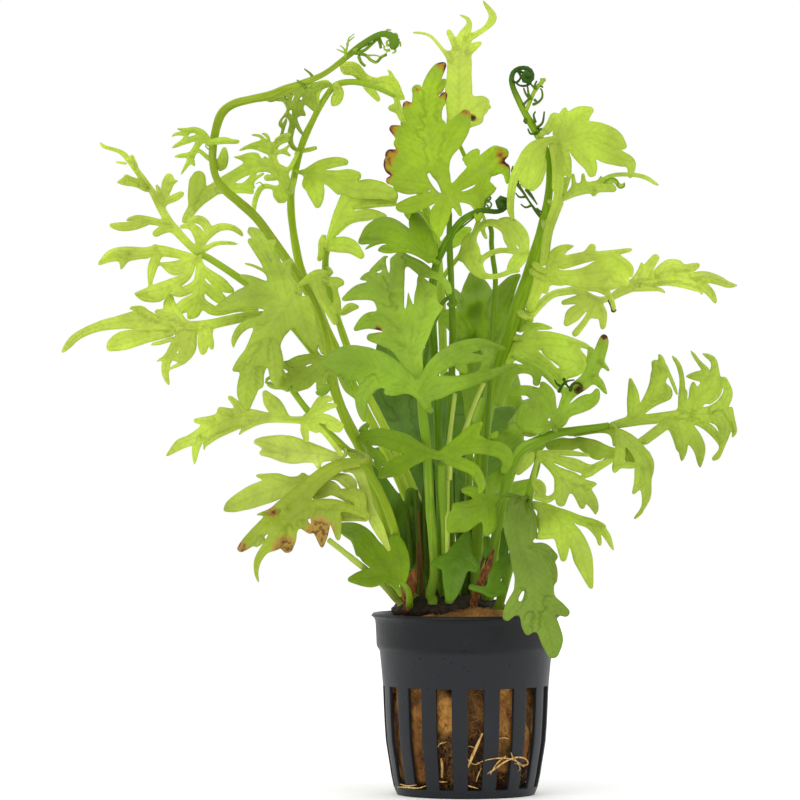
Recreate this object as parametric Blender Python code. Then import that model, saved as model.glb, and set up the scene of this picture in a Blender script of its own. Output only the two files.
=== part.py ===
"""Water sprite, an aquarium fern, growing in a black net pot filled with mineral wool."""
import math

import bmesh
import bpy
from mathutils import Vector
from mathutils.geometry import delaunay_2d_cdt

# Sizes in millimetres
POT_HEIGHT = 50.0
RIM_RADIUS = 26.5
WALL = 0.9
SLOT_COUNT = 16
SLOT_TURN = 6.4
SLOT_BOTTOM = 2.3
SLOT_TOP = 30.5
FLOOR_THICKNESS = 1.2
HUB_RADIUS = 8.0
FAN_FROM = 52.0
FAN_HEIGHT = 70.0
FAN = 0.7
LEAF_THICKNESS = 0.5
STALK_SIDES = 5

# Leaf points are drawn on the upright plane through the pot's middle, as seen
# from this eye point, and carried along the line of sight to their own depth
EYE = Vector((-18.3, -1400.0, 110.0))

# Outer side of the pot, from the rim's lip to the foot: radius and height
POT_PROFILE = [
    (RIM_RADIUS, POT_HEIGHT), (25.35, 48.9), (25.0, 42.2), (24.1, 40.3), (23.2, 30.5),
    (22.4, 15.0), (21.3, 8.2), (20.2, 2.3), (19.2, 0.0),
]

# Stalks, from the crown outwards: across, up, back, radius
STALKS = {
    "arching_stalk": [
        (-13, 56, 7, 1.5), (-17, 67, 9, 1.45), (-21.5, 79, 12, 1.4), (-26, 90, 15, 1.35),
        (-31, 100.5, 17, 1.3), (-35.5, 110, 19, 1.3), (-38, 120, 20, 1.3), (-40, 130, 21, 1.3),
        (-42.8, 138, 21, 1.3), (-46.5, 144, 20, 1.35), (-50.3, 149, 19, 1.35), (-54, 154.2, 18, 1.3),
        (-58.9, 160.9, 16, 1.3), (-63.8, 165.6, 15, 1.3), (-67.6, 168.8, 14, 1.2),
        (-70.2, 173, 13, 1.1), (-71, 179, 12, 1.1), (-70.3, 185.5, 11, 1.2), (-68.6, 190.8, 10, 1.3),
        (-65.3, 193.6, 9.5, 1.2), (-60, 195.1, 9, 1.15), (-55, 196, 8, 1.3), (-50.5, 197.6, 7, 1.3),
        (-46, 199.1, 6, 1.0), (-40, 201.4, 4, 0.8), (-35, 205, 2, 0.8), (-30, 209.1, 0, 0.85),
        (-26, 211.8, -1, 0.8), (-23, 212.8, -2, 0.85), (-20.9, 212.1, -2, 1.2),
        (-19.9, 210.5, -2, 1.6), (-20.6, 208.8, -2, 1.0),
    ],
    "forked_stalk": [
        (-9.5, 56, 10, 1.5), (-11, 66, 13, 1.45), (-15, 79, 17, 1.4), (-20, 91, 21, 1.4),
        (-26, 103, 25, 1.4), (-31, 113, 27, 1.35), (-35.5, 122.5, 28, 1.35), (-39.3, 131, 28, 1.3),
        (-42, 137.5, 27, 1.4), (-44.6, 142.5, 26, 1.4), (-46.3, 147, 25, 1.3), (-47.4, 152, 24, 1.2),
        (-48.3, 157.5, 23, 1.1), (-48.9, 163, 22, 1.05), (-48.9, 168.5, 21, 0.95),
        (-48.1, 172.4, 20, 0.95), (-47.4, 176, 19, 0.95), (-46.4, 180, 18, 0.95), (-45, 184, 17, 0.95),
        (-43.1, 188, 16, 0.9), (-41.3, 191.6, 15, 0.9), (-39.3, 195, 14, 0.9), (-37.2, 197.8, 13, 0.85),
        (-35, 199, 12, 0.85), (-31, 199.3, 11, 0.85), (-26.5, 198.3, 10, 0.8), (-23, 196.8, 9, 0.7),
        (-20, 195.3, 8, 0.6),
    ],
    "broad_leaf_stalk": [
        (-6.5, 56.5, 4, 1.3), (-9, 68, 8, 1.3), (-13.5, 82, 13, 1.25), (-19, 95, 18, 1.2),
        (-25, 107, 21, 1.15), (-30, 117, 22, 1.1), (-33.5, 126, 22, 1.05), (-36, 133.5, 21, 1.0),
        (-38, 140, 20, 1.0), (-39.2, 146, 19, 0.95), (-39.2, 150.5, 18, 0.9), (-38.3, 154, 17, 0.9),
    ],
    "left_stalk": [
        (-15.5, 55.5, 0, 1.6), (-18.5, 65, -1, 1.55), (-22, 75, -3, 1.5), (-26, 86.5, -5, 1.45),
        (-29.8, 97, -7, 1.4), (-32.7, 102.5, -8, 1.35), (-35, 108, -9, 1.3), (-37, 113.5, -10, 1.25),
        (-39.5, 119, -10, 1.2), (-43.3, 124.7, -10, 1.15), (-47.3, 129.7, -10, 1.15),
        (-51.8, 134.6, -10, 1.1), (-56.2, 139, -10, 1.1), (-61.2, 142.8, -11, 1.05),
        (-67, 146.8, -12, 1.0), (-72, 150, -13, 0.95), (-74.3, 151, -14, 0.9),
    ],
    "lower_left_stalk": [
        (-17, 55, -3.7, 1.2), (-18, 64, -6, 1.2), (-20.3, 75, -9.5, 1.15), (-23.8, 84, -12, 1.15),
        (-27.6, 90.5, -14, 1.1), (-31.3, 94.6, -15, 1.05), (-34.5, 97.5, -16, 1.0),
        (-38.5, 101.2, -16.5, 1.0), (-42.2, 104.9, -17, 0.95), (-45.2, 108.5, -17, 0.9),
        (-47.8, 112, -17, 0.85), (-50.3, 115.8, -17, 0.85), (-52, 119, -17, 0.8),
    ],
    "low_side_stalk": [
        (-19.5, 54.5, -4, 1.0), (-23, 58.5, -7, 0.95), (-27, 62, -10, 0.9), (-31, 65.2, -13, 0.85),
        (-35, 68.4, -16, 0.8), (-38.3, 71, -18, 0.75),
    ],
    "tall_crozier": [
        (3, 56, 5, 2.0), (3.4, 66, 4, 2.0), (3.6, 77, 3, 2.0), (3.9, 88, 2, 2.0), (4.8, 100, 1, 2.0),
        (6.6, 110.5, 0, 2.0), (9.2, 120.5, -1, 2.0), (12.4, 130, -2, 2.0), (15.1, 137.5, -3, 2.1),
        (17.7, 145, -3, 2.0), (19.7, 151.5, -4, 1.8), (21.3, 158, -4, 1.5), (22.8, 165, -4, 1.2),
        (23.5, 171, -4, 1.1), (23.5, 176, -4, 1.1), (22.3, 180.3, -4, 1.1), (20.4, 184.1, -4, 1.1),
        (18.5, 187.3, -4, 1.1), (16.6, 190.6, -4, 1.05), (14.9, 194, -4, 0.95), (13.5, 197.3, -4, 0.9),
        (12.9, 200, -4, 0.85), (13.4, 202.4, -4, 0.8), (14.9, 203.6, -4, 0.8), (16.6, 203.5, -4, 0.8),
        (17.9, 202.4, -4, 0.8), (18.1, 200.9, -4, 0.8), (17, 200.1, -4, 0.7),
    ],
    "dark_crozier": [
        (-6.5, 56.5, -4, 1.2), (-6.9, 70, -7, 1.2), (-7.3, 88, -10, 1.15), (-8, 108, -13, 1.1),
        (-9, 126, -14, 1.1), (-9.4, 140, -15, 1.1), (-8.6, 147, -15, 1.1), (-7, 151.3, -15, 1.1),
        (-5, 155, -15, 1.1), (-3.2, 158, -15, 1.0), (-1, 160.5, -15, 0.95), (2, 162.4, -15, 0.85),
        (5, 163.3, -15, 0.75), (8, 163.2, -15, 0.65), (10.2, 163.6, -15, 0.65), (11.1, 165, -15, 0.75),
        (10.6, 166.6, -15, 0.8), (9.3, 166.9, -15, 0.6),
    ],
    "brown_edged_leaf_stalk": [
        (-2.5, 56.5, -1, 1.1), (-4, 70, -3, 1.1), (-4.6, 86, -5, 1.1), (-4.7, 100, -7, 1.05),
        (-4.1, 112, -8, 1.0), (-3.7, 128, -9, 1.0), (-4, 141, -10, 0.9), (-4.4, 150, -11, 0.85),
        (-4.6, 157.5, -12, 0.75), (-4.5, 162.6, -13, 0.7),
    ],
    "centre_stalk": [
        (-10, 55.5, -9, 1.35), (-8.8, 62, -11, 1.3), (-9.1, 70, -13, 1.3), (-9.9, 79, -15, 1.25),
        (-10.4, 88, -17, 1.25), (-11, 97, -19, 1.3), (-11.9, 105, -20, 1.3), (-12.6, 111.5, -21, 1.2),
    ],
    "second_centre_stalk": [
        (-5, 56, -9, 1.2), (-5.5, 66, -12, 1.2), (-6, 77, -15, 1.15), (-6.8, 86, -17, 1.1),
        (-6.9, 92.5, -19, 1.0),
    ],
    "big_right_stalk": [
        (6.5, 55.5, -3, 1.6), (8, 68, -5, 1.6), (10, 80, -8, 1.6), (12.5, 90, -10, 1.6),
        (15.5, 96, -12, 1.55), (20, 98.7, -13, 1.45), (25, 100.8, -14, 1.3), (30, 101.7, -15, 1.1),
        (35, 102.4, -16, 1.0), (40, 103, -17, 0.95),
    ],
    "lower_right_stalk": [
        (9.3, 52.6, -8, 1.3), (13, 66, -12, 1.3), (16, 76, -16, 1.25), (17.5, 82, -18, 1.2),
        (18.5, 87, -19, 1.1), (19.8, 91.5, -19, 1.0), (20.2, 93.8, -19, 0.9),
    ],
}

# Leaves: hub (across, up, back), lean (back per mm across and up), bow (back per
# mm squared from the hub), curl of the lobes, tone, and the lobes as rows of
# across, up and half width from the midrib to the tip
LEAVES = {
    "wilted_leaf": ((-26, 199, 12.5), (0.15, -0.45), 0.004, 0.1, "lime", [
        [(-25.8, 199.3, 0.5), (-23.5, 199.4, 1.3), (-21, 198.6, 1.9), (-19.3, 196.5, 1.3),
         (-17.3, 194.6, 0.3)],
        [(-25.5, 199.6, 0.8), (-28.4, 200.2, 1.2), (-31.2, 203, 1.6), (-34.5, 203.8, 0.9)],
        [(-28.6, 200, 0.9), (-27.6, 197.9, 0.9), (-26, 196.3, 0.9), (-24.4, 194.3, 0.5)],
        [(-20.3, 197.5, 0.8), (-19.5, 195, 0.7), (-18.8, 192.5, 0.6), (-18, 190, 1.0),
         (-17.2, 188, 0.6)],
        [(-18.2, 191.2, 0.8), (-20.3, 192, 0.9), (-21.6, 191.9, 0.4)],
    ]),
    "forked_stalk_leaf": ((-52.5, 174, 14), (-0.4, -0.25), 0.003, 0.1, "lime", [
        [(-50.3, 169.5, 0.9), (-51.7, 172.3, 1.0), (-52.8, 176, 1.0), (-53.2, 180, 0.9),
         (-52.2, 182.8, 0.7), (-50, 183.3, 0.6)],
        [(-52.3, 173.6, 1.2), (-55, 175.3, 2.4), (-59, 175.8, 2.7), (-63, 174.3, 2.2), (-67, 172, 2.0),
         (-71, 169.3, 1.6), (-75, 165.5, 1.4), (-77.5, 162.3, 1.2), (-79, 160, 0.6)],
        [(-70, 169.4, 1.3), (-65.5, 169.7, 1.4), (-62, 169.8, 1.2), (-59.3, 168, 0.2)],
        [(-76, 163.5, 1.0), (-76.2, 167, 1.5), (-75.6, 172, 1.7)],
        [(-53.3, 181.5, 0.8), (-55.5, 181.6, 1.6), (-58.5, 181.2, 1.2), (-63.2, 180, 0.2)],
        [(-50.9, 170.3, 0.8), (-53.1, 168.2, 0.9), (-51.9, 165.6, 0.5)],
        [(-52, 169.4, 0.4), (-54.5, 169.6, 0.4), (-56.7, 170.1, 0.5), (-58.5, 167.8, 0.5),
         (-59.4, 165, 0.4), (-59.2, 162.6, 0.2)],
    ]),
    "feather_leaf": ((-73, 184, 9.5), (-0.15, -0.45), 0.0, 0.12, "lime", [
        [(-71.8, 182.5, 0.6), (-73, 184.3, 1.2), (-76.5, 184.6, 1.1), (-80, 184.2, 0.9),
         (-82.5, 184, 0.4)],
        [(-74, 185, 0.6), (-77.5, 186.2, 0.7), (-80.9, 186.6, 0.2)],
        [(-73.5, 183.5, 0.9), (-77.5, 182, 0.9), (-82.7, 180.7, 0.2)],
        [(-74, 183, 0.8), (-77.5, 179.9, 0.8), (-81.5, 178.2, 0.2)],
        [(-74, 182.5, 0.8), (-76.8, 178.3, 0.8), (-79.7, 173.5, 0.2)],
        [(-73.6, 182, 0.7), (-74.8, 178.3, 0.8), (-75.7, 175.5, 0.4)],
    ]),
    "curled_leaf": ((-47, 196, 10.5), (-0.15, -0.45), 0.0, 0.1, "mid", [
        [(-51.5, 195, 0.6), (-48.5, 196.2, 1.4), (-45.5, 196.5, 1.8), (-43, 193.5, 1.8),
         (-42, 191.6, 0.5)],
        [(-47.3, 195.8, 1.8), (-47, 193, 2.2), (-46.2, 190.8, 1.2)],
        [(-47.5, 192.5, 1.0), (-48.2, 189.5, 0.9), (-48.8, 186, 0.7), (-48.9, 183.5, 0.5)],
        [(-47.5, 191, 0.5), (-47.2, 188, 0.5), (-45.8, 185, 0.2)],
        [(-44.5, 196, 1.2), (-42.3, 197.6, 1.4), (-39.5, 198.6, 0.8)],
    ]),
    "upper_left_leaf": ((-75, 151.5, -14.3), (0.45, 0.0), 0.002, 0.12, "lime", [
        [(-75, 151.3, 0.8), (-78, 153.5, 1.0), (-81, 157, 1.1), (-84, 160.5, 1.1), (-86.3, 165, 1.0),
         (-88.5, 170, 0.9), (-91.5, 174.5, 0.7), (-95, 178, 0.5), (-99, 180.4, 0.45),
         (-102.7, 182.3, 0.1)],
        [(-88.5, 169.5, 0.8), (-91.5, 171.2, 1.1), (-94.5, 171.8, 0.9), (-97.7, 171.2, 0.3)],
        [(-86, 165.5, 0.6), (-85.5, 167.5, 1.0), (-84.7, 170.5, 1.5), (-83.2, 173.4, 1.0)],
        [(-85, 168, 0.9), (-82, 169.3, 1.2), (-79.5, 170.3, 0.8)],
        [(-84, 160.3, 0.8), (-88, 160, 1.1), (-92, 159.5, 1.4), (-96, 159.6, 0.9),
         (-99.5, 159.2, 0.2)],
        [(-82, 158.3, 0.6), (-85.5, 157.5, 0.8), (-87.8, 156.3, 0.2)],
        [(-75.7, 152.6, 0.8), (-75.9, 156.5, 2.6), (-75.2, 159, 3.0), (-74.6, 161, 1.6)],
        [(-75.5, 152, 0.8), (-73, 155.5, 1.0), (-69.5, 158.4, 1.0), (-66, 158.7, 0.7),
         (-63.5, 157.4, 0.5), (-62.2, 155.8, 0.15)],
    ]),
    "left_leaf": ((-75.5, 149.8, -15.8), (0.45, 0.15), 0.003, 0.12, "lime", [
        [(-75.6, 150, 0.8), (-80, 151, 1.1), (-85, 152, 1.3), (-90, 151.7, 1.1), (-95, 152, 1.1),
         (-99.5, 151.3, 0.9), (-103, 147.8, 0.2)],
        [(-94.5, 151.3, 0.9), (-95.8, 149, 0.8), (-96.5, 146.9, 0.2)],
        [(-86, 151.5, 1.0), (-87.7, 147.5, 1.2), (-88.5, 142, 0.2)],
        [(-77, 149.5, 0.8), (-80.5, 147.8, 1.3), (-86, 148.4, 0.2)],
        [(-76.3, 149.5, 0.8), (-78, 145, 1.0), (-82.5, 142.5, 1.6), (-87, 140.8, 1.5),
         (-92.8, 140, 0.2)],
        [(-75, 150, 0.8), (-74.8, 145, 1.6), (-75.2, 140, 2.8), (-76.2, 136, 2.2), (-77.3, 134, 0.8)],
        [(-74.8, 145, 1.4), (-71, 142, 2.4), (-67.5, 140, 1.6), (-65.5, 140.2, 0.5)],
    ]),
    "big_left_leaf": ((-54, 134.5, -13.5), (0.3, 0.35), 0.0, 0.1, "lime", [
        [(-53.5, 134.2, 0.9), (-60, 133.8, 1.1), (-66, 132.6, 1.2), (-72, 131.3, 1.3),
         (-78, 130.6, 1.6), (-85, 131.3, 2.0), (-92, 132.3, 2.2), (-98, 131.5, 1.6), (-104, 130, 1.1),
         (-109, 128.3, 1.0), (-111.5, 126, 0.9), (-113.3, 123.5, 0.2)],
        [(-86, 132, 1.4), (-90, 134.3, 1.3), (-92.5, 135.6, 0.5)],
        [(-82, 129.5, 1.3), (-89, 127.8, 1.3), (-96, 125.8, 1.4), (-100.3, 124.6, 0.6)],
        [(-79, 131.5, 1.2), (-81.5, 134.5, 1.7), (-83, 137.3, 1.6), (-82.5, 139.7, 0.4)],
        [(-79, 129.8, 1.2), (-81, 126.5, 1.3), (-83.3, 122, 1.1), (-84.2, 118, 0.8),
         (-83, 114.2, 0.2)],
        [(-73.5, 130.5, 0.8), (-74, 126.5, 1.0), (-73.7, 123, 0.4)],
    ]),
    "hanging_leaf": ((-50, 137, -20), (0.15, 0.45), 0.002, 0.1, "mid", [
        [(-47.5, 140, 2.2), (-51, 135, 4.3), (-54.5, 130, 4.4), (-57.5, 124.5, 4.0),
         (-59.8, 118.5, 3.0), (-61.3, 113, 2.7), (-61.4, 109.5, 1.6), (-60.9, 107.3, 0.3)],
        [(-57.5, 126, 2.0), (-60.5, 122.5, 2.0), (-63.3, 119.8, 1.5), (-65.2, 118.5, 0.3)],
        [(-54.5, 127, 2.0), (-53.4, 121, 2.2), (-53.2, 116.5, 1.5), (-52.6, 114.2, 0.6)],
        [(-46.8, 139, 2.6), (-45.5, 133.5, 3.3), (-44, 128.5, 2.2), (-42, 124.5, 0.6)],
        [(-52, 138, 3.0), (-57, 139.5, 3.4), (-62, 138.8, 2.6), (-67, 137, 1.6), (-71, 135.3, 0.3)],
        [(-50, 139.5, 2.2), (-51, 144, 1.8), (-50.2, 147.8, 1.3), (-48.6, 149.6, 0.4)],
        [(-53, 141, 1.8), (-54.7, 146.5, 1.3), (-57.5, 151.5, 1.3), (-60.6, 155, 0.5)],
        [(-55.5, 141, 2.0), (-60, 143.9, 1.0), (-63.5, 145.2, 0.2)],
        [(-56, 132, 1.5), (-60, 132, 1.2), (-63.2, 130, 1.0), (-64.9, 127, 0.6), (-65, 124.9, 0.1)],
    ]),
    "swirl_leaf": ((-39, 120.5, -13.2), (0.25, 0.4), 0.0, 0.1, "mid", [
        [(-38.6, 118, 1.2), (-39.8, 121, 1.3), (-43, 121.9, 1.2), (-47, 121, 1.5),
         (-50.2, 120.2, 0.6)],
        [(-40, 120.5, 1.2), (-43, 117.8, 2.2), (-46, 115.3, 2.4), (-47.6, 113.2, 0.8)],
        [(-39.2, 119.5, 0.9), (-40.3, 116, 1.2), (-40.8, 112.8, 0.9)],
    ]),
    "lime_left_leaf": ((-44.5, 104.8, -20.2), (-0.5, 0.4), 0.003, 0.1, "lime", [
        [(-43.8, 104.9, 0.6), (-50, 105, 0.6), (-55, 105.6, 0.9), (-60, 105.8, 1.7), (-65, 105.3, 2.6),
         (-70, 103.2, 2.8), (-74, 100.6, 1.9), (-77.5, 98.9, 1.3), (-80, 97.8, 1.3),
         (-83.8, 94.6, 0.1)],
        [(-50, 105.3, 0.6), (-52.5, 107.5, 1.8), (-54.5, 109.8, 1.9), (-56.4, 112.7, 0.5)],
        [(-62, 107, 1.0), (-64.3, 109.3, 0.9), (-66.1, 111, 0.5)],
        [(-71, 104.5, 1.3), (-73.5, 104.5, 1.0), (-76, 104.4, 0.5)],
        [(-74.3, 99.8, 0.9), (-75.6, 96.5, 0.9), (-76, 92.2, 0.1)],
        [(-66, 106.3, 1.6), (-68.7, 107.4, 0.9)],
        [(-44.6, 104.3, 0.6), (-45.3, 102, 0.9), (-44.5, 98.6, 0.5)],
        [(-44, 105.3, 0.6), (-41.5, 108.3, 1.3), (-40, 110.8, 1.0)],
        [(-43.6, 105.6, 0.6), (-39.5, 108.2, 0.9), (-36.5, 108.8, 0.5)],
        [(-43.8, 105, 0.6), (-39.5, 105, 1.3), (-34.4, 102.8, 0.6)],
    ]),
    "middle_left_leaf": ((-35, 94.3, -18.5), (0.4, 0.45), 0.003, 0.08, "pale", [
        [(-34.5, 94.1, 0.6), (-39, 94.8, 1.6), (-44, 95.5, 2.6), (-49, 96.2, 3.6), (-53.5, 97.4, 3.0),
         (-56.5, 98.4, 1.6), (-58.8, 98.6, 0.6)],
        [(-51, 95, 2.0), (-55, 95.6, 1.2), (-57.6, 95.4, 0.5)],
        [(-41.5, 94.3, 1.2), (-41.3, 91.6, 0.6)],
    ]),
    "pale_left_leaf": ((-44, 88.3, -20.5), (-0.45, 0.4), 0.003, 0.08, "pale", [
        [(-42.5, 88.2, 0.9), (-48, 86.7, 1.9), (-53, 85.5, 3.0), (-58, 83.8, 3.1), (-62.5, 82, 2.5),
         (-66, 80.4, 1.6), (-67.4, 79.4, 0.4)],
        [(-49, 87.3, 1.0), (-53, 88.2, 1.4), (-58.7, 89.1, 0.3)],
        [(-45.3, 88, 1.0), (-45.6, 89.2, 0.8)],
    ]),
    "brown_tipped_leaf": ((-40, 84, -27), (-0.3, 0.55), 0.002, 0.1, "mid", [
        [(-29.5, 92.8, 1.1), (-34, 92.3, 1.4), (-38, 90.5, 1.8), (-42, 87.5, 2.2), (-45.5, 84, 2.6),
         (-49, 81, 2.6), (-53, 78, 2.2), (-57, 74.3, 1.8), (-60.5, 71, 1.6), (-63.2, 68.5, 0.8)],
        [(-27, 77.6, 0.7), (-31, 79.3, 0.9), (-35, 80.7, 1.2), (-40, 80.4, 2.0), (-45, 79.3, 2.4),
         (-49, 76.5, 3.0), (-52, 73, 3.0), (-54, 70.3, 2.2), (-56.5, 68.2, 1.1), (-58.3, 65.3, 0.8),
         (-58.7, 62, 0.4), (-58, 59.2, 0.1)],
        [(-50, 75, 2.6), (-50, 71, 2.4), (-50, 68.7, 1.4)],
        [(-50, 79.6, 1.0), (-53.5, 79.2, 0.9), (-58.5, 78.1, 0.1)],
        [(-41, 79.5, 2.2), (-40.7, 76, 2.5), (-40.4, 72.5, 1.7), (-40.3, 69.2, 0.3)],
        [(-37, 79.5, 1.5), (-36.4, 76, 1.4), (-35.7, 71, 0.4)],
    ]),
    "round_leaf": ((-21, 61.5, -16), (-0.35, 0.55), 0.0, 0.08, "dark", [
        [(-18.5, 59.5, 0.9), (-22, 61, 1.6), (-26, 60.6, 2.4), (-29.5, 60.3, 1.9), (-32.8, 59.9, 0.5)],
        [(-20, 60.5, 1.2), (-23.5, 65, 3.0), (-27, 68, 3.2), (-29.8, 70.8, 1.2)],
        [(-24, 66, 2.4), (-27, 71.5, 1.6), (-31, 73.8, 1.9), (-36, 75.2, 0.6)],
    ]),
    "node_leaf": ((-46, 174, 17.5), (-0.45, 0.0), 0.002, 0.1, "lime", [
        [(-46.3, 174.1, 0.6), (-42, 173.6, 1.0), (-37, 173.2, 1.2), (-33, 173, 1.8), (-30, 173, 1.1)],
        [(-44.5, 174.3, 0.7), (-40, 176.1, 1.3), (-36, 176.9, 1.2), (-33.2, 176.8, 0.7)],
        [(-43.5, 173, 0.9), (-42.3, 169.8, 2.2), (-41.6, 166.5, 1.6), (-41.5, 164.2, 0.5)],
        [(-38, 172.6, 1.2), (-34.5, 170.5, 2.0), (-30, 169, 2.2), (-25, 169, 2.4),
         (-20.5, 167.8, 1.6)],
    ]),
    "broad_leaf": ((-38, 155.2, 14.5), (-0.4, 0.0), 0.002, 0.1, "lime", [
        [(-38.2, 154.6, 0.8), (-36.8, 158.5, 1.2), (-34.8, 162.5, 1.9), (-32.7, 166, 2.6),
         (-29, 168.5, 3.0), (-24, 168.6, 2.8), (-20, 167, 1.4)],
        [(-35.3, 160.8, 1.2), (-31, 161.8, 1.3), (-26.5, 162.3, 1.3), (-22.5, 161.4, 0.8)],
        [(-39.3, 153.3, 1.2), (-35.5, 153.7, 2.2), (-32, 153.1, 2.0), (-29.3, 150.6, 0.9)],
    ]),
    "brown_edged_leaf": ((-5, 167, -14.5), (0.1, 0.45), 0.0015, 0.07, "mid", [
        [(-4.7, 164, 0.8), (-5.3, 167, 1.4), (-7.5, 172, 3.4), (-9, 178, 4.5), (-10, 184, 4.8),
         (-10.8, 190, 4.2), (-10.3, 195, 2.4), (-9.2, 199.5, 2.0), (-7.5, 202.8, 1.6),
         (-6, 204.2, 0.6)],
        [(-8, 189, 1.5), (-7.2, 193, 1.3), (-6, 195.7, 0.8)],
        [(-11.5, 190, 2.5), (-13, 194.5, 2.0), (-13.7, 197.3, 1.0)],
        [(-12.5, 187, 2.5), (-15.5, 191, 2.0), (-16.9, 193.4, 0.7)],
        [(-12, 182, 2.5), (-16.5, 184, 2.2), (-19.5, 185.8, 1.5), (-21.1, 186.5, 0.5)],
        [(-11, 177.5, 2.5), (-15.5, 180.3, 2.4), (-19.3, 182.2, 1.0)],
        [(-8.5, 172.5, 1.5), (-14, 175, 2.2), (-18.5, 177.3, 2.8), (-21.6, 179.3, 1.2)],
        [(-8, 170.5, 1.2), (-13, 171.3, 2.1), (-18, 171.8, 2.1), (-22, 171.7, 0.7)],
        [(-6.5, 168, 1.0), (-11, 166.3, 1.8), (-15.5, 164.8, 2.3), (-19, 164.3, 1.0)],
        [(-5.5, 166.5, 1.5), (-7, 162.5, 2.8), (-7.6, 159, 2.0), (-7.3, 156.3, 0.5)],
        [(-7, 177, 2.5), (-4.2, 183, 3.0), (-1.5, 187.3, 2.8), (0.2, 190.6, 1.2)],
        [(-4, 166.8, 0.7), (-2.5, 164.5, 0.8), (-1.4, 162, 0.3)],
        [(-4, 169, 1.0), (-0.5, 171.5, 2.0), (3, 174, 2.6), (6.5, 176.3, 2.6), (9.7, 178.8, 1.5)],
        [(-4, 167.6, 0.8), (-0.5, 167.6, 0.9), (2.5, 168.2, 1.4), (5, 169.6, 1.6), (7.3, 170.3, 0.5)],
    ]),
    "top_leaf": ((-3, 187, 2), (-0.05, 0.45), 0.002, 0.08, "lime", [
        [(-4, 182, 1.4), (-3.3, 187, 2.2), (-2, 192, 3.4), (-2, 197, 3.9), (-1.8, 201, 3.3),
         (-1.8, 205, 3.2), (-1, 209, 2.1), (-0.5, 212.3, 1.4), (1, 215, 0.7), (0.6, 217, 0.25),
         (-2.1, 218.2, 0.1)],
        [(-2.3, 208.5, 1.0), (-3.6, 211.3, 0.8), (-4.8, 213.4, 0.6)],
        [(0, 211, 1.0), (3, 212.6, 0.8), (5.3, 214.2, 0.5), (7.2, 216.3, 0.9), (7.6, 218, 0.8),
         (6.5, 219.8, 0.35), (4.8, 222, 0.1)],
        [(0, 207.5, 1.2), (2.5, 209.3, 0.9), (4.5, 210.4, 0.2)],
        [(-3.8, 205.3, 1.2), (-5.1, 207.3, 0.7)],
        [(-0.5, 190, 2.2), (2.5, 192, 3.2), (5, 193.8, 1.7), (6.2, 193.9, 0.5)],
    ]),
    "arching_leaf": ((-9.5, 149.5, -17.5), (0.4, 0.25), 0.004, 0.08, "dark", [
        [(-9.3, 149.3, 1.1), (-13.5, 153, 1.7), (-18, 156.7, 2.4), (-22.5, 158.4, 2.9),
         (-26.5, 157.3, 2.1), (-29.7, 154.8, 0.4)],
        [(-10, 150.5, 1.5), (-12, 155.5, 2.7), (-13.8, 160, 2.1), (-14.4, 162.7, 0.6)],
        [(-11, 150.3, 0.9), (-15.5, 152.3, 0.8), (-20, 152.8, 1.0), (-23.7, 152.8, 0.6)],
    ]),
    "centre_leaf": ((-14, 118, -22.5), (-0.4, 0.25), 0.002, 0.08, "mid", [
        [(-12.9, 112.6, 1.2), (-15, 121, 2.8), (-17.5, 128, 4.5), (-19.5, 135, 5.0), (-20.5, 141, 4.4),
         (-19.5, 147, 3.1), (-18, 151.2, 1.0)],
        [(-20, 139, 3.0), (-24, 142.5, 2.8), (-27, 144.8, 1.3), (-29.5, 144, 0.2)],
        [(-19.5, 136, 2.5), (-25, 140.2, 2.4), (-30, 140.3, 2.0), (-34.3, 138.4, 0.4)],
        [(-17.5, 129, 2.5), (-22.5, 131.7, 2.5), (-27, 132.5, 2.3), (-31, 130, 0.4)],
        [(-16.5, 124.5, 2.0), (-21.5, 127, 2.0), (-27.3, 127.8, 0.8)],
        [(-15.5, 123, 2.5), (-13, 129.5, 2.8), (-11.5, 136, 3.2), (-11.5, 141, 2.5),
         (-12.8, 144.3, 0.7)],
        [(-12.5, 133, 2.0), (-9, 135.5, 1.8), (-7, 136.3, 0.6)],
    ]),
    "centre_side_leaf": ((-13.5, 113, -27), (0.4, 0.25), 0.002, 0.08, "mid", [
        [(-10.5, 108, 1.0), (-13.5, 112.5, 1.5), (-18, 116, 3.5), (-24, 118.8, 4.6), (-30, 120.5, 5.0),
         (-35, 120.9, 4.3), (-39.5, 120.6, 1.2)],
        [(-26, 116, 2.5), (-29, 111.5, 1.9), (-29, 107, 1.1), (-28.3, 104, 0.2)],
        [(-17, 113.8, 1.5), (-20.5, 112.9, 1.5), (-22.3, 112.3, 0.6)],
        [(-13, 112.5, 1.5), (-9.5, 119, 1.8), (-5, 123, 2.0), (0, 125.2, 2.0), (5, 125.8, 1.4),
         (11.3, 124.5, 0.2)],
        [(-11, 116, 1.2), (-8, 118.7, 1.2), (-3, 121.3, 1.1), (2, 122, 1.2), (5.4, 121.9, 0.5)],
        [(-11.5, 111.8, 1.4), (-8, 114.3, 2.2), (-2, 115, 2.0), (4, 116.6, 1.4), (9, 118.2, 1.0),
         (14, 120, 0.5)],
    ]),
    "looped_leaf": ((4, 158, -12.5), (-0.45, 0.15), 0.003, 0.08, "mid", [
        [(3.4, 158.4, 0.9), (1.6, 156, 1.9), (0.3, 153, 2.9), (0.4, 150, 2.2), (-0.7, 148.5, 0.6)],
        [(2.2, 152, 1.2), (3.8, 148.6, 1.0), (3.4, 146.8, 0.4)],
        [(2.6, 158.2, 0.8), (4.8, 159.9, 0.8), (8, 160.3, 1.1), (12, 159.3, 1.8), (14.8, 156.8, 2.0),
         (15.8, 153.5, 1.4), (16.4, 151.6, 0.5)],
        [(12.5, 157.5, 1.5), (11.2, 155, 1.2), (11.6, 153.3, 0.6)],
    ]),
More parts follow.
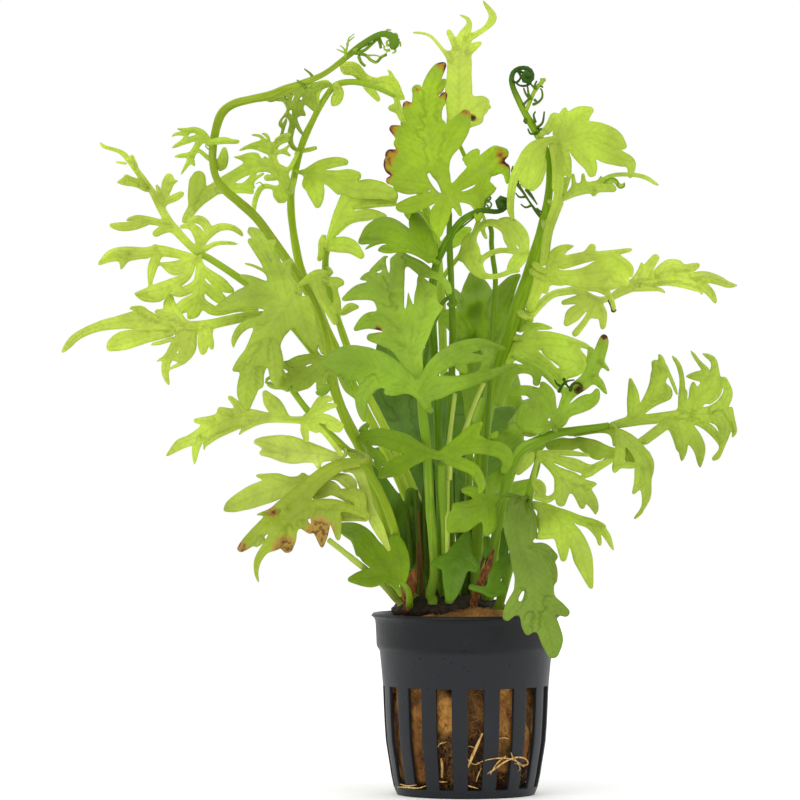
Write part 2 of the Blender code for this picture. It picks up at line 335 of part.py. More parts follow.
    "low_centre_leaf": ((-7, 95.5, -24.5), (-0.55, 0.35), 0.003, 0.1, "dark", [
        [(-6.8, 94.3, 1.0), (-12.5, 96.3, 1.6), (-18, 98.3, 2.6), (-23.5, 99.8, 2.5), (-28, 99.6, 1.8),
         (-30.3, 98.6, 0.5)],
        [(-10.5, 95.2, 1.2), (-16, 93.3, 1.8), (-20.5, 91, 2.1), (-24, 88.7, 0.5)],
        [(-6.8, 94.8, 1.2), (-1, 98.5, 1.8), (2, 101.5, 1.8), (4.2, 103.8, 0.6)],
        [(-6, 94.5, 1.2), (0, 96.8, 1.8), (6, 97, 1.9), (10.3, 96, 1.9), (11.8, 93, 1.4),
         (10.3, 90, 0.6)],
        [(-6.5, 94.3, 1.2), (-1, 92.3, 1.6), (2.5, 90.5, 1.4), (4.5, 86.5, 1.0), (3.8, 84.3, 0.3)],
    ]),
    "middle_leaf": ((7, 81.5, -20), (0.35, 0.55), 0.003, 0.08, "dark", [
        [(9.3, 83.3, 0.8), (5, 80.5, 2.6), (1, 78.3, 3.5), (-2.5, 76, 3.2), (-4.4, 74, 1.0)],
        [(4, 81, 1.5), (0, 80.3, 1.6), (-3.2, 80.6, 0.8)],
        [(6.5, 80, 2.0), (6.8, 76, 2.0), (5.8, 73, 1.0)],
        [(5, 82.5, 1.0), (1.7, 84.8, 1.3), (-1.2, 85, 0.5)],
    ]),
    "dark_round_leaf": ((0, 71.5, -17), (0.1, 0.65), 0.004, 0.06, "dark", [
        [(0.6, 73.5, 0.7), (-1.5, 67.5, 3.0), (-3, 62.5, 3.3), (-3.8, 57.7, 2.4), (-4.4, 54.6, 1.2)],
        [(-3, 66, 2.0), (-7, 64.8, 1.7), (-9.4, 64.5, 0.5)],
        [(-1, 66, 2.0), (1.7, 64.5, 1.9), (2.8, 62.6, 1.0)],
    ]),
    "upper_right_leaf": ((24, 182, -8.5), (0.45, 0.15), 0.002, 0.08, "lime", [
        [(23.6, 160.5, 0.9), (25, 164.3, 0.9), (26, 168.5, 0.9), (26.5, 173, 0.9), (26.6, 178, 0.9),
         (26, 182, 1.0)],
        [(26, 181.5, 1.2), (28, 184.5, 2.6), (30, 187.5, 3.0), (32.3, 189.8, 2.3), (34.6, 191, 0.9)],
        [(25, 184, 1.2), (26.5, 188, 1.4), (27.5, 191.6, 0.5)],
        [(26, 181.5, 1.6), (32, 184.3, 2.8), (37, 184.2, 3.0), (41.3, 182.6, 2.5), (44.2, 180.6, 0.6)],
        [(34, 182.5, 2.0), (38.5, 179.5, 2.8), (43, 177.5, 2.0), (46, 176.3, 1.2), (46.1, 173.8, 0.8),
         (45.9, 172.2, 0.4)],
        [(29.5, 181.5, 1.6), (32.5, 178.5, 2.2), (34.5, 175.5, 1.8), (35, 172.8, 0.9)],
        [(26.5, 181, 1.3), (27.6, 177, 1.7), (29.2, 172.2, 0.3)],
        [(25.5, 183.3, 0.9), (22.5, 182.8, 0.9), (20, 180.5, 2.5), (18, 177, 3.2), (17.3, 173.5, 2.8),
         (17, 170.3, 1.2)],
        [(16, 177, 1.5), (13.7, 173, 1.0), (12.6, 168, 0.9), (12.5, 163.5, 0.8), (13.3, 160.8, 0.3)],
    ]),
    "curled_right_leaf": ((27, 167, -6), (0.45, 0.15), 0.002, 0.06, "mid", [
        [(25.9, 166, 0.6), (28.5, 167.3, 0.8), (31, 169, 1.6), (35, 169.8, 1.5), (39, 170.1, 1.6),
         (41.8, 169.2, 0.7)],
        [(39.3, 171, 0.5), (41.3, 171.9, 0.4), (42.5, 170.9, 0.4), (42.9, 169.9, 0.4),
         (44.4, 170.6, 0.35)],
        [(36.8, 171, 0.4), (40.5, 173, 0.35), (45, 173.4, 0.35), (50, 172.7, 0.35),
         (54.2, 170.1, 0.15)],
        [(30.4, 169.5, 0.4), (30, 173.4, 0.3)],
    ]),
    "right_upper_leaf": ((23, 146, -7.5), (-0.45, 0.0), 0.002, 0.08, "lime", [
        [(22.6, 146.2, 1.1), (27, 145.2, 1.3), (33, 145.4, 1.8), (38, 146.1, 3.5), (42.5, 145.8, 3.2),
         (45.2, 142.6, 0.4)],
        [(23.6, 148, 1.0), (28, 149.7, 0.9), (33, 150.6, 1.0), (38, 151, 0.9), (42.5, 151.8, 0.7),
         (46.5, 152.4, 0.4)],
        [(34.3, 151, 1.2), (35.4, 153.2, 0.9)],
        [(23.8, 146.5, 1.4), (25.2, 150.5, 1.8), (27.3, 152.6, 1.1), (30.2, 153.4, 0.2)],
        [(24, 144.9, 1.0), (28, 143.6, 0.9), (33, 142.6, 1.0), (37, 141.5, 0.9), (40, 139.8, 0.6),
         (41.3, 136.8, 0.4), (41.5, 135.2, 0.4)],
        [(40, 144, 1.6), (37.5, 141.8, 1.0)],
    ]),
    "far_right_leaf": ((19, 133.6, -4.8), (0.25, 0.4), 0.002, 0.1, "lime", [
        [(18.6, 133.6, 0.4), (21, 137.2, 0.8), (24.5, 139.9, 0.8), (29, 140.7, 0.7), (33, 140.2, 0.6),
         (37, 138.3, 0.7), (40.5, 138.9, 0.7), (44, 141, 1.2), (48, 142.8, 1.6), (53, 144.2, 2.0),
         (58, 145, 2.4), (62, 144.3, 1.8), (66, 142.5, 1.2), (68.7, 140, 0.9), (70.1, 137.2, 0.2)],
        [(50, 144, 1.2), (51.3, 147.5, 1.3), (53.2, 150.2, 0.9)],
        [(54, 145.5, 1.5), (57, 147.8, 1.6), (60, 148, 1.2)],
        [(59.5, 146.5, 1.2), (63, 147.2, 1.1), (65.3, 148.1, 0.5)],
        [(62, 144.2, 1.2), (66.3, 144.8, 1.3), (70.5, 143.8, 1.1), (73.5, 142.5, 0.7),
         (76.3, 142.3, 0.1)],
        [(47, 143, 1.0), (49, 146, 0.9), (49.2, 148.8, 0.2)],
        [(36.5, 138, 0.7), (33, 138.6, 1.2), (27.2, 137.5, 0.5)],
        [(36.3, 137.8, 0.8), (33, 136.2, 1.3), (30, 134, 1.9), (28, 131.3, 0.6)],
        [(36.8, 137.6, 0.8), (38.2, 134.3, 1.1), (38.4, 130.6, 0.6)],
        [(36.2, 137.2, 0.6), (33.5, 132.4, 0.7), (30.9, 128.9, 0.7)],
    ]),
    "cluster_leaf": ((30, 126, -8), (-0.4, 0.25), 0.0, 0.08, "mid", [
        [(15.8, 127.5, 1.2), (20, 127.4, 1.9), (25, 127.5, 1.6), (29, 126.8, 1.1), (32.5, 125.8, 0.7),
         (35, 124.6, 0.4)],
        [(17, 128.5, 1.0), (19.5, 130.8, 1.0), (24.2, 130.4, 0.2)],
        [(29.8, 126.5, 0.9), (31.2, 123.6, 1.1), (33, 120.8, 1.3), (32, 118.4, 0.6)],
        [(32.4, 120.7, 1.8), (28.5, 121.4, 2.6), (24.5, 122.8, 1.6), (21.5, 124, 0.4)],
        [(31.5, 120.5, 1.8), (29, 119, 1.4), (26.2, 118.2, 0.6)],
    ]),
    "dark_tipped_leaf": ((30, 113, -17), (-0.45, 0.15), 0.0, 0.06, "mid", [
        [(24.6, 103.8, 0.8), (26.8, 107, 1.0), (28.2, 110.8, 1.2), (30.6, 113.4, 1.6),
         (33.8, 115.8, 1.8), (36, 119.5, 1.8), (37.7, 123.5, 1.6), (38.6, 126.8, 1.3),
         (38.8, 128.3, 0.6)],
        [(37.3, 121.3, 0.5), (39, 119.7, 0.4), (40.3, 118, 0.2)],
        [(35, 116.5, 1.0), (37.3, 115.2, 1.0), (39.6, 111.6, 0.1)],
        [(26.8, 105.8, 0.8), (29.5, 107.2, 1.5), (33, 109.3, 2.1), (36, 110.8, 1.4),
         (36.8, 113.4, 0.4)],
        [(25.3, 104.2, 0.7), (24, 108, 1.4), (23, 112, 1.6), (21.3, 115.2, 0.5)],
        [(29.5, 112, 0.9), (26, 113.8, 0.8), (22, 118, 0.8), (17, 120.8, 0.7), (12.6, 122.6, 0.4)],
    ]),
    "big_right_leaf": ((42, 103.3, -17.5), (-0.45, 0.35), 0.002, 0.1, "mid", [
        [(40.8, 103, 1.0), (45, 104.2, 1.1), (50, 104.9, 1.1), (55, 105.4, 1.1), (60, 106, 1.4),
         (65, 106.3, 1.6), (70, 106, 2.4), (72.5, 103.5, 2.0), (72.2, 99.5, 1.0), (71.7, 97, 0.5),
         (70.4, 94.6, 0.7), (69.3, 93.7, 0.4)],
        [(46.8, 105, 1.2), (46.9, 109, 1.6), (46.8, 112.5, 1.3), (46, 116.5, 0.2)],
        [(48.7, 105.8, 0.8), (49.8, 108.5, 1.0), (51.8, 111.5, 1.4), (53.6, 115, 1.9),
         (54.3, 118.5, 2.2), (52.6, 121, 0.6)],
        [(54.8, 119, 1.0), (54.9, 121.3, 0.7), (54.1, 123.2, 0.2)],
        [(51.5, 110.3, 0.9), (54.5, 111.6, 1.2), (56.3, 112.3, 0.9)],
        [(60.5, 106.5, 1.0), (60.3, 111, 0.7), (60.6, 115.5, 0.55), (59.6, 120, 0.5),
         (57.6, 122.9, 0.2)],
        [(62.8, 106.5, 2.0), (64.8, 110.5, 2.2), (68, 113.3, 2.6), (69.3, 116.3, 2.0),
         (69.8, 119.5, 0.9), (69, 121.8, 0.7), (66, 123.3, 0.2)],
        [(63.8, 110.5, 1.2), (63.7, 113.5, 0.8), (63.8, 115.5, 0.2)],
        [(68, 116.7, 1.3), (65, 117, 1.2), (61.7, 116.8, 0.2)],
        [(67.5, 118.3, 0.8), (65.5, 120.5, 0.45), (63, 124, 0.15)],
        [(68.5, 106.5, 1.8), (71.8, 109, 1.7), (73.4, 112.5, 1.2), (72.4, 116.3, 0.5)],
        [(73.2, 108, 1.4), (74.3, 104.5, 1.0), (75.3, 101.5, 0.5), (74.4, 99.5, 0.2)],
        [(59, 105, 1.2), (60, 101, 1.7), (60.8, 97, 1.2), (60.5, 93.2, 0.2)],
        [(61, 104, 1.4), (63.6, 100, 2.0), (65.3, 96.5, 1.6), (65.6, 91.4, 0.2)],
        [(57, 104.8, 0.8), (53, 101.7, 0.8), (48.5, 98.3, 0.8), (43, 95.2, 0.8), (38.5, 92.6, 0.7)],
        [(43.5, 95.5, 0.9), (40, 95.8, 1.4), (36, 97.2, 1.8), (31.5, 99.3, 0.6)],
    ]),
    "drooping_leaf": ((42.5, 101.5, -19.8), (-0.25, 0.6), 0.003, 0.08, "mid", [
        [(42.1, 102, 0.7), (43, 98.5, 1.2), (43, 94.5, 1.4), (42, 91.3, 1.0), (41.4, 90, 0.2)],
        [(42.8, 101.5, 0.8), (46, 98.8, 1.6), (48.8, 95.3, 2.0), (50, 91, 2.0), (50.3, 87, 1.6),
         (50.6, 83.5, 1.2), (49.6, 80, 0.4), (47, 77, 0.1)],
        [(49, 91, 1.5), (48.7, 87.5, 1.3), (46.7, 83.8, 0.2)],
        [(50, 95.5, 1.2), (51.8, 92.5, 0.8), (52.1, 89, 0.2)],
    ]),
    "fingered_leaf": ((20.5, 94.8, -20.5), (-0.35, 0.55), 0.003, 0.08, "mid", [
        [(20, 95.3, 0.6), (24, 95.6, 0.6), (30, 95.3, 0.6), (35, 94.7, 0.2)],
        [(20.5, 94.9, 0.7), (25, 93.8, 1.0), (30, 92.4, 1.6), (33.5, 91.3, 1.2), (36, 91.5, 0.2)],
        [(20.6, 94.6, 0.8), (24.5, 91, 1.1), (27.5, 88.3, 2.3), (30.5, 87, 2.6), (33.3, 86.5, 1.5),
         (36.3, 86.8, 0.4)],
        [(27, 88, 2.0), (27, 84.5, 1.9), (26.6, 81.5, 1.2)],
        [(30.5, 86.5, 1.5), (32, 83, 1.3), (32.7, 80, 0.6)],
        [(32.5, 86, 1.5), (35, 82.5, 1.6), (36.2, 79.8, 0.9), (36.3, 78.3, 0.2)],
    ]),
    "pointed_leaf": ((20, 81, -19.5), (-0.35, 0.55), 0.0, 0.08, "mid", [
        [(18.7, 81.2, 0.9), (24, 79, 1.6), (27, 75.8, 2.0), (30, 72.5, 2.3), (32, 69, 2.5),
         (33, 65, 2.6), (34, 61.5, 1.7), (35.2, 57.5, 0.4)],
        [(26.5, 76, 1.8), (26.8, 72, 1.9), (27.2, 68.5, 1.5), (27.3, 65.3, 0.6)],
        [(22, 79.5, 1.5), (21.5, 76, 1.6), (21.8, 72.6, 0.7)],
        [(24, 79.6, 0.9), (28, 78.5, 0.9), (32, 76.6, 1.2), (36, 75.6, 1.2), (39.3, 75, 0.2)],
        [(36.5, 75.3, 0.8), (39.3, 72.5, 0.9), (41.5, 67.8, 0.1)],
        [(34.5, 75.4, 0.8), (37, 72.3, 0.7), (37.5, 69.8, 0.4)],
    ]),
    "pot_rim_leaf": ((14, 80, -21), (-0.08, 0.5), 0.0, 0.05, "dark", [
        [(15.6, 82, 0.9), (14, 76, 3.2), (15, 70, 3.3), (17, 65, 4.3), (18.8, 60, 5.2),
         (19.2, 55, 5.5), (19.5, 50.5, 4.6), (19.5, 48, 3.0)],
        [(16, 56, 2.5), (13, 52, 2.0), (11.2, 49.2, 1.0)],
        [(18.5, 50, 3.0), (17.6, 47, 2.0), (17.3, 45.2, 0.8)],
        [(21, 50, 3.0), (22.5, 46.5, 3.0), (23.6, 42.5, 3.0), (24, 39, 1.4)],
        [(22.5, 54, 2.5), (25.5, 52, 1.8), (27.5, 50.6, 1.0)],
    ]),
    "back_tall_leaf": ((-7, 140, 38), (0.3, 0.2), -0.0012, 0.1, "dark", [
        [(-4, 66, 0.9), (-5, 90, 0.9), (-6, 115, 0.9), (-7, 140, 1.0), (-8, 162, 1.6), (-9, 176, 4.0),
         (-9.5, 186, 3.6), (-9, 194, 1.0)],
        [(-8, 166, 1.2), (-13, 172, 2.6), (-17, 176, 0.8)],
        [(-8.5, 172, 1.2), (-3, 178, 2.4), (0, 182, 0.8)],
        [(-7.7, 156, 1.0), (-12, 160, 2.4), (-16.5, 162.5, 0.7)],
        [(-7.5, 152, 1.0), (-2.5, 156, 2.2), (1, 158, 0.7)],
    ]),
    "back_left_leaf": ((-16, 90, 28), (-0.25, 0.45), 0.0, 0.1, "dark", [
        [(-9.5, 68, 1.0), (-12, 78, 1.6), (-15, 88, 3.4), (-17, 98, 4.4), (-19.5, 110, 4.6),
         (-22, 120, 3.6), (-23.5, 128, 1.0)],
        [(-15.5, 90, 2.0), (-21, 94, 3.4), (-26.5, 95.5, 1.0)],
        [(-18, 104, 2.0), (-24, 109, 2.6), (-27, 112, 0.8)],
        [(-18, 113, 2.0), (-13, 119, 3.2), (-9, 125, 1.2)],
        [(-13, 78, 1.4), (-19, 81, 3.0), (-25, 83, 0.9)],
    ]),
    "back_centre_leaf": ((-2.5, 95, 22), (0.35, 0.22), 0.0, 0.08, "dark", [
        [(-1.5, 68, 1.0), (-2, 80, 1.6), (-4, 92, 4.4), (-5.5, 102, 6.0), (-5.2, 110, 5.4),
         (-4.5, 117, 1.6)],
        [(-2, 96, 2.6), (4, 101, 3.2), (9, 105, 2.8), (13, 107.5, 1.0)],
        [(-2, 89, 1.8), (5, 92, 3.0), (10.5, 94.5, 1.2)],
        [(-4, 106, 2.0), (2, 111, 2.6), (6, 116, 1.0)],
    ]),
    "back_right_leaf": ((8, 90, 26), (0.35, 0.35), 0.0, 0.1, "dark", [
        [(3, 68, 1.0), (6, 79, 1.8), (9, 89, 4.0), (11.5, 99, 4.6), (12, 109, 4.0), (11.5, 117, 3.0),
         (12, 121, 1.0)],
        [(10, 91, 2.2), (16, 95, 3.2), (22, 98.5, 1.0)],
        [(11, 103, 2.0), (17, 107, 3.0), (22, 110.5, 1.0)],
        [(7.5, 82, 1.6), (14, 84.5, 2.8), (19.5, 87.5, 0.9)],
    ]),
    "dark_upper_leaf": ((3, 128, 9), (-0.4, 0.15), 0.002, 0.08, "dark", [
        [(0.5, 66, 0.8), (0.8, 85, 0.8), (1.2, 105, 1.2), (1.6, 116, 3.2), (2.6, 125, 5.8),
         (3.6, 135, 6.2), (2.6, 142, 3.6), (2, 145.5, 1.0)],
        [(6, 134, 3.0), (10, 139, 2.6), (13, 143.5, 1.4), (15, 145.2, 0.4)],
        [(0, 129, 3.0), (-4, 133, 2.6), (-7, 134.2, 1.0)],
        [(5, 124, 2.5), (9, 127.5, 2.4), (11.5, 131, 0.8)],
    ]),
    "back_low_leaf": ((-15, 68, 6), (0.1, 0.1), 0.0, 0.08, "dark", [
        [(-11.5, 60, 1.4), (-15, 67, 3.0), (-20, 76, 4.4), (-24, 84, 4.0), (-27, 91, 1.4)],
        [(-16, 69, 2.0), (-14.5, 77, 3.0), (-15.5, 85, 1.2)],
    ]),
}

TONES = {
    "lime": (0.42, 0.60, 0.06, 1.0),
    "pale": (0.44, 0.55, 0.14, 1.0),
    "mid": (0.28, 0.42, 0.04, 1.0),
    "dark": (0.14, 0.26, 0.015, 1.0),
}
STALK_TONES = {"tall_crozier": "dark", "dark_crozier": "dark"}


def clear_scene():
    for item in list(bpy.data.objects):
        bpy.data.objects.remove(item, do_unlink=True)


def finish(name, colour, roughness):
    material = bpy.data.materials.new(name + "_finish")
    material.use_nodes = True
    shader = material.node_tree.nodes["Principled BSDF"]
    shader.inputs["Base Color"].default_value = colour
    shader.inputs["Roughness"].default_value = roughness
    shader.inputs["Metallic"].default_value = 0.0
    return material


def place(name, shape, colour, roughness=0.45):
    """Turn a bmesh in millimetres into a named object in metres."""
    for vert in shape.verts:
        vert.co *= 0.001
    mesh = bpy.data.meshes.new(name)
    shape.to_mesh(mesh)
    shape.free()
    item = bpy.data.objects.new(name, mesh)
    bpy.context.scene.collection.objects.link(item)
    mesh.materials.append(finish(name, colour, roughness))
    return item


def sight(x, z, y):
    """Carry a point of the drawing plane along the line of sight to its depth.

    Above the crown the depths fan out, so the plant spreads to the front and back.
    """
    y *= 1.0 + FAN * min(1.0, max(0.0, (z - FAN_FROM) / FAN_HEIGHT))
    reach = (y - EYE.y) / -EYE.y
    return Vector((EYE.x + (x - EYE.x) * reach, y, EYE.z + (z - EYE.z) * reach))


def ring_faces(shape, lower, upper):
    count = len(lower)
    for i in range(count):
        j = (i + 1) % count
        shape.faces.new((lower[i], lower[j], upper[j], upper[i]))


def tube(name, stations, colour, sides=STALK_SIDES):
    """A round stalk with flat ends through stations of across, up, back and radius."""
    path = [sight(x, z, y) for x, z, y, _ in stations]
    radii = [r for _, _, _, r in stations]
    shape = bmesh.new()
    side = Vector((1.0, 0.0, 0.0))
    rings = []
    for i, point in enumerate(path):
        ahead = (path[min(i + 1, len(path) - 1)] - path[max(i - 1, 0)]).normalized()
        if i == 0:
            ahead = Vector((0.0, 0.0, 1.0))
        side = (side - ahead * side.dot(ahead)).normalized()
        across = ahead.cross(side)
        ring = []
        for k in range(sides):
            turn = math.tau * k / sides
            offset = side * math.cos(turn) + across * math.sin(turn)
            ring.append(shape.verts.new(point + offset * radii[i]))
        rings.append(ring)
    for lower, upper in zip(rings, rings[1:]):
        ring_faces(shape, lower, upper)
    shape.faces.new(list(reversed(rings[0])))
    shape.faces.new(rings[-1])
    item = place(name, shape, colour)
    item.data.shade_smooth()
    return item


def lobe_outline(stations):
    """Right edge of a lobe out to its tip, and its left edge back."""
    points = [Vector((x, z)) for x, z, _ in stations]
    left, right = [], []
    for i, (point, station) in enumerate(zip(points, stations)):
        ahead = (points[min(i + 1, len(points) - 1)] - points[max(i - 1, 0)]).normalized()
        side = Vector((-ahead.y, ahead.x)) * station[2]
        left.append(point + side)
        right.append(point - side)
    if stations[-1][2] < 0.35:
        left.pop()
        right.pop()
        tip = [points[-1]]
    else:
        tip = [points[-1] + (points[-1] - points[-2]).normalized() * stations[-1][2] * 0.7]
    return right + tip + left[::-1]


def flat_union(lobes):
    """One flat sheet covered by all the lobes, as a bmesh on the drawing plane."""
    corners, loops = [], []
    for stations in lobes:
        outline = lobe_outline(stations)
        loops.append(list(range(len(corners), len(corners) + len(outline))))
        corners.extend(outline)
    found = delaunay_2d_cdt(corners, [], loops, 1, 0.02, True)
    shape = bmesh.new()
    verts = [shape.verts.new((point.x, point.y, 0.0)) for point in found[0]]
    for face, sources in zip(found[2], found[5]):
        if sources:
            shape.faces.new([verts[i] for i in face])
    loose = [vert for vert in shape.verts if not vert.link_faces]
    bmesh.ops.delete(shape, geom=loose, context="VERTS")
    bmesh.ops.remove_doubles(shape, verts=shape.verts, dist=0.18)
    bmesh.ops.dissolve_degenerate(shape, edges=shape.edges, dist=0.02)
    bmesh.ops.dissolve_limit(shape, angle_limit=0.26, verts=shape.verts, edges=shape.edges)
    bmesh.ops.triangulate(shape, faces=shape.faces)
    return shape


def lobe_depths(lobes, curl, seed):
    """Points along the midribs, each with how far its lobe swings back or forward."""
    marks = []
    for j, stations in enumerate(lobes):
        swing = curl * math.sin(12.9898 * (seed + 1) + 78.233 * (j + 1))
        run = 0.0
        for i, (x, z, _) in enumerate(stations):
            if i:
                run += math.dist((x, z), stations[i - 1][:2])
            marks.append((x, z, swing * run * min(1.0, run / 12.0)))
    return marks


def depth_at(x, z, hub, lean, bow, marks):
    away = (x - hub[0]) ** 2 + (z - hub[1]) ** 2
    flat = hub[2] + lean[0] * (x - hub[0]) + lean[1] * (z - hub[1]) + bow * away
    total, weight = 0.0, 0.0
    for mx, mz, push in marks:
        near = 1.0 / ((x - mx) ** 2 + (z - mz) ** 2 + 1.5) ** 1.5
        total += near * push
        weight += near
    return flat + total / weight


def leaf(name, seed):
    hub, lean, bow, curl, tone, lobes = LEAVES[name]
    shape = flat_union(lobes)
    marks = lobe_depths(lobes, curl, seed)
    for vert in shape.verts:
        x, z = vert.co.x, vert.co.y
        vert.co = sight(x, z, depth_at(x, z, hub, lean, bow, marks))
    bmesh.ops.recalc_face_normals(shape, faces=shape.faces)
    item = place(name, shape, TONES[tone])
    solid = item.modifiers.new("thickness", "SOLIDIFY")
    solid.thickness = LEAF_THICKNESS * 0.001
    solid.offset = 0.0
    return item


def pot():
    """Tapered net pot: a slotted wall, a flared lip and a slotted floor round a plain disc."""
    shape = bmesh.new()
    facets = SLOT_COUNT * 2
    slot_rows = (SLOT_TOP, SLOT_BOTTOM)

    def ring(radius, height):
        verts = []
        for k in range(facets):
            turn = math.radians(SLOT_TURN - 90.0 - 180.0 / SLOT_COUNT / 2.0) + math.tau * k / facets
            verts.append(shape.verts.new((radius * math.cos(turn), radius * math.sin(turn), height)))
        return verts

    outer = [ring(radius, height) for radius, height in POT_PROFILE]
    inner_rows = [(RIM_RADIUS - WALL, POT_HEIGHT + 0.3)]
    inner_rows += [(radius - WALL, height) for radius, height in POT_PROFILE[1:-1]]
    inner = [ring(radius, height) for radius, height in inner_rows]
    floor_top = [ring(radius, FLOOR_THICKNESS) for radius in (18.6, 17.0, HUB_RADIUS)]
    floor_low = [ring(radius, 0.0) for radius in (17.0, HUB_RADIUS)]
    top_middle = shape.verts.new((0.0, 0.0, FLOOR_THICKNESS))
    low_middle = shape.verts.new((0.0, 0.0, 0.0))
    heights = [height for _, height in POT_PROFILE]

    def quad(a, b, c, d):
        shape.faces.new((a, b, c, d))

    for k in range(facets):
        n = (k + 1) % facets
        is_slot = k % 2 == 0
        for row in range(len(outer) - 1):
            in_slot = is_slot and heights[row] <= slot_rows[0] and heights[row + 1] >= slot_rows[1]
            if in_slot:
                if heights[row] == slot_rows[0]:
                    quad(outer[row][k], outer[row][n], inner[row][n], inner[row][k])
                if heights[row + 1] == slot_rows[1]:
                    quad(inner[row + 1][k], inner[row + 1][n], outer[row + 1][n], outer[row + 1][k])
                quad(outer[row][k], inner[row][k], inner[row + 1][k], outer[row + 1][k])
                quad(inner[row][n], outer[row][n], outer[row + 1][n], inner[row + 1][n])
                continue
            quad(outer[row + 1][k], outer[row + 1][n], outer[row][n], outer[row][k])
            if row < len(inner) - 1:
                quad(inner[row][k], inner[row][n], inner[row + 1][n], inner[row + 1][k])
        quad(outer[0][k], outer[0][n], inner[0][n], inner[0][k])
        quad(inner[-1][k], inner[-1][n], floor_top[0][n], floor_top[0][k])
        quad(floor_top[0][k], floor_top[0][n], floor_top[1][n], floor_top[1][k])
        quad(floor_low[0][k], floor_low[0][n], outer[-1][n], outer[-1][k])
        if is_slot:
            quad(floor_top[1][k], floor_top[1][n], floor_low[0][n], floor_low[0][k])
            quad(floor_low[1][k], floor_low[1][n], floor_top[2][n], floor_top[2][k])
            quad(floor_top[1][k], floor_low[0][k], floor_low[1][k], floor_top[2][k])
            quad(floor_low[0][n], floor_top[1][n], floor_top[2][n], floor_low[1][n])
        else:
            quad(floor_top[1][k], floor_top[1][n], floor_top[2][n], floor_top[2][k])
            quad(floor_low[1][k], floor_low[1][n], floor_low[0][n], floor_low[0][k])
        shape.faces.new((floor_top[2][k], floor_top[2][n], top_middle))
        shape.faces.new((floor_low[1][n], floor_low[1][k], low_middle))
    bmesh.ops.recalc_face_normals(shape, faces=shape.faces)
    item = place("net_pot", shape, (0.026, 0.031, 0.036, 1.0), 0.38)
    item.data.shade_smooth()
    item.data.set_sharp_from_angle(angle=math.radians(35))
    return item


def wool_height(x, y):
    """Top of the mineral wool: nearly level with the rim, humped at the right front."""
    hump = 3.0 * math.exp(-((x - 9.0) ** 2 + (y + 13.0) ** 2) / 50.0)
    ripple = 0.35 * math.sin(0.55 * x + 0.9) * math.cos(0.48 * y)
    return POT_HEIGHT - 0.4 + hump + ripple


def wool():
    """Plug of mineral wool that fills the pot inside the wall."""
    shape = bmesh.new()
    facets = 20
    rows = [(17.2, 1.6), (18.9, 3.4), (19.9, 8.2), (21.1, 15.0), (21.8, 30.5), (22.7, 40.0)]
    rings = []

    def ring(radius, height):
        verts = []
        for k in range(facets):
            turn = math.tau * (k + 0.5) / facets
            x, y = radius * math.cos(turn), radius * math.sin(turn)
            verts.append(shape.verts.new((x, y, wool_height(x, y) if height is None else height)))
        return verts

    rings = [ring(radius, height) for radius, height in rows]
    rings += [ring(23.6, 45.5), ring(22.8, None), ring(13.0, None)]
    for lower, upper in zip(rings, rings[1:]):
        ring_faces(shape, lower, upper)
    top = shape.verts.new((0.0, 0.0, wool_height(0.0, 0.0)))
    bottom = shape.verts.new((0.0, 0.0, rows[0][1]))
    for k in range(facets):
        n = (k + 1) % facets
        shape.faces.new((rings[-1][k], rings[-1][n], top))
        shape.faces.new((rings[0][n], rings[0][k], bottom))
    item = place("mineral_wool", shape, (0.20, 0.10, 0.03, 1.0), 0.95)
    item.data.shade_smooth()
    return item


def crown():
    """Low dark rhizome on the wool, from which every stalk rises."""
    shape = bmesh.new()
    middle = Vector((-4.5, 0.5))
    facets = 16
    rows = [(1.0, 0.0), (0.97, 1.2), (0.82, 2.6), (0.5, 3.6)]
    rings = []
    for share, rise in rows:
        ring = []
        for k in range(facets):
            turn = math.tau * k / facets
            wave = 1.0 + 0.05 * math.sin(3.0 * turn)
            x = middle.x + 17.0 * share * wave * math.cos(turn)
            y = middle.y + 13.0 * share * wave * math.sin(turn)
            ring.append(shape.verts.new((x, y, 51.6 + rise)))
        rings.append(ring)
    for lower, upper in zip(rings, rings[1:]):
        ring_faces(shape, lower, upper)
    shape.faces.new(list(reversed(rings[0])))
    top = shape.verts.new((middle.x, middle.y, 55.6))
    for k in range(facets):
        shape.faces.new((rings[-1][k], rings[-1][(k + 1) % facets], top))
    return place("rhizome", shape, (0.02, 0.018, 0.01, 1.0), 0.8)


def build():
    clear_scene()
    pot()
    wool()
    crown()
    tube("dead_stub_left", [(-16.2, 54.4, -8, 1.3), (-16, 57.5, -9.5, 1.9), (-15, 60.5, -10, 1.7),
                            (-14, 63, -10.5, 0.5)], (0.35, 0.09, 0.02, 1.0))
    tube("dead_stub_right", [(2.5, 54.6, -10, 0.9), (4.6, 60, -13.5, 1.0), (6.6, 64.5, -15, 0.9),
                             (7.8, 68.3, -16, 0.4)], (0.30, 0.10, 0.03, 1.0))
    for name, stations in STALKS.items():
        tube(name, stations, TONES[STALK_TONES.get(name, "mid")])
    for seed, name in enumerate(LEAVES):
        leaf(name, seed)


build()
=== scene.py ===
"""Water sprite, an aquarium fern, growing in a slotted net pot.

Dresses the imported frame: thin lobed leaves with veins, grooved stalks with coiled young tips,
the moulded pot, the wool plug and its roots. Lengths are in millimetres until a mesh is made.
"""
from __future__ import annotations

import logging
import math
import random
from collections.abc import Callable, Iterable, Sequence
from dataclasses import dataclass, field
from enum import Enum

import bmesh
import bpy
import numpy as np
from mathutils import Euler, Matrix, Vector, noise
from mathutils.geometry import delaunay_2d_cdt

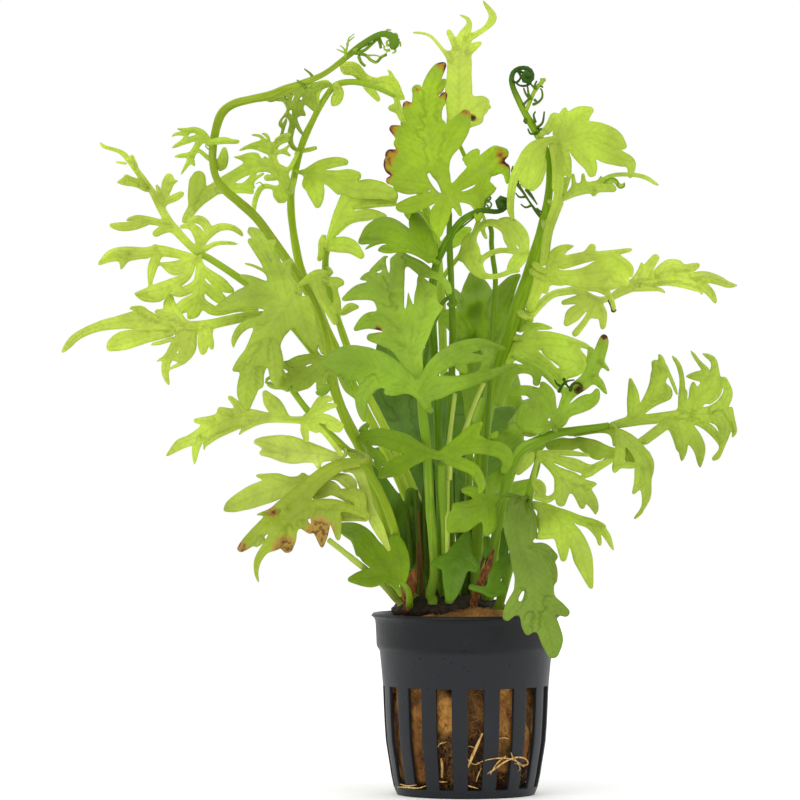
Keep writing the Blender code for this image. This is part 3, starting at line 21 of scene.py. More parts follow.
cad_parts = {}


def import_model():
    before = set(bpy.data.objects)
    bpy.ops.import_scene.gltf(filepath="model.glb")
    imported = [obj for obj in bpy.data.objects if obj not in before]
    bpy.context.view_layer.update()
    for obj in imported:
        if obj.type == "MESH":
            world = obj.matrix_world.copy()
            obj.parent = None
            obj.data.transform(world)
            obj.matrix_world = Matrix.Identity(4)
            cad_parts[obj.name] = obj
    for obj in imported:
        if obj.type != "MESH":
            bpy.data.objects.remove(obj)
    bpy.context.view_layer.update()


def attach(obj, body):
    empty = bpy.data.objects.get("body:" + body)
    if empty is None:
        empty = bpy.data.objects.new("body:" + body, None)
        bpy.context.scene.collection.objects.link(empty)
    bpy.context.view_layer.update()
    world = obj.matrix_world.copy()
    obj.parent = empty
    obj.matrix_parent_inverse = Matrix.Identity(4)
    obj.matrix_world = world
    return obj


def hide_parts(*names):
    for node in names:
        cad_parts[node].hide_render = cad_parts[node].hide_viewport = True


log = logging.getLogger("water_sprite")

Colour = tuple[float, float, float]
Station = tuple[float, float, float]

MM = 0.001
BODY = "root"

# Parts into which the curve between two stations is cut before it is sampled evenly
CURVE_PARTS = 12

# Numbers that a tube stores at each point for the streaks along it
GRAIN = ("along", "wrap_x", "wrap_y")

# The photograph's eye point, with the lens and the sensor's width that frame it
EYE = Vector((-18.3, -1400.0, 110.0))
FOCAL = 225.0
SENSOR = 36.0

# How far the camera stands from that eye point, so that the outlines fall where the photograph has them
CAMERA_SHIFT = Vector((-0.12, 0.0, 0.26))

# Middle of the crown, on the wool
CROWN = (-4.5, 0.5, 51.4)

# Above the crown the drawn depths fan out to the front and back, as in the frame
FAN_FROM = 52.0
FAN_HEIGHT = 70.0
FAN = 0.7


def sight(x: float, z: float, y: float) -> Vector:
    """Carry a point of the upright drawing plane along the line of sight to its depth.

    Args:
        x: Across, on the drawing plane.
        z: Up, on the drawing plane.
        y: Drawn depth, before the plant's depths fan out above the crown.

    Returns:
        The point in the row frame.
    """
    depth = y * (1.0 + FAN * min(1.0, max(0.0, (z - FAN_FROM) / FAN_HEIGHT)))
    reach = (depth - EYE.y) / -EYE.y
    return Vector((EYE.x + (x - EYE.x) * reach, depth, EYE.z + (z - EYE.z) * reach))


def srgb(red: int, green: int, blue: int) -> Colour:
    """Linear colour for display values.

    Args:
        red: Red, from 0 to 255.
        green: Green, likewise.
        blue: Blue, likewise.

    Returns:
        The colour for a shader.
    """
    def linear(level: float) -> float:
        """One channel."""
        share = level / 255.0
        return share / 12.92 if share <= 0.04045 else ((share + 0.055) / 1.055) ** 2.4

    return linear(red), linear(green), linear(blue)


class Value:
    """A shader number that can be used in Python expressions."""

    def __init__(self, graph: "Graph", socket: bpy.types.NodeSocket) -> None:
        """Wrap an output socket of a node in the graph."""
        self.graph = graph
        self.socket = socket

    def _maths(self, operation: str, *terms: object) -> "Value":
        """Add one Math node over the terms."""
        node = self.graph.add("ShaderNodeMath", {"operation": operation}, dict(enumerate(terms)))
        return Value(self.graph, node.outputs[0])

    def __add__(self, other: object) -> "Value":
        """Sum."""
        return self._maths("ADD", self, other)

    def __radd__(self, other: object) -> "Value":
        """Sum, the other way round."""
        return self._maths("ADD", other, self)

    def __sub__(self, other: object) -> "Value":
        """Difference."""
        return self._maths("SUBTRACT", self, other)

    def __rsub__(self, other: object) -> "Value":
        """Difference, the other way round."""
        return self._maths("SUBTRACT", other, self)

    def __mul__(self, other: object) -> "Value":
        """Product."""
        return self._maths("MULTIPLY", self, other)

    def __rmul__(self, other: object) -> "Value":
        """Product, the other way round."""
        return self._maths("MULTIPLY", other, self)

    def sine(self) -> "Value":
        """Sine of a value in radians."""
        return self._maths("SINE", self)

    def rise(self, low: float, high: float) -> "Value":
        """Step smoothly from 0 to 1.

        Args:
            low: Where it is still 0.
            high: Where it has reached 1; it falls instead where this is the lower.

        Returns:
            The step.
        """
        node = self.graph.add(
            "ShaderNodeMapRange",
            {"interpolation_type": "SMOOTHSTEP"},
            {"Value": self, "From Min": low, "From Max": high, "To Min": 0.0, "To Max": 1.0},
        )
        return Value(self.graph, node.outputs["Result"])


class Graph:
    """The node graph of one material, with a Principled shader ready to be fed."""

    def __init__(self, name: str) -> None:
        """Start a new material.

        Args:
            name: Its name.
        """
        self.material = bpy.data.materials.new(name)
        self.material.use_nodes = True
        self.tree = self.material.node_tree
        self.shader = self.tree.nodes["Principled BSDF"]
        self.output = self.tree.nodes["Material Output"]
        self._place: bpy.types.NodeSocket | None = None

    def add(self, kind: str, settings: dict | None = None, inputs: dict | None = None) -> bpy.types.Node:
        """Add a node.

        Args:
            kind: The node's type.
            settings: Its properties, which are set first.
            inputs: Values or links by socket name or number.

        Returns:
            The new node.
        """
        node = self.tree.nodes.new(kind)
        for key, setting in (settings or {}).items():
            setattr(node, key, setting)
        for key, value in (inputs or {}).items():
            self.feed(node.inputs[key], value)
        return node

    def feed(self, socket: bpy.types.NodeSocket, value: object) -> None:
        """Link or set a socket.

        Args:
            socket: The input.
            value: A value or an output to link, or a plain number or colour to set.
        """
        if isinstance(value, Value):
            value = value.socket
        if isinstance(value, bpy.types.NodeSocket):
            self.tree.links.new(value, socket)
        elif isinstance(value, tuple) and socket.type == "RGBA":
            socket.default_value = (*value[:3], 1.0)
        else:
            socket.default_value = value

    def place(self) -> bpy.types.NodeSocket:
        """Give the object coordinates.

        Returns:
            The output that carries them, in metres.
        """
        if self._place is None:
            self._place = self.add("ShaderNodeTexCoord").outputs["Object"]
        return self._place

    def attribute(self, name: str) -> Value:
        """A number stored on the mesh."""
        return Value(self, self.add("ShaderNodeAttribute", {"attribute_name": name}).outputs["Fac"])

    def noise(
        self, size: float, detail: float = 2.0, rough: float = 0.5, stretch: Colour = (1, 1, 1),
        place: bpy.types.NodeSocket | None = None,
    ) -> Value:
        """Cloudy noise from 0 to 1.

        Args:
            size: Width of a cloud, in millimetres.
            detail: Number of finer layers.
            rough: Strength of the finer layers.
            stretch: Frequency along each axis.
            place: Coordinates in metres; the object's own where none are given.

        Returns:
            The noise value.
        """
        place = self.place() if place is None else place
        scaled = self.add("ShaderNodeMapping", {}, {"Vector": place, "Scale": stretch})
        node = self.add(
            "ShaderNodeTexNoise", {},
            {"Vector": scaled.outputs[0], "Scale": 1.0 / (size * MM), "Detail": detail, "Roughness": rough},
        )
        return Value(self, node.outputs["Fac"])

    def grain(self) -> bpy.types.NodeSocket:
        """Coordinates that follow a tube: along it and round it, in metres."""
        parts = {key: self.attribute(name) for key, name in enumerate(GRAIN)}
        return self.add("ShaderNodeCombineXYZ", {}, parts).outputs[0]

    def height(self) -> Value:
        """Height above the pot's base, in metres."""
        return Value(self, self.add("ShaderNodeSeparateXYZ", {}, {0: self.place()}).outputs["Z"])

    def cells(self, size: float) -> Value:
        """Distance to the nearest of scattered points that lie a size in millimetres apart."""
        node = self.add("ShaderNodeTexVoronoi", {}, {"Vector": self.place(), "Scale": 1.0 / (size * MM)})
        return Value(self, node.outputs["Distance"])

    def blend(self, share: object, first: object, second: object) -> bpy.types.NodeSocket:
        """Mix two colours.

        Args:
            share: 0 gives the first colour and 1 the second.
            first: A colour or an output.
            second: Likewise.

        Returns:
            The mixed colour.
        """
        node = self.add("ShaderNodeMix", {"data_type": "RGBA"}, {0: share})
        self.feed(node.inputs[6], first)
        self.feed(node.inputs[7], second)
        return node.outputs[2]

    def bump(self, height: Value, depth: float) -> None:
        """Raise the surface by height times depth, in millimetres."""
        node = self.add("ShaderNodeBump", {}, {"Height": height, "Distance": depth * MM, "Strength": 1.0})
        self.feed(self.shader.inputs["Normal"], node.outputs["Normal"])

    def surface(self, **inputs: object) -> None:
        """Feed the Principled shader; underscores in a name stand for spaces."""
        for key, value in inputs.items():
            self.feed(self.shader.inputs[key.replace("_", " ")], value)

    def glow_through(self, share: float, colour: object) -> None:
        """Let light from behind show through the surface.

        Args:
            share: How much of the shading it makes up.
            colour: Its tint.
        """
        through = self.add("ShaderNodeBsdfTranslucent", {}, {"Color": colour}).outputs[0]
        mix = self.add("ShaderNodeMixShader", {}, {0: share, 1: self.shader.outputs[0], 2: through})
        self.feed(self.output.inputs["Surface"], mix.outputs[0])


@dataclass(frozen=True)
class LeafFinish:
    """Living leaf: wandering hue, soft midrib, side veins, marked margins, painted sheen and painted lit
    margins.

    Attributes:
        name: The material's name.
        slot: The record's slot that it belongs to.
        base: Colour of the blade, which clouds, veins and margins shade.
        through: Share of light that shows through from behind.
        faded: Colour round a mark.
        scorched: Colour in a mark.
        hug: How closely a mark keeps to the margin, from 0 to 1.
        mottled: How broken the scorched part is, from 0 to 1.
        vein_gap: Distance between side veins, in millimetres along the midrib.
        painted_sheen: Share of the green in each channel of the painted sheen, pale patches for
            reflections.
    """

    name: str
    slot: str
    base: Colour
    through: float = 0.3
    faded: Colour = srgb(176, 150, 50)
    scorched: Colour = srgb(70, 50, 20)
    hug: float = 0.0
    mottled: float = 0.0
    vein_gap: float = 2.1
    painted_sheen: Colour = (0.15, 0.17, 0.07)

    def _shade(self, gain: float) -> Colour:
        """The base colour made lighter or darker by a factor."""
        return tuple(min(1.0, level * gain) for level in self.base)

    def material(self) -> bpy.types.Material:
        """Build the material.

        Returns:
            The material.
        """
        graph = Graph(self.name)
        rim = graph.attribute("rim")
        branch = graph.attribute("branch")
        fine = graph.noise(1.3, 3.0, 0.6)
        side = (branch * (math.tau / self.vein_gap) + fine * 2.4).sine().rise(0.6, 1.0)
        side = side * rim.rise(1.05, 0.55)
        midrib = rim.rise(0.22, 0.04)
        # Painted sheen: a paler, greyer colour that stands in for reflections off the blade
        painted_sheen = tuple(0.75 * level + self.base[1] * share for level, share in zip(self.base, self.painted_sheen))
        dark = self._shade(0.5)
        cloud = graph.noise(16.0, 3.0, 0.55).rise(0.32, 0.68)
        colour = graph.blend(cloud, self._shade(1.16), self._shade(0.86))
        # Painted sheen laid over the blade in cloudy patches
        colour = graph.blend(graph.noise(7.0, 2.0).rise(0.5, 0.75) * 0.5, colour, painted_sheen)
        colour = graph.blend(fine.rise(0.45, 0.8) * 0.16, colour, dark)
        colour = graph.blend(side * 0.1, colour, dark)
        colour = graph.blend(midrib * 0.14, colour, dark)
        # Painted highlight: the margins are lightened as though light shone through the thin edge
        colour = graph.blend(rim.rise(0.8, 1.0) * 0.25, colour, self._shade(1.2))
        mark = graph.attribute("mark")
        reach = mark * (rim.rise(0.25, 1.0) * self.hug + (1.0 - self.hug))
        reach = reach + (graph.noise(1.6, 3.0) - 0.5) * mark.rise(0.0, 0.15) * 0.45
        broken = graph.noise(0.9, 2.0).rise(0.42, 0.62) * self.mottled + (1.0 - self.mottled)
        colour = graph.blend(reach.rise(0.05, 0.3), colour, self.faded)
        colour = graph.blend(reach.rise(0.22, 0.55) * broken, colour, self.scorched)
        graph.bump(side * 0.5 + fine * 0.3 + midrib * -0.8, 0.08)
        graph.surface(Base_Color=colour, Roughness=fine * 0.16 + 0.4, Specular_IOR_Level=0.25)
        graph.glow_through(self.through, colour)
        return graph.material


@dataclass(frozen=True)
class StalkFinish:
    """Stalk: fine streaks along its length, darker freckles, painted shade at its foot and a tint at its
    young tip.

    Attributes:
        name: The material's name.
        slot: The record's slot that it belongs to.
        light: Colour between the streaks.
        deep: Colour of the streaks.
        foot: Painted shade at the crown, a darker colour where the crown shades the foot.
        young: Colour at the tip.
        foot_shade_top: Height where the painted shade at the foot ends.
        reach: Distance from the tip where the tip's colour ends.
        foot_shade_full: Height where the painted shade at the foot is full.
        freckle: Colour of the freckles.
    """

    name: str
    slot: str
    light: Colour
    deep: Colour
    foot: Colour
    young: Colour
    foot_shade_top: float = 75.0
    reach: float = 26.0
    foot_shade_full: float = 54.0
    freckle: Colour = srgb(70, 92, 26)

    def material(self) -> bpy.types.Material:
        """Build the material.

        Returns:
            The material.
        """
        graph = Graph(self.name)
        streak = graph.noise(0.7, 3.0, 0.6, (0.07, 1.0, 1.0), graph.grain())
        cloud = graph.noise(16.0, 2.0)
        freckle = graph.noise(0.5, 2.0, 0.6)
        colour = graph.blend(streak.rise(0.32, 0.7), self.light, self.deep)
        colour = graph.blend(cloud.rise(0.4, 0.7) * 0.4, colour, self.deep)
        # Painted shade: the stalk darkens towards its foot, where the crown and the other stalks shade it
        low = graph.height().rise(self.foot_shade_top * MM, self.foot_shade_full * MM)
        colour = graph.blend(low * 0.85, colour, self.foot)
        colour = graph.blend(freckle.rise(0.68, 0.76) * 0.35, colour, self.freckle)
        colour = graph.blend(graph.attribute("tip").rise(self.reach, self.reach * 0.4), colour, self.young)
        graph.bump(streak, 0.12)
        graph.surface(Base_Color=colour, Roughness=streak * 0.15 + 0.4, Specular_IOR_Level=0.15)
        graph.glow_through(0.12, colour)
        return graph.material


@dataclass(frozen=True)
class PlasticFinish:
    """Dark moulded plastic: faint grain, fine upright scuffs, a film of dried water, wet drops, painted
    shade under the lip.

    Attributes:
        name: The material's name.
        slot: The record's slot that it belongs to.
        base: Colour of the wall.
        collar: Painted shade on the collar under the lip, darker than the wall.
        worn: Colour of scuffs and of the film.
        wet: Colour of the drops.
        collar_shade_from: Height where the painted shade on the collar starts.
        collar_shade_full: Height where that painted shade is full.
    """

    name: str = "pot_plastic"
    slot: str = "pot"
    base: Colour = srgb(30, 32, 36)
    collar: Colour = srgb(17, 18, 21)
    worn: Colour = srgb(50, 52, 56)
    wet: Colour = srgb(8, 9, 11)
    collar_shade_from: float = 39.5
    collar_shade_full: float = 41.2

    def material(self) -> bpy.types.Material:
        """Build the material.

        Returns:
            The material.
        """
        graph = Graph(self.name)
        scuff = graph.noise(1.1, 3.0, 0.65, (1.0, 1.0, 0.18))
        film = graph.noise(13.0, 4.0, 0.6)
        drop = graph.cells(2.4).rise(0.2, 0.08) * graph.noise(9.0, 3.0).rise(0.52, 0.6)
        # Painted shade: the collar under the lip is darker than the wall below
        high = graph.height().rise(self.collar_shade_from * MM, self.collar_shade_full * MM)
        colour = graph.blend(high, self.base, self.collar)
        colour = graph.blend(film.rise(0.5, 0.8) * 0.35, colour, self.worn)
        colour = graph.blend(scuff.rise(0.64, 0.8) * 0.3, colour, self.worn)
        colour = graph.blend(drop * 0.7, colour, self.wet)
        graph.bump(drop * 0.9 + graph.noise(0.35, 2.0) * 0.1, 0.2)
        rough = scuff * 0.2 + 0.34 - drop * 0.22
        graph.surface(Base_Color=colour, Roughness=rough, Specular_IOR_Level=0.24)
        return graph.material


@dataclass(frozen=True)
class WoolFinish:
    """Damp mineral wool: golden fibres, brown stains, and painted shade in the pores and between the
    fibres.

    Attributes:
        name: The material's name.
        slot: The record's slot that it belongs to.
        light: Colour of clean wool.
        body: Colour of duller patches.
        stain_and_shade: Colour of stains, and of the painted shade in pores, gaps between fibres and
            hollows.
    """

    name: str
    slot: str
    light: Colour = srgb(192, 138, 62)
    body: Colour = srgb(144, 94, 42)
    stain_and_shade: Colour = srgb(36, 18, 12)

    def material(self) -> bpy.types.Material:
        """Build the material.

        Returns:
            The material.
        """
        graph = Graph(self.name)
        patch = graph.noise(9.0, 4.0, 0.65)
        strand = graph.noise(0.8, 4.0, 0.75, (1.0, 1.0, 0.45))
        pore = graph.cells(2.6)
        colour = graph.blend(patch.rise(0.38, 0.62), self.light, self.body)
        # Painted shade in the gaps between the fibres
        colour = graph.blend(strand.rise(0.45, 0.72) * 0.6, colour, self.stain_and_shade)
        # Painted shade in the pores
        colour = graph.blend(pore.rise(0.22, 0.05) * 0.7, colour, self.stain_and_shade)
        colour = graph.blend(graph.noise(15.0, 3.0).rise(0.55, 0.72) * 0.6, colour, self.stain_and_shade)
        # Stains, and painted shade where the side is hollow, from the stored mask
        colour = graph.blend(graph.attribute("stain_and_shade") * strand.rise(0.7, 0.4), colour, self.stain_and_shade)
        graph.bump(strand + pore * 0.5, 0.6)
        graph.surface(Base_Color=colour, Roughness=strand * 0.25 + 0.62, Specular_IOR_Level=0.3)
        return graph.material


@dataclass(frozen=True)
class WoodyFinish:
    """Dead or woody tissue: two colours in long fibres, rough and dull.

    Attributes:
        name: The material's name.
        slot: The record's slot that it belongs to.
        light: Colour of half the fibres.
        deep: Colour of the others.
        grain: Width of a fibre, in millimetres.
        stretch: Frequency of the fibres along each axis.
        rough: Mean roughness.
    """

    name: str
    slot: str
    light: Colour
    deep: Colour
    grain: float = 1.0
    stretch: Colour = (1.0, 1.0, 0.2)
    rough: float = 0.7

    def material(self) -> bpy.types.Material:
        """Build the material.

        Returns:
            The material.
        """
        graph = Graph(self.name)
        fibre = graph.noise(self.grain, 4.0, 0.7, self.stretch)
        colour = graph.blend(fibre.rise(0.35, 0.65), self.light, self.deep)
        colour = graph.blend(graph.noise(4.0, 2.0).rise(0.5, 0.7) * 0.5, colour, self.deep)
        graph.bump(fibre, 0.35)
        graph.surface(Base_Color=colour, Roughness=fibre * 0.2 + self.rough - 0.1, Specular_IOR_Level=0.3)
        return graph.material


class Tone(Enum):
    """The finishes of the leaves."""

    LIME = LeafFinish("lime_leaf", "bright_leaf", srgb(206, 224, 90), 0.38)
    FRESH = LeafFinish("fresh_green_leaf", "bright_leaf", srgb(193, 216, 74), 0.36)
    PALE = LeafFinish("pale_green_leaf", "pale_leaf", srgb(187, 205, 82), 0.34)
    MILKY = LeafFinish("milky_green_leaf", "pale_leaf", srgb(214, 227, 112), 0.36)
    SPRING = LeafFinish("spring_green_leaf", "leaf", srgb(194, 218, 78), 0.34)
    MID = LeafFinish("green_leaf", "leaf", srgb(172, 196, 66), 0.32)
    GREEN = LeafFinish("grass_green_leaf", "leaf", srgb(157, 190, 54), 0.3)
    MOSS = LeafFinish("moss_green_leaf", "leaf", srgb(142, 178, 42), 0.26)
    SUNLIT = LeafFinish("sunlit_deep_leaf", "dark_leaf", srgb(154, 186, 36), 0.28)
    DARK = LeafFinish("deep_green_leaf", "dark_leaf", srgb(132, 167, 20), 0.24)
    DULL = LeafFinish("dull_green_leaf", "dark_leaf", srgb(120, 148, 44), 0.2)
    SHADE = LeafFinish("shaded_leaf", "dark_leaf", srgb(88, 127, 8), 0.16)
    SINGED = LeafFinish(
        "brown_edged_green_leaf", "leaf", srgb(162, 194, 34), 0.3, srgb(186, 140, 30), srgb(74, 34, 24), 0.6
    )
    WITHERED = LeafFinish(
        "brown_tipped_green_leaf", "leaf", srgb(166, 186, 54), 0.3, srgb(190, 160, 72), srgb(122, 84, 34),
        mottled=0.8,
    )


class Stem(Enum):
    """The finishes of the stalks and threads."""

    # Each finish's third colour is the painted shade at its foot
    GREEN = StalkFinish(
        "green_stalk", "stalk",
        srgb(172, 198, 50), srgb(142, 170, 28), srgb(140, 168, 44), srgb(152, 182, 44),
    )
    ARCHING = StalkFinish(
        "arching_green_stalk", "stalk",
        srgb(160, 182, 50), srgb(130, 154, 28), srgb(132, 160, 44), srgb(98, 132, 26),
    )
    PALE = StalkFinish(
        "pale_stalk", "stalk",
        srgb(202, 218, 98), srgb(176, 196, 70), srgb(168, 188, 78), srgb(184, 204, 86),
    )
    DEEP = StalkFinish(
        "deep_green_stalk", "stalk",
        srgb(146, 182, 50), srgb(116, 152, 26), srgb(118, 154, 38), srgb(124, 160, 30),
    )
    SHADED = StalkFinish(
        "shaded_stalk", "stalk",
        srgb(118, 152, 28), srgb(88, 124, 12), srgb(96, 128, 20), srgb(108, 142, 22),
    )
    YOUNG = StalkFinish(
        "young_stalk", "young_stalk",
        srgb(146, 180, 34), srgb(114, 150, 14), srgb(130, 164, 34), srgb(52, 88, 14), 90.0, 28.0,
    )
    DARK = StalkFinish(
        "dark_young_stalk", "young_stalk",
        srgb(110, 150, 12), srgb(78, 116, 2), srgb(108, 146, 24), srgb(50, 82, 10), 90.0, 20.0,
    )
    PINNA = StalkFinish(
        "dark_pinna", "young_stalk",
        srgb(96, 128, 26), srgb(70, 100, 16), srgb(96, 128, 26), srgb(82, 114, 20),
    )
    # Old stems darkened as painted shade, to fill the shade among the stalks at the crown
    OLD_SHADE = StalkFinish(
        "old_stem_in_painted_shade", "stalk",
        srgb(74, 94, 18), srgb(46, 60, 10), srgb(34, 32, 12), srgb(80, 104, 20),
    )
    DEAD = StalkFinish(
        "dead_brown_stem", "dead_stub",
        srgb(134, 90, 40), srgb(80, 50, 22), srgb(60, 36, 16), srgb(122, 84, 40),
    )


@dataclass(frozen=True)
class LeafForm:
    """Drawn form of one leaf.

    A lobe is a flat row of whole tenths of a millimetre: a place across and up on the drawing plane and the
    half width there, and so on from the midrib's foot to its tip.

    Attributes:
        name: The frame node that it stands for.
        hub: Middle on the drawing plane, in millimetres: across, up, back.
        lean: How far it leans back for each millimetre across and up.
        bow: How it bows back with the square of the distance from the hub.
        curl: How strongly the lobes swing to the front and back.
        tone: Its finish.
        lobes: The lobes.
        fine: Fine lobes that don't sway the others.
        slits: Gaps cut into the blade.
        marks: Dead spots, in one flat row: across, up, radius.
    """

    name: str
    hub: Station
    lean: tuple[float, float]
    bow: float
    curl: float
    tone: Tone
    lobes: list[tuple[int, ...]]
    fine: list[tuple[int, ...]] = field(default_factory=list)
    slits: list[tuple[int, ...]] = field(default_factory=list)
    marks: tuple[int, ...] = ()


@dataclass(frozen=True)
class ThreadForm:
    """Drawn form of a group of hair-thin shoots.

    Attributes:
        name: The piece's name.
        tone: Its finish.
        depth: Drawn depth of the group.
        foot: Radius at a shoot's foot.
        tip: Radius at its tip.
        routes: Flat rows of places across and up, in whole tenths of a millimetre.
    """

    name: str
    tone: Stem
    depth: float
    foot: float
    tip: float
    routes: list[tuple[int, ...]]


def stations(row: Sequence[int], width: int) -> np.ndarray:
    """Cut a flat row of whole tenths of a millimetre into stations.

    Args:
        row: The flat row.
        width: Numbers in one station.

    Returns:
        The stations in millimetres, one to a row.
    """
    return np.array(row).reshape(-1, width) / 10.0


# Stalks, from the crown outwards: across, up, back and radius, in tenths of a millimetre
STALKS = {
    "arching_stalk": (
        -130, 560, 70, 15, -170, 670, 90, 15, -215, 790, 120, 14, -260, 900, 150, 14, -310, 1005, 170, 13,
        -355, 1100, 190, 13, -380, 1200, 200, 13, -400, 1300, 210, 13, -428, 1380, 210, 13,
        -465, 1440, 200, 14, -500, 1493, 190, 14, -536, 1545, 180, 13, -586, 1612, 160, 13,
        -636, 1658, 150, 13, -674, 1690, 140, 12, -701, 1731, 130, 11, -709, 1790, 120, 11,
        -701, 1853, 110, 12, -684, 1904, 100, 13, -651, 1931, 95, 12, -599, 1945, 90, 12,
        -549, 1955, 80, 13, -504, 1972, 70, 13, -459, 1989, 60, 10, -400, 2014, 40, 8, -350, 2050, 20, 8,
        -300, 2091, 0, 9, -260, 2118, -10, 8, -230, 2128, -20, 9, -209, 2121, -20, 12, -199, 2105, -20, 16,
        -206, 2088, -20, 10,
    ),
    "forked_stalk": (
        -95, 560, 100, 15, -110, 660, 130, 15, -150, 790, 170, 14, -200, 910, 210, 14, -260, 1030, 250, 14,
        -310, 1130, 270, 14, -355, 1225, 280, 14, -393, 1310, 280, 13, -420, 1375, 270, 14,
        -446, 1425, 260, 14, -463, 1470, 250, 13, -474, 1520, 240, 12, -483, 1575, 230, 11,
        -489, 1630, 220, 11, -489, 1685, 210, 10, -481, 1724, 200, 10, -474, 1760, 190, 10,
        -464, 1800, 180, 10, -450, 1840, 170, 10, -431, 1880, 160, 9, -413, 1916, 150, 9,
        -393, 1950, 140, 9, -372, 1978, 130, 9, -350, 1990, 120, 9, -310, 1993, 110, 9, -265, 1983, 100, 8,
        -230, 1968, 90, 7, -200, 1953, 80, 6,
    ),
    "broad_leaf_stalk": (
        -65, 565, 40, 13, -90, 680, 80, 13, -135, 820, 130, 13, -190, 950, 180, 12, -250, 1070, 210, 12,
        -300, 1170, 220, 11, -335, 1260, 220, 11, -360, 1335, 210, 10, -380, 1400, 200, 10,
        -392, 1460, 190, 10, -392, 1505, 180, 9, -383, 1540, 170, 9,
    ),
    "left_stalk": (
        -155, 555, 0, 16, -185, 650, -10, 16, -220, 750, -30, 15, -260, 865, -50, 15, -298, 970, -70, 14,
        -327, 1025, -80, 14, -350, 1080, -90, 13, -370, 1135, -100, 13, -395, 1190, -100, 12,
        -433, 1247, -100, 12, -473, 1297, -100, 12, -518, 1346, -100, 11, -562, 1390, -100, 11,
        -612, 1428, -110, 11, -670, 1468, -120, 10, -720, 1500, -130, 10, -743, 1510, -140, 9,
    ),
    "lower_left_stalk": (
        -170, 550, -37, 12, -180, 640, -60, 12, -203, 750, -95, 12, -238, 840, -120, 12,
        -276, 905, -140, 11, -313, 946, -150, 11, -345, 975, -160, 10, -385, 1012, -165, 10,
        -422, 1049, -170, 10, -452, 1085, -170, 9, -478, 1120, -170, 9, -503, 1158, -170, 9,
        -520, 1190, -170, 8,
    ),
    "low_side_stalk": (
        -195, 545, -40, 10, -230, 585, -70, 10, -270, 620, -100, 9, -310, 652, -130, 9, -350, 684, -160, 8,
        -383, 710, -180, 8,
    ),
    "tall_crozier": (
        30, 560, 50, 20, 34, 660, 40, 20, 36, 770, 30, 20, 39, 880, 20, 20, 48, 1000, 10, 20,
        66, 1105, 0, 20, 92, 1205, -10, 20, 124, 1300, -20, 20, 151, 1375, -30, 21, 177, 1450, -30, 20,
        197, 1515, -40, 18, 213, 1580, -40, 15, 228, 1650, -40, 12, 235, 1710, -40, 11, 235, 1760, -40, 11,
        223, 1803, -40, 11, 204, 1841, -40, 11, 185, 1873, -40, 11, 166, 1906, -40, 10, 149, 1940, -40, 9,
        134, 1973, -40, 8, 128, 1998, -40, 8, 132, 2018, -40, 7, 145, 2030, -40, 6, 161, 2033, -40, 6,
        176, 2028, -42, 8, 184, 2014, -44, 9, 181, 2000, -46, 10, 170, 1996, -49, 10, 162, 2006, -52, 10,
        168, 2017, -54, 10, 177, 2010, -56, 8,
    ),
    "dark_crozier": (
        -65, 565, -40, 12, -69, 700, -70, 12, -73, 880, -100, 12, -80, 1080, -130, 11, -90, 1260, -140, 11,
        -94, 1400, -150, 11, -86, 1470, -150, 11, -70, 1513, -150, 11, -50, 1550, -150, 11,
        -32, 1580, -150, 10, -10, 1605, -150, 10, 20, 1624, -150, 9, 50, 1633, -150, 8, 80, 1630, -150, 7,
        98, 1633, -150, 7, 110, 1644, -152, 9, 111, 1658, -155, 10, 101, 1666, -158, 10, 92, 1658, -161, 10,
        95, 1647, -164, 10, 104, 1650, -167, 8,
    ),
    "brown_edged_leaf_stalk": (
        -25, 565, -10, 11, -40, 700, -30, 11, -46, 860, -50, 11, -47, 1000, -70, 11, -41, 1120, -80, 10,
        -37, 1280, -90, 10, -40, 1410, -100, 9, -44, 1500, -110, 9, -46, 1575, -120, 8, -45, 1626, -130, 7,
    ),
    "centre_stalk": (
        -100, 555, -90, 14, -88, 620, -110, 13, -91, 700, -130, 13, -99, 790, -150, 13, -104, 880, -170, 13,
        -110, 970, -190, 13, -119, 1050, -200, 13, -126, 1115, -210, 12,
    ),
    "second_centre_stalk": (
        -50, 560, -90, 12, -55, 660, -120, 12, -60, 770, -150, 12, -68, 860, -170, 11, -69, 925, -190, 10,
    ),
    "big_right_stalk": (
        65, 555, -30, 16, 80, 680, -50, 16, 100, 800, -80, 16, 125, 900, -100, 16, 155, 960, -120, 16,
        200, 987, -130, 15, 250, 1008, -140, 13, 300, 1017, -150, 11, 350, 1024, -160, 10,
        400, 1030, -170, 10,
    ),
    "lower_right_stalk": (
        93, 526, -80, 13, 130, 660, -120, 13, 160, 760, -160, 13, 175, 820, -180, 12, 185, 870, -190, 11,
        198, 915, -190, 10, 202, 938, -190, 9,
    ),
}

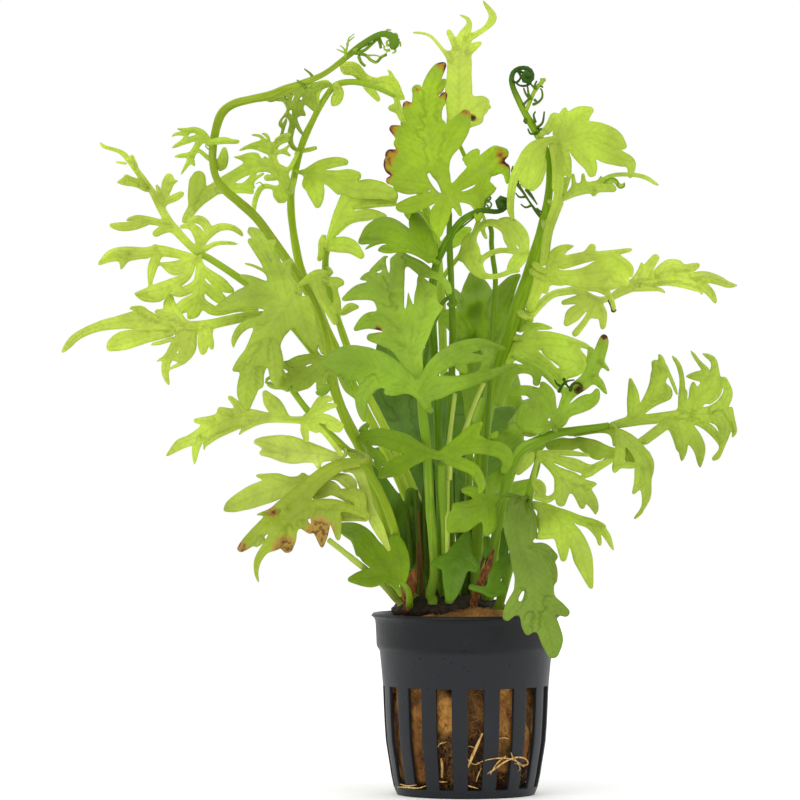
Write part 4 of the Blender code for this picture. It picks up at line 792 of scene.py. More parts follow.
# Leaves, on the drawing plane
LEAVES = [
    LeafForm("wilted_leaf", (-26, 199, 12.5), (0.15, -0.45), 0.004, 0.1, Tone.LIME, [
        (-258, 1993, 5, -235, 1994, 13, -210, 1986, 19, -193, 1965, 13, -173, 1946, 3),
        (-255, 1996, 8, -284, 2002, 12, -312, 2030, 16, -345, 2038, 9),
        (-286, 2000, 9, -276, 1979, 9, -260, 1963, 9, -244, 1943, 5),
        (-203, 1975, 8, -188, 1925, 6, -180, 1900, 10, -172, 1880, 6),
        (-182, 1912, 8, -203, 1920, 9, -216, 1919, 4),
    ], fine=[
        (-203, 2000, 5, -209, 2018, 3, -219, 2027, 2),
        (-366, 1984, 8, -355, 1965, 12, -365, 1940, 13, -373, 1930, 5),
        (-415, 1925, 8, -423, 1955, 11, -410, 1982, 12, -383, 1990, 8),
        (-465, 1800, 4, -440, 1803, 4, -415, 1810, 3),
        (-345, 2035, 7, -338, 2022, 8, -323, 2019, 4),
    ]),
    LeafForm("forked_stalk_leaf", (-52.5, 174, 14), (-0.4, -0.25), 0.003, 0.1, Tone.FRESH, [
        (-503, 1695, 9, -531, 1755, 9, -541, 1785, 8, -536, 1812, 8, -518, 1827, 7, -495, 1832, 6),
        (-523, 1736, 11, -552, 1757, 16, -600, 1754, 17, -640, 1735, 15, -710, 1690, 17, -750, 1655, 14,
         -775, 1623, 12, -790, 1600, 6),
        (-700, 1694, 13, -620, 1694, 12, -594, 1681, 3),
        (-760, 1635, 10, -762, 1670, 15, -756, 1720, 17),
        (-538, 1798, 11, -560, 1812, 18, -590, 1815, 9, -614, 1810, 4, -634, 1801, 2),
        (-509, 1703, 8, -531, 1682, 9, -519, 1656, 5),
        (-520, 1692, 3, -565, 1702, 5, -582, 1682, 6, -591, 1656, 5, -593, 1626, 3),
    ], fine=[
        (-556, 1764, 14, -590, 1776, 19, -616, 1780, 12, -634, 1781, 3, -653, 1784, 2),
        (-528, 1724, 6, -558, 1725, 8),
        (-550, 1830, 2, -558, 1845, 2, -575, 1850, 2),
        (-562, 1826, 2, -575, 1842, 2, -600, 1845, 2),
        (-565, 1738, 2, -598, 1716, 4, -597, 1700, 3, -586, 1694, 2),
        (-590, 1737, 4, -612, 1713, 4, -632, 1697, 3),
        (-755, 1660, 16, -750, 1700, 20, -748, 1730, 16),
        (-515, 1690, 6, -508, 1673, 10, -512, 1658, 7),
        (-520, 1747, 3, -508, 1737, 6, -503, 1718, 9, -499, 1695, 5),
        (-510, 1738, 3, -492, 1752, 5, -467, 1800, 3),
        (-532, 1757, 2, -515, 1757, 2, -498, 1746, 2),
        (-530, 1830, 5, -508, 1842, 6, -492, 1845, 4),
        (-533, 1792, 2, -508, 1797, 3, -488, 1783, 2),
        (-533, 1796, 2, -506, 1804, 3, -490, 1822, 2),
    ], slits=[
        (-577, 1794, 4, -568, 1780, 5),
    ]),
    LeafForm("feather_leaf", (-73, 184, 9.5), (-0.15, -0.45), 0, 0.12, Tone.FRESH, [
        (-716, 1818, 9, -735, 1846, 9, -758, 1860, 6, -787, 1859, 3, -808, 1862, 1),
        (-765, 1858, 4, -792, 1849, 4, -811, 1848, 2, -827, 1838, 1),
        (-732, 1843, 6, -787, 1826, 6, -826, 1807, 1),
        (-733, 1842, 7, -752, 1816, 7, -769, 1784, 7),
        (-766, 1789, 5, -792, 1787, 5, -815, 1784, 1),
        (-768, 1782, 7, -797, 1734, 1),
    ], fine=[
        (-710, 1826, 7, -675, 1830, 8, -655, 1826, 5, -637, 1826, 4),
        (-705, 1770, 8, -685, 1755, 12, -678, 1780, 13, -676, 1806, 5),
        (-748, 1803, 3, -717, 1777, 5),
        (-768, 1780, 5, -759, 1757, 2),
        (-778, 1848, 3, -792, 1831, 2),
    ]),
    LeafForm("curled_leaf", (-47, 196, 10.5), (-0.15, -0.45), 0, 0.1, Tone.MID, [
        (-530, 1944, 4, -508, 1952, 10, -482, 1972, 11, -455, 1962, 15, -432, 1935, 14, -418, 1912, 6),
        (-458, 1960, 14, -470, 1932, 17, -470, 1906, 11),
        (-480, 1915, 6, -481, 1890, 5, -488, 1862, 8, -492, 1835, 6, -486, 1812, 4, -468, 1800, 3),
        (-478, 1895, 3, -470, 1868, 4, -455, 1844, 2),
        (-458, 1975, 10, -425, 1978, 12, -398, 1986, 8, -376, 1985, 5),
    ], fine=[
        (-490, 1958, 7, -500, 1938, 8, -490, 1920, 7),
        (-497, 1935, 3, -497, 1914, 2, -519, 1884, 2, -521, 1873, 3, -513, 1869, 3, -505, 1880, 4,
         -502, 1895, 2),
        (-498, 1904, 5, -484, 1876, 4),
        (-507, 1873, 2, -519, 1835, 3),
        (-458, 1912, 4, -450, 1898, 2),
        (-430, 1980, 8, -430, 1955, 8, -425, 1940, 5),
        (-512, 1960, 8, -535, 1950, 5),
    ], slits=[
        (-508, 1957, 3, -494, 1942, 4),
        (-494, 1961, 3, -478, 1963, 3),
        (-466, 1938, 4, -457, 1955, 3),
        (-440, 1975, 3, -434, 1985, 4),
    ]),
    LeafForm("upper_left_leaf", (-75, 151.5, -14.3), (0.45, 0), 0.002, 0.12, Tone.LIME, [
        (-750, 1513, 8, -806, 1571, 11, -836, 1609, 10, -876, 1683, 8, -904, 1721, 8, -950, 1783, 6,
         -969, 1799, 4, -1015, 1813, 3, -1023, 1824, 1),
        (-893, 1692, 7, -922, 1711, 10, -952, 1715, 10, -976, 1712, 2),
        (-853, 1641, 7, -844, 1675, 9, -835, 1709, 15, -830, 1732, 9),
        (-846, 1655, 7, -815, 1669, 9, -792, 1682, 6),
        (-838, 1595, 7, -905, 1609, 10, -930, 1612, 6, -951, 1605, 2),
        (-822, 1583, 6, -850, 1579, 10, -872, 1566, 8),
        (-755, 1520, 8, -730, 1555, 10, -695, 1584, 10, -660, 1587, 7, -635, 1574, 5, -622, 1558, 2),
    ], fine=[
        (-925, 1757, 6, -937, 1790, 3),
        (-925, 1715, 6, -952, 1730, 4),
        (-950, 1765, 2, -980, 1769, 1),
        (-852, 1668, 6, -867, 1709, 2),
        (-838, 1705, 5, -803, 1719, 2),
        (-893, 1600, 8, -925, 1591, 11, -960, 1588, 11, -985, 1590, 7, -998, 1593, 2),
        (-745, 1515, 6, -705, 1539, 5, -670, 1543, 4, -640, 1539, 2),
        (-748, 1515, 6, -742, 1545, 12, -752, 1572, 13, -770, 1592, 6),
        (-778, 1600, 5, -755, 1609, 9, -733, 1600, 11, -720, 1575, 8, -716, 1558, 2),
        (-750, 1583, 5, -775, 1590, 5, -797, 1588, 4),
    ]),
    LeafForm("left_leaf", (-75.5, 149.8, -15.8), (0.45, 0.15), 0.003, 0.12, Tone.LIME, [
        (-756, 1500, 8, -850, 1520, 13, -900, 1517, 11, -950, 1520, 11, -995, 1513, 9, -1030, 1478, 2),
        (-945, 1513, 9, -958, 1490, 8, -965, 1469, 2),
        (-860, 1515, 10, -877, 1475, 12, -885, 1420, 2),
        (-770, 1495, 8, -805, 1478, 13, -860, 1484, 2),
        (-763, 1495, 8, -780, 1450, 10, -825, 1425, 16, -870, 1408, 15, -928, 1400, 2),
    ], fine=[
        (-870, 1523, 8, -870, 1536, 4),
        (-830, 1415, 10, -855, 1390, 9, -870, 1377, 2),
        (-746, 1500, 6, -745, 1460, 11, -750, 1380, 14, -763, 1348, 17, -775, 1333, 5),
        (-743, 1475, 8, -690, 1430, 16, -665, 1413, 10, -650, 1407, 4),
        (-743, 1430, 8, -710, 1403, 14, -685, 1385, 13, -665, 1375, 4),
        (-748, 1385, 8, -720, 1360, 12, -690, 1350, 10, -640, 1357, 7, -580, 1355, 4),
        (-748, 1435, 8, -775, 1413, 13, -805, 1403, 13, -820, 1400, 4),
        (-750, 1395, 10, -785, 1370, 18, -805, 1355, 13),
        (-1023, 1488, 6, -990, 1502, 9, -950, 1502, 10, -910, 1506, 8, -887, 1505, 5),
        (-845, 1478, 4, -825, 1466, 9, -805, 1463, 10, -788, 1470, 6),
        (-920, 1396, 4, -900, 1389, 8, -875, 1386, 8, -855, 1387, 4),
    ]),
    LeafForm("big_left_leaf", (-54, 134.5, -13.2), (0.3, 0.35), 0, 0.1, Tone.LIME, [
        (-535, 1342, 9, -600, 1338, 11, -660, 1326, 12, -720, 1313, 13, -780, 1306, 16, -850, 1313, 20,
         -920, 1325, 22, -980, 1319, 16, -1040, 1304, 11, -1088, 1281, 10, -1112, 1257, 9, -1131, 1235, 2),
        (-860, 1320, 14, -900, 1343, 13, -925, 1356, 5),
        (-820, 1295, 13, -890, 1278, 13, -960, 1258, 14, -1003, 1246, 6),
        (-790, 1315, 12, -815, 1345, 17, -830, 1373, 16, -825, 1397, 4),
        (-790, 1298, 12, -833, 1220, 11, -842, 1180, 8, -830, 1142, 2),
        (-735, 1305, 8, -740, 1265, 10, -737, 1230, 4),
    ], fine=[
        (-820, 1340, 12, -850, 1346, 9, -872, 1352, 2),
        (-805, 1255, 5, -840, 1225, 3, -868, 1210, 2),
        (-820, 1275, 4, -855, 1263, 4, -885, 1258, 2),
        (-730, 1300, 7, -715, 1270, 8, -710, 1243, 3),
        (-760, 1295, 8, -773, 1275, 18, -780, 1245, 22, -795, 1220, 14, -825, 1225, 3),
        (-785, 1210, 4, -830, 1190, 2),
        (-715, 1303, 8, -728, 1270, 10, -733, 1240, 8),
        (-890, 1292, 5, -930, 1286, 13, -970, 1272, 17, -993, 1255, 13),
        (-940, 1360, 3, -915, 1361, 5, -895, 1356, 4),
    ]),
    LeafForm("hanging_leaf", (-50, 137, -20), (0.15, 0.45), 0.002, 0.1, Tone.MID, [
        (-475, 1400, 22, -510, 1350, 43, -545, 1300, 44, -575, 1245, 40, -598, 1185, 30, -613, 1130, 27,
         -614, 1095, 16, -609, 1073, 3),
        (-575, 1260, 20, -605, 1225, 20, -633, 1198, 15, -652, 1185, 3),
        (-545, 1270, 20, -534, 1210, 22, -532, 1165, 15, -526, 1142, 6),
        (-468, 1390, 26, -455, 1335, 33, -440, 1285, 22, -420, 1245, 6),
        (-520, 1380, 30, -570, 1395, 34, -620, 1388, 26, -670, 1370, 16, -710, 1353, 3),
        (-500, 1395, 22, -510, 1440, 18, -502, 1478, 13, -486, 1496, 4),
        (-530, 1410, 18, -547, 1465, 13, -575, 1515, 13, -606, 1550, 5),
        (-555, 1410, 20, -600, 1439, 10, -635, 1452, 2),
        (-560, 1320, 15, -600, 1320, 12, -632, 1300, 10, -649, 1270, 6, -650, 1249, 1),
    ], fine=[
        (-580, 1190, 15, -577, 1140, 10),
        (-520, 1450, 12, -533, 1500, 10, -550, 1535, 12, -535, 1545, 6),
        (-540, 1450, 3, -590, 1477, 2, -620, 1485, 1),
        (-610, 1580, 6, -590, 1570, 14, -575, 1550, 16, -565, 1535, 10),
        (-492, 1448, 3, -480, 1425, 6, -460, 1396, 5),
        (-418, 1310, 3, -410, 1285, 5, -406, 1255, 6, -400, 1230, 3),
    ]),
    LeafForm("swirl_leaf", (-39, 120.5, -13.2), (0.25, 0.4), 0, 0.1, Tone.MID, [
        (-386, 1180, 12, -398, 1210, 13, -430, 1219, 12, -470, 1210, 15, -502, 1202, 6),
        (-400, 1205, 12, -430, 1178, 22, -460, 1153, 24, -476, 1132, 8),
        (-392, 1195, 9, -403, 1160, 12, -408, 1128, 9),
    ], fine=[
        (-450, 1190, 12, -470, 1180, 12, -500, 1160, 15, -518, 1150, 12),
        (-508, 1210, 5, -505, 1195, 5, -485, 1190, 7),
        (-555, 1150, 5, -535, 1140, 6, -510, 1142, 8, -498, 1130, 5),
    ]),
    LeafForm("lime_left_leaf", (-44.5, 104.8, -20.2), (-0.5, 0.4), 0.003, 0.1, Tone.LIME, [
        (-438, 1049, 6, -500, 1050, 6, -550, 1056, 9, -600, 1058, 17, -650, 1053, 26, -700, 1032, 28,
         -740, 1006, 19, -775, 989, 13, -800, 978, 13, -838, 946, 1),
        (-500, 1053, 6, -525, 1075, 18, -545, 1098, 19, -564, 1127, 5),
        (-620, 1070, 10, -643, 1093, 9, -661, 1110, 5),
        (-710, 1045, 13, -760, 1044, 5),
        (-743, 998, 9, -756, 965, 9, -760, 922, 1),
        (-660, 1063, 16, -687, 1074, 9),
        (-446, 1043, 6, -453, 1020, 9, -445, 986, 5),
        (-440, 1053, 6, -415, 1083, 13, -400, 1108, 10),
        (-436, 1056, 6, -395, 1082, 9, -365, 1088, 5),
        (-438, 1050, 6, -395, 1050, 13, -344, 1028, 6),
    ], fine=[
        (-731, 995, 3, -733, 958, 1),
        (-608, 1045, 3, -615, 1030, 3, -637, 1003, 1),
        (-450, 1060, 5, -410, 1025, 5, -375, 985, 5, -345, 945, 5),
        (-390, 1110, 8, -378, 1105, 6),
        (-450, 1040, 3, -435, 1028, 9, -415, 1017, 8),
        (-390, 1030, 3, -375, 1023, 6, -350, 1018, 6),
        (-620, 1020, 4, -590, 1038, 6, -550, 1046, 5, -460, 1042, 4),
        (-730, 978, 5, -700, 1000, 6, -660, 1018, 5, -625, 1030, 3),
    ]),
    LeafForm("middle_left_leaf", (-35, 94.3, -18.5), (0.4, 0.45), 0.003, 0.08, Tone.MILKY, [
        (-345, 941, 6, -440, 955, 26, -490, 962, 36, -535, 974, 30, -565, 984, 16, -588, 986, 6),
        (-510, 950, 20, -550, 956, 12, -576, 954, 5),
        (-415, 943, 12, -413, 916, 6),
    ]),
    LeafForm("pale_left_leaf", (-44, 88.3, -20.5), (-0.45, 0.4), 0.003, 0.08, Tone.PALE, [
        (-425, 882, 9, -480, 867, 19, -530, 855, 30, -580, 838, 31, -625, 820, 25, -660, 804, 16,
         -674, 794, 4),
        (-490, 873, 10, -530, 882, 14, -587, 891, 3),
        (-453, 880, 10, -456, 892, 8),
    ], fine=[
        (-400, 882, 6, -365, 888, 8, -340, 880, 16, -320, 865, 16, -315, 855, 8),
        (-345, 905, 5, -318, 910, 9, -296, 890, 13, -272, 815, 9, -260, 775, 13, -243, 740, 13,
         -215, 683, 4),
        (-430, 828, 4, -405, 846, 18, -380, 858, 20, -355, 842, 12, -330, 825, 9, -312, 810, 4),
        (-350, 777, 13, -295, 772, 7, -275, 766, 4),
    ]),
    LeafForm("brown_tipped_leaf", (-40, 84, -27), (-0.3, 0.55), 0.002, 0.1, Tone.WITHERED, [
        (-295, 928, 11, -340, 923, 14, -380, 905, 18, -420, 875, 22, -455, 840, 26, -490, 810, 26,
         -530, 780, 22, -605, 710, 16, -632, 685, 8),
        (-270, 776, 7, -350, 807, 12, -400, 804, 20, -450, 793, 24, -490, 765, 30, -520, 730, 30,
         -540, 703, 22, -565, 682, 11, -583, 653, 8, -587, 620, 4, -580, 592, 1),
        (-500, 750, 26, -500, 710, 24, -500, 687, 14),
        (-500, 796, 10, -535, 792, 9, -585, 781, 1),
        (-410, 795, 22, -407, 760, 25, -404, 725, 17, -403, 692, 3),
        (-370, 795, 15, -364, 760, 14, -357, 710, 4),
    ], fine=[
        (-570, 715, 10, -588, 695, 4),
        (-460, 760, 15, -435, 738, 10),
        (-290, 785, 8, -300, 830, 18, -330, 840, 14, -355, 846, 5),
    ], marks=(
        -632, 682, 34, -505, 690, 42, -408, 735, 50, -408, 700, 42, -542, 790, 20,
    )),
    LeafForm("round_leaf", (-21, 61.5, -16), (-0.35, 0.55), 0, 0.08, Tone.DARK, [
        (-185, 595, 9, -220, 610, 16, -260, 606, 24, -295, 603, 19, -328, 599, 5),
        (-200, 605, 12, -235, 650, 30, -270, 680, 32, -298, 708, 12),
        (-240, 660, 24, -270, 715, 16, -310, 738, 19, -360, 752, 6),
    ], fine=[
        (-180, 590, 10, -180, 640, 22, -190, 685, 23, -200, 720, 12),
        (-350, 735, 4, -330, 723, 6, -313, 712, 7, -303, 668, 3),
        (-220, 590, 4, -202, 586, 7, -190, 570, 6, -183, 553, 3),
    ]),
    LeafForm("node_leaf", (-46, 174, 17.5), (-0.45, 0), 0.002, 0.1, Tone.FRESH, [
        (-463, 1741, 6, -370, 1732, 12, -330, 1730, 18, -300, 1730, 11),
        (-445, 1743, 7, -400, 1761, 13, -360, 1769, 12, -332, 1768, 7),
        (-435, 1730, 9, -423, 1698, 22, -416, 1665, 16, -415, 1642, 5),
        (-380, 1726, 12, -345, 1705, 20, -300, 1690, 22, -250, 1690, 24, -205, 1678, 16),
    ], fine=[
        (-436, 1745, 5, -448, 1708, 9, -450, 1698, 5),
        (-405, 1718, 4, -385, 1710, 6, -365, 1695, 8, -352, 1680, 6),
    ]),
    LeafForm("broad_leaf", (-38, 155.2, 14.5), (-0.4, 0), 0.002, 0.1, Tone.FRESH, [
        (-382, 1546, 8, -368, 1585, 12, -327, 1660, 26, -290, 1685, 30, -240, 1686, 28, -200, 1670, 14),
        (-353, 1608, 12, -310, 1618, 13, -265, 1623, 13, -225, 1614, 8),
        (-393, 1533, 12, -355, 1537, 22, -320, 1531, 20, -293, 1506, 9),
    ], fine=[
        (-385, 1455, 8, -415, 1455, 12, -445, 1440, 8, -470, 1420, 3),
        (-388, 1435, 10, -358, 1432, 13, -345, 1430, 7),
        (-375, 1425, 4, -365, 1410, 4, -353, 1370, 4),
        (-375, 1370, 5, -350, 1345, 6, -325, 1363, 12, -304, 1363, 5),
        (-310, 1640, 4, -280, 1650, 10, -240, 1653, 8, -200, 1652, 6),
        (-365, 1565, 4, -330, 1598, 5, -300, 1607, 4, -270, 1608, 3),
        (-395, 1565, 5, -404, 1545, 7, -405, 1515, 6, -410, 1495, 5),
        (-365, 1420, 3, -360, 1375, 7, -353, 1357, 4),
        (-418, 1445, 15, -407, 1400, 14, -385, 1360, 12, -365, 1320, 8),
    ]),
    LeafForm("brown_edged_leaf", (-5, 167, -14.5), (0.1, 0.45), 0.0015, 0.07, Tone.SINGED, [
        (-47, 1640, 8, -53, 1670, 14, -75, 1720, 34, -90, 1780, 45, -100, 1840, 48, -108, 1900, 42,
         -103, 1950, 24, -92, 1995, 20, -75, 2028, 16, -60, 2042, 6),
        (-80, 1890, 15, -72, 1930, 13, -60, 1957, 8),
        (-115, 1900, 25, -130, 1945, 20, -137, 1973, 10),
        (-125, 1870, 25, -155, 1910, 20, -169, 1934, 7),
        (-120, 1820, 25, -165, 1840, 22, -195, 1858, 15, -211, 1865, 5),
        (-110, 1775, 25, -155, 1803, 24, -193, 1822, 10),
        (-85, 1725, 15, -140, 1750, 22, -185, 1773, 28, -216, 1793, 12),
        (-80, 1705, 12, -130, 1713, 21, -180, 1718, 21, -220, 1717, 7),
        (-65, 1680, 10, -110, 1663, 18, -155, 1648, 23, -190, 1643, 10),
        (-55, 1665, 15, -70, 1625, 28, -76, 1590, 20, -73, 1563, 5),
        (-70, 1770, 25, -42, 1830, 30, -15, 1873, 28, 2, 1906, 12),
        (-40, 1668, 7, -25, 1645, 8, -14, 1620, 3),
        (-40, 1690, 10, -5, 1715, 20, 30, 1740, 26, 65, 1763, 26, 97, 1788, 15),
        (-40, 1676, 8, -5, 1676, 9, 25, 1682, 14, 50, 1696, 16, 73, 1703, 5),
    ], fine=[
        (-36, 1680, 5, 40, 1755, 20, 70, 1790, 15, 86, 1810, 7),
        (35, 1605, 5, 45, 1640, 8, 40, 1680, 20, 55, 1715, 10, 70, 1733, 3),
        (50, 1680, 15, 70, 1690, 10, 85, 1695, 2),
        (-223, 1778, 4, -220, 1758, 9, -208, 1742, 9, -190, 1740, 4),
        (-200, 1696, 5, -165, 1689, 9, -130, 1691, 8, -108, 1688, 4),
        (-183, 1879, 3, -170, 1873, 6, -158, 1866, 4),
        (-148, 1968, 5, -140, 1979, 5, -128, 1980, 3),
        (-60, 2000, 6, -68, 1980, 8, -76, 1960, 4),
        (0, 1765, 15, 25, 1790, 13, 35, 1802, 5),
        (70, 1780, 25, 100, 1793, 19, 110, 1790, 12),
        (70, 1735, 8, 90, 1750, 14, 110, 1753, 13, 116, 1725, 6, 115, 1708, 3),
        (-23, 1663, 3, 5, 1660, 5, 22, 1653, 6, 29, 1638, 5),
    ], slits=[
        (-108, 1742, 4, -86, 1709, 10, -69, 1682, 5),
        (-57, 1928, 5, -60, 1900, 8, -62, 1883, 5),
        (-43, 1738, 4, -30, 1774, 13, -13, 1807, 5),
    ], marks=(
        -60, 2042, 30, -60, 1957, 22, 2, 1906, 16, -137, 1973, 12, -169, 1934, 22, -211, 1865, 30,
        -216, 1793, 34, -226, 1765, 26, -220, 1735, 24, 97, 1788, 24, 112, 1765, 26, -220, 1717, 14,
    )),
    LeafForm("top_leaf", (-3, 187, 2), (-0.05, 0.45), 0.002, 0.08, Tone.LIME, [
        (-40, 1820, 14, -33, 1870, 22, -20, 1920, 34, -20, 1970, 39, -18, 2010, 33, -18, 2050, 32,
         -10, 2090, 21, -5, 2123, 14, 10, 2150, 7, 6, 2170, 3, -21, 2182, 1),
        (-23, 2085, 10, -48, 2134, 6),
        (0, 2110, 10, 53, 2142, 5, 72, 2163, 9, 76, 2180, 8, 48, 2220, 1),
        (0, 2075, 12, 25, 2093, 9, 45, 2104, 2),
        (-38, 2053, 12, -51, 2073, 7),
        (-5, 1900, 22, 25, 1920, 32, 50, 1938, 17, 62, 1939, 5),
    ], fine=[
        (10, 1900, 20, 38, 1888, 12),
        (-44, 2056, 4, -93, 2117, 2, -123, 2130, 1, -152, 2131, 1),
        (52, 1908, 5, 60, 1925, 7, 68, 1922, 3),
        (8, 1868, 4, 20, 1876, 6, 38, 1878, 3),
    ], marks=(-5, 1895, 12, 20, 1892, 12)),
    LeafForm("arching_leaf", (-9.5, 149.5, -17.5), (0.4, 0.25), 0.004, 0.08, Tone.DARK, [
        (-93, 1493, 11, -135, 1530, 17, -180, 1567, 24, -225, 1584, 29, -265, 1573, 21, -297, 1548, 4),
        (-100, 1505, 15, -120, 1555, 27, -138, 1600, 21, -144, 1627, 6),
        (-110, 1503, 9, -155, 1523, 8, -200, 1528, 10, -237, 1528, 6),
    ], fine=[
        (-90, 1505, 10, -88, 1540, 8),
        (-225, 1548, 3, -260, 1538, 3, -285, 1522, 1),
        (-295, 1547, 9, -240, 1550, 6, -210, 1545, 7, -185, 1539, 4),
        (-245, 1525, 4, -225, 1520, 5, -200, 1519, 4),
    ]),
    LeafForm("centre_leaf", (-14, 118, -22.5), (-0.4, 0.25), 0.002, 0.08, Tone.GREEN, [
        (-129, 1126, 12, -150, 1210, 28, -175, 1280, 45, -195, 1350, 50, -205, 1410, 44, -195, 1470, 31,
         -180, 1512, 10),
        (-200, 1390, 30, -240, 1425, 28, -270, 1448, 13, -295, 1440, 2),
        (-195, 1360, 25, -250, 1402, 24, -300, 1403, 20, -343, 1384, 4),
        (-175, 1290, 25, -225, 1317, 25, -270, 1325, 23, -310, 1300, 4),
        (-165, 1245, 20, -215, 1270, 20, -273, 1278, 8),
        (-155, 1230, 25, -130, 1295, 28, -115, 1360, 32, -115, 1410, 25, -128, 1443, 7),
        (-125, 1330, 20, -90, 1355, 18, -70, 1363, 6),
    ], fine=[
        (-110, 1390, 15, -90, 1415, 10),
        (-180, 1505, 10, -135, 1478, 17, -115, 1463, 16, -82, 1450, 8, -55, 1430, 8, -45, 1400, 6),
        (-265, 1465, 4, -248, 1473, 9, -233, 1485, 11, -223, 1500, 7),
    ], slits=[
        (-163, 1475, 8, -170, 1355, 4),
        (-220, 1502, 8, -215, 1455, 4),
    ], marks=(-245, 1300, 14)),
    LeafForm("centre_side_leaf", (-13.5, 113, -27), (0.4, 0.25), 0.002, 0.08, Tone.MOSS, [
        (-105, 1080, 10, -135, 1125, 15, -180, 1160, 35, -240, 1188, 46, -300, 1205, 50, -350, 1209, 43,
         -395, 1206, 12),
        (-260, 1160, 25, -290, 1115, 19, -290, 1070, 11, -283, 1040, 2),
        (-170, 1138, 15, -205, 1129, 15, -223, 1123, 6),
        (-130, 1125, 15, -95, 1190, 18, -50, 1230, 20, 0, 1252, 20, 50, 1258, 14, 113, 1245, 2),
        (-110, 1160, 12, -80, 1187, 12, -30, 1213, 11, 20, 1220, 12, 54, 1219, 5),
        (-115, 1118, 14, -80, 1143, 22, -20, 1150, 20, 40, 1166, 14, 140, 1200, 5),
    ], fine=[
        (-120, 1110, 10, -85, 1115, 12, -40, 1140, 15),
        (45, 1240, 7, 70, 1235, 14, 50, 1190, 10, 38, 1183, 4),
        (-27, 1200, 6, -10, 1193, 14, 0, 1180, 6),
        (48, 1110, 4, 30, 1055, 9, 23, 1040, 5),
        (-355, 1170, 4, -340, 1155, 10, -328, 1133, 10, -313, 1113, 4),
        (-418, 1123, 5, -400, 1123, 9, -388, 1140, 10),
    ]),
    LeafForm("looped_leaf", (4, 158, -12.5), (-0.45, 0.15), 0.003, 0.08, Tone.SPRING, [
        (48, 1597, 5, 34, 1584, 6, 26, 1568, 6, 12, 1550, 18, 12, 1520, 26, 20, 1492, 24, 34, 1465, 16,
         50, 1447, 7),
        (34, 1580, 5, 42, 1592, 7, 60, 1599, 8, 80, 1598, 9, 100, 1586, 9, 118, 1570, 9),
        (92, 1600, 10, 118, 1597, 17, 141, 1577, 20, 157, 1550, 19, 168, 1522, 9),
        (40, 1490, 4, 55, 1505, 6, 75, 1516, 6, 105, 1522, 6, 172, 1514, 6),
    ], fine=[
        (112, 1578, 8, 120, 1552, 12, 134, 1528, 7),
        (170, 1512, 10, 150, 1502, 13, 134, 1488, 12, 120, 1472, 4),
        (166, 1500, 6, 145, 1477, 6, 106, 1452, 4),
        (16, 1530, 14, -6, 1515, 12, -14, 1496, 6),
        (46, 1592, 3, 49, 1573, 4, 57, 1556, 3),
        (150, 1464, 3, 120, 1460, 4, 80, 1448, 6, 45, 1452, 5),
    ]),
    LeafForm("low_centre_leaf", (-7, 95.5, -24.5), (-0.55, 0.35), 0.003, 0.1, Tone.DARK, [
        (-68, 943, 10, -125, 963, 16, -180, 983, 26, -235, 998, 25, -280, 996, 18, -303, 986, 5),
        (-105, 952, 12, -160, 933, 18, -205, 910, 21, -240, 887, 5),
        (-68, 948, 12, -10, 985, 18, 20, 1015, 18, 42, 1038, 6),
        (-60, 945, 12, 0, 968, 18, 60, 970, 19, 103, 960, 19, 118, 930, 14, 103, 900, 6),
        (-65, 943, 12, -10, 923, 16, 25, 905, 14, 45, 865, 10, 38, 843, 3),
    ], fine=[
        (20, 995, 15, 55, 988, 5),
        (68, 998, 6, 80, 1003, 9, 88, 1013, 3),
        (-298, 1013, 4, -285, 1023, 8, -275, 1035, 4),
        (-280, 978, 4, -267, 962, 10, -245, 945, 14, -230, 928, 8),
        (-250, 930, 8, -238, 903, 4),
    ]),
    LeafForm("middle_leaf", (7, 81.5, -20), (0.35, 0.55), 0.003, 0.08, Tone.DARK, [
        (93, 833, 8, 50, 805, 26, 10, 783, 35, -25, 760, 32, -44, 740, 10),
        (40, 810, 15, 0, 803, 16, -32, 806, 8),
        (65, 800, 20, 68, 760, 20, 58, 730, 10),
        (50, 825, 10, 17, 848, 13, -12, 850, 5),
    ]),
    LeafForm("dark_round_leaf", (0, 71.5, -17), (0.1, 0.65), 0.004, 0.06, Tone.SHADE, [
        (6, 735, 7, -15, 675, 30, -30, 625, 33, -38, 577, 24, -44, 546, 12),
        (-30, 660, 20, -70, 648, 17, -94, 645, 5),
        (-10, 660, 20, 17, 645, 19, 28, 626, 10),
    ], fine=[
        (8, 580, 6, 65, 570, 10, 80, 605, 15, 100, 635, 18, 118, 660, 12),
        (55, 565, 8, 75, 560, 10, 95, 575, 18, 108, 580, 10),
        (59, 720, 9, 59, 690, 6, 54, 660, 4),
        (104, 740, 3, 108, 683, 12, 95, 662, 4),
    ]),
    LeafForm("upper_right_leaf", (24, 182, -8.5), (0.45, 0.15), 0.002, 0.08, Tone.FRESH, [
        (236, 1605, 9, 250, 1643, 9, 260, 1685, 9, 265, 1730, 9, 266, 1780, 9, 260, 1820, 10),
        (260, 1815, 12, 281, 1847, 26, 302, 1879, 30, 326, 1902, 23, 349, 1914, 9),
        (252, 1842, 10, 268, 1883, 12, 278, 1920, 5),
        (260, 1815, 16, 321, 1847, 28, 373, 1847, 30, 416, 1831, 25, 446, 1810, 6),
        (340, 1827, 20, 388, 1799, 28, 433, 1779, 20, 463, 1765, 12, 460, 1724, 4),
        (295, 1817, 16, 327, 1789, 22, 349, 1759, 18, 353, 1732, 9),
        (265, 1810, 13, 276, 1770, 17, 292, 1722, 3),
        (255, 1833, 9, 225, 1828, 9, 200, 1805, 25, 180, 1770, 32, 173, 1735, 28, 170, 1703, 12),
        (160, 1770, 15, 137, 1730, 10, 126, 1680, 9, 125, 1635, 8, 133, 1608, 3),
    ], fine=[
        (265, 1660, 10, 232, 1580, 11, 220, 1500, 10, 213, 1480, 6),
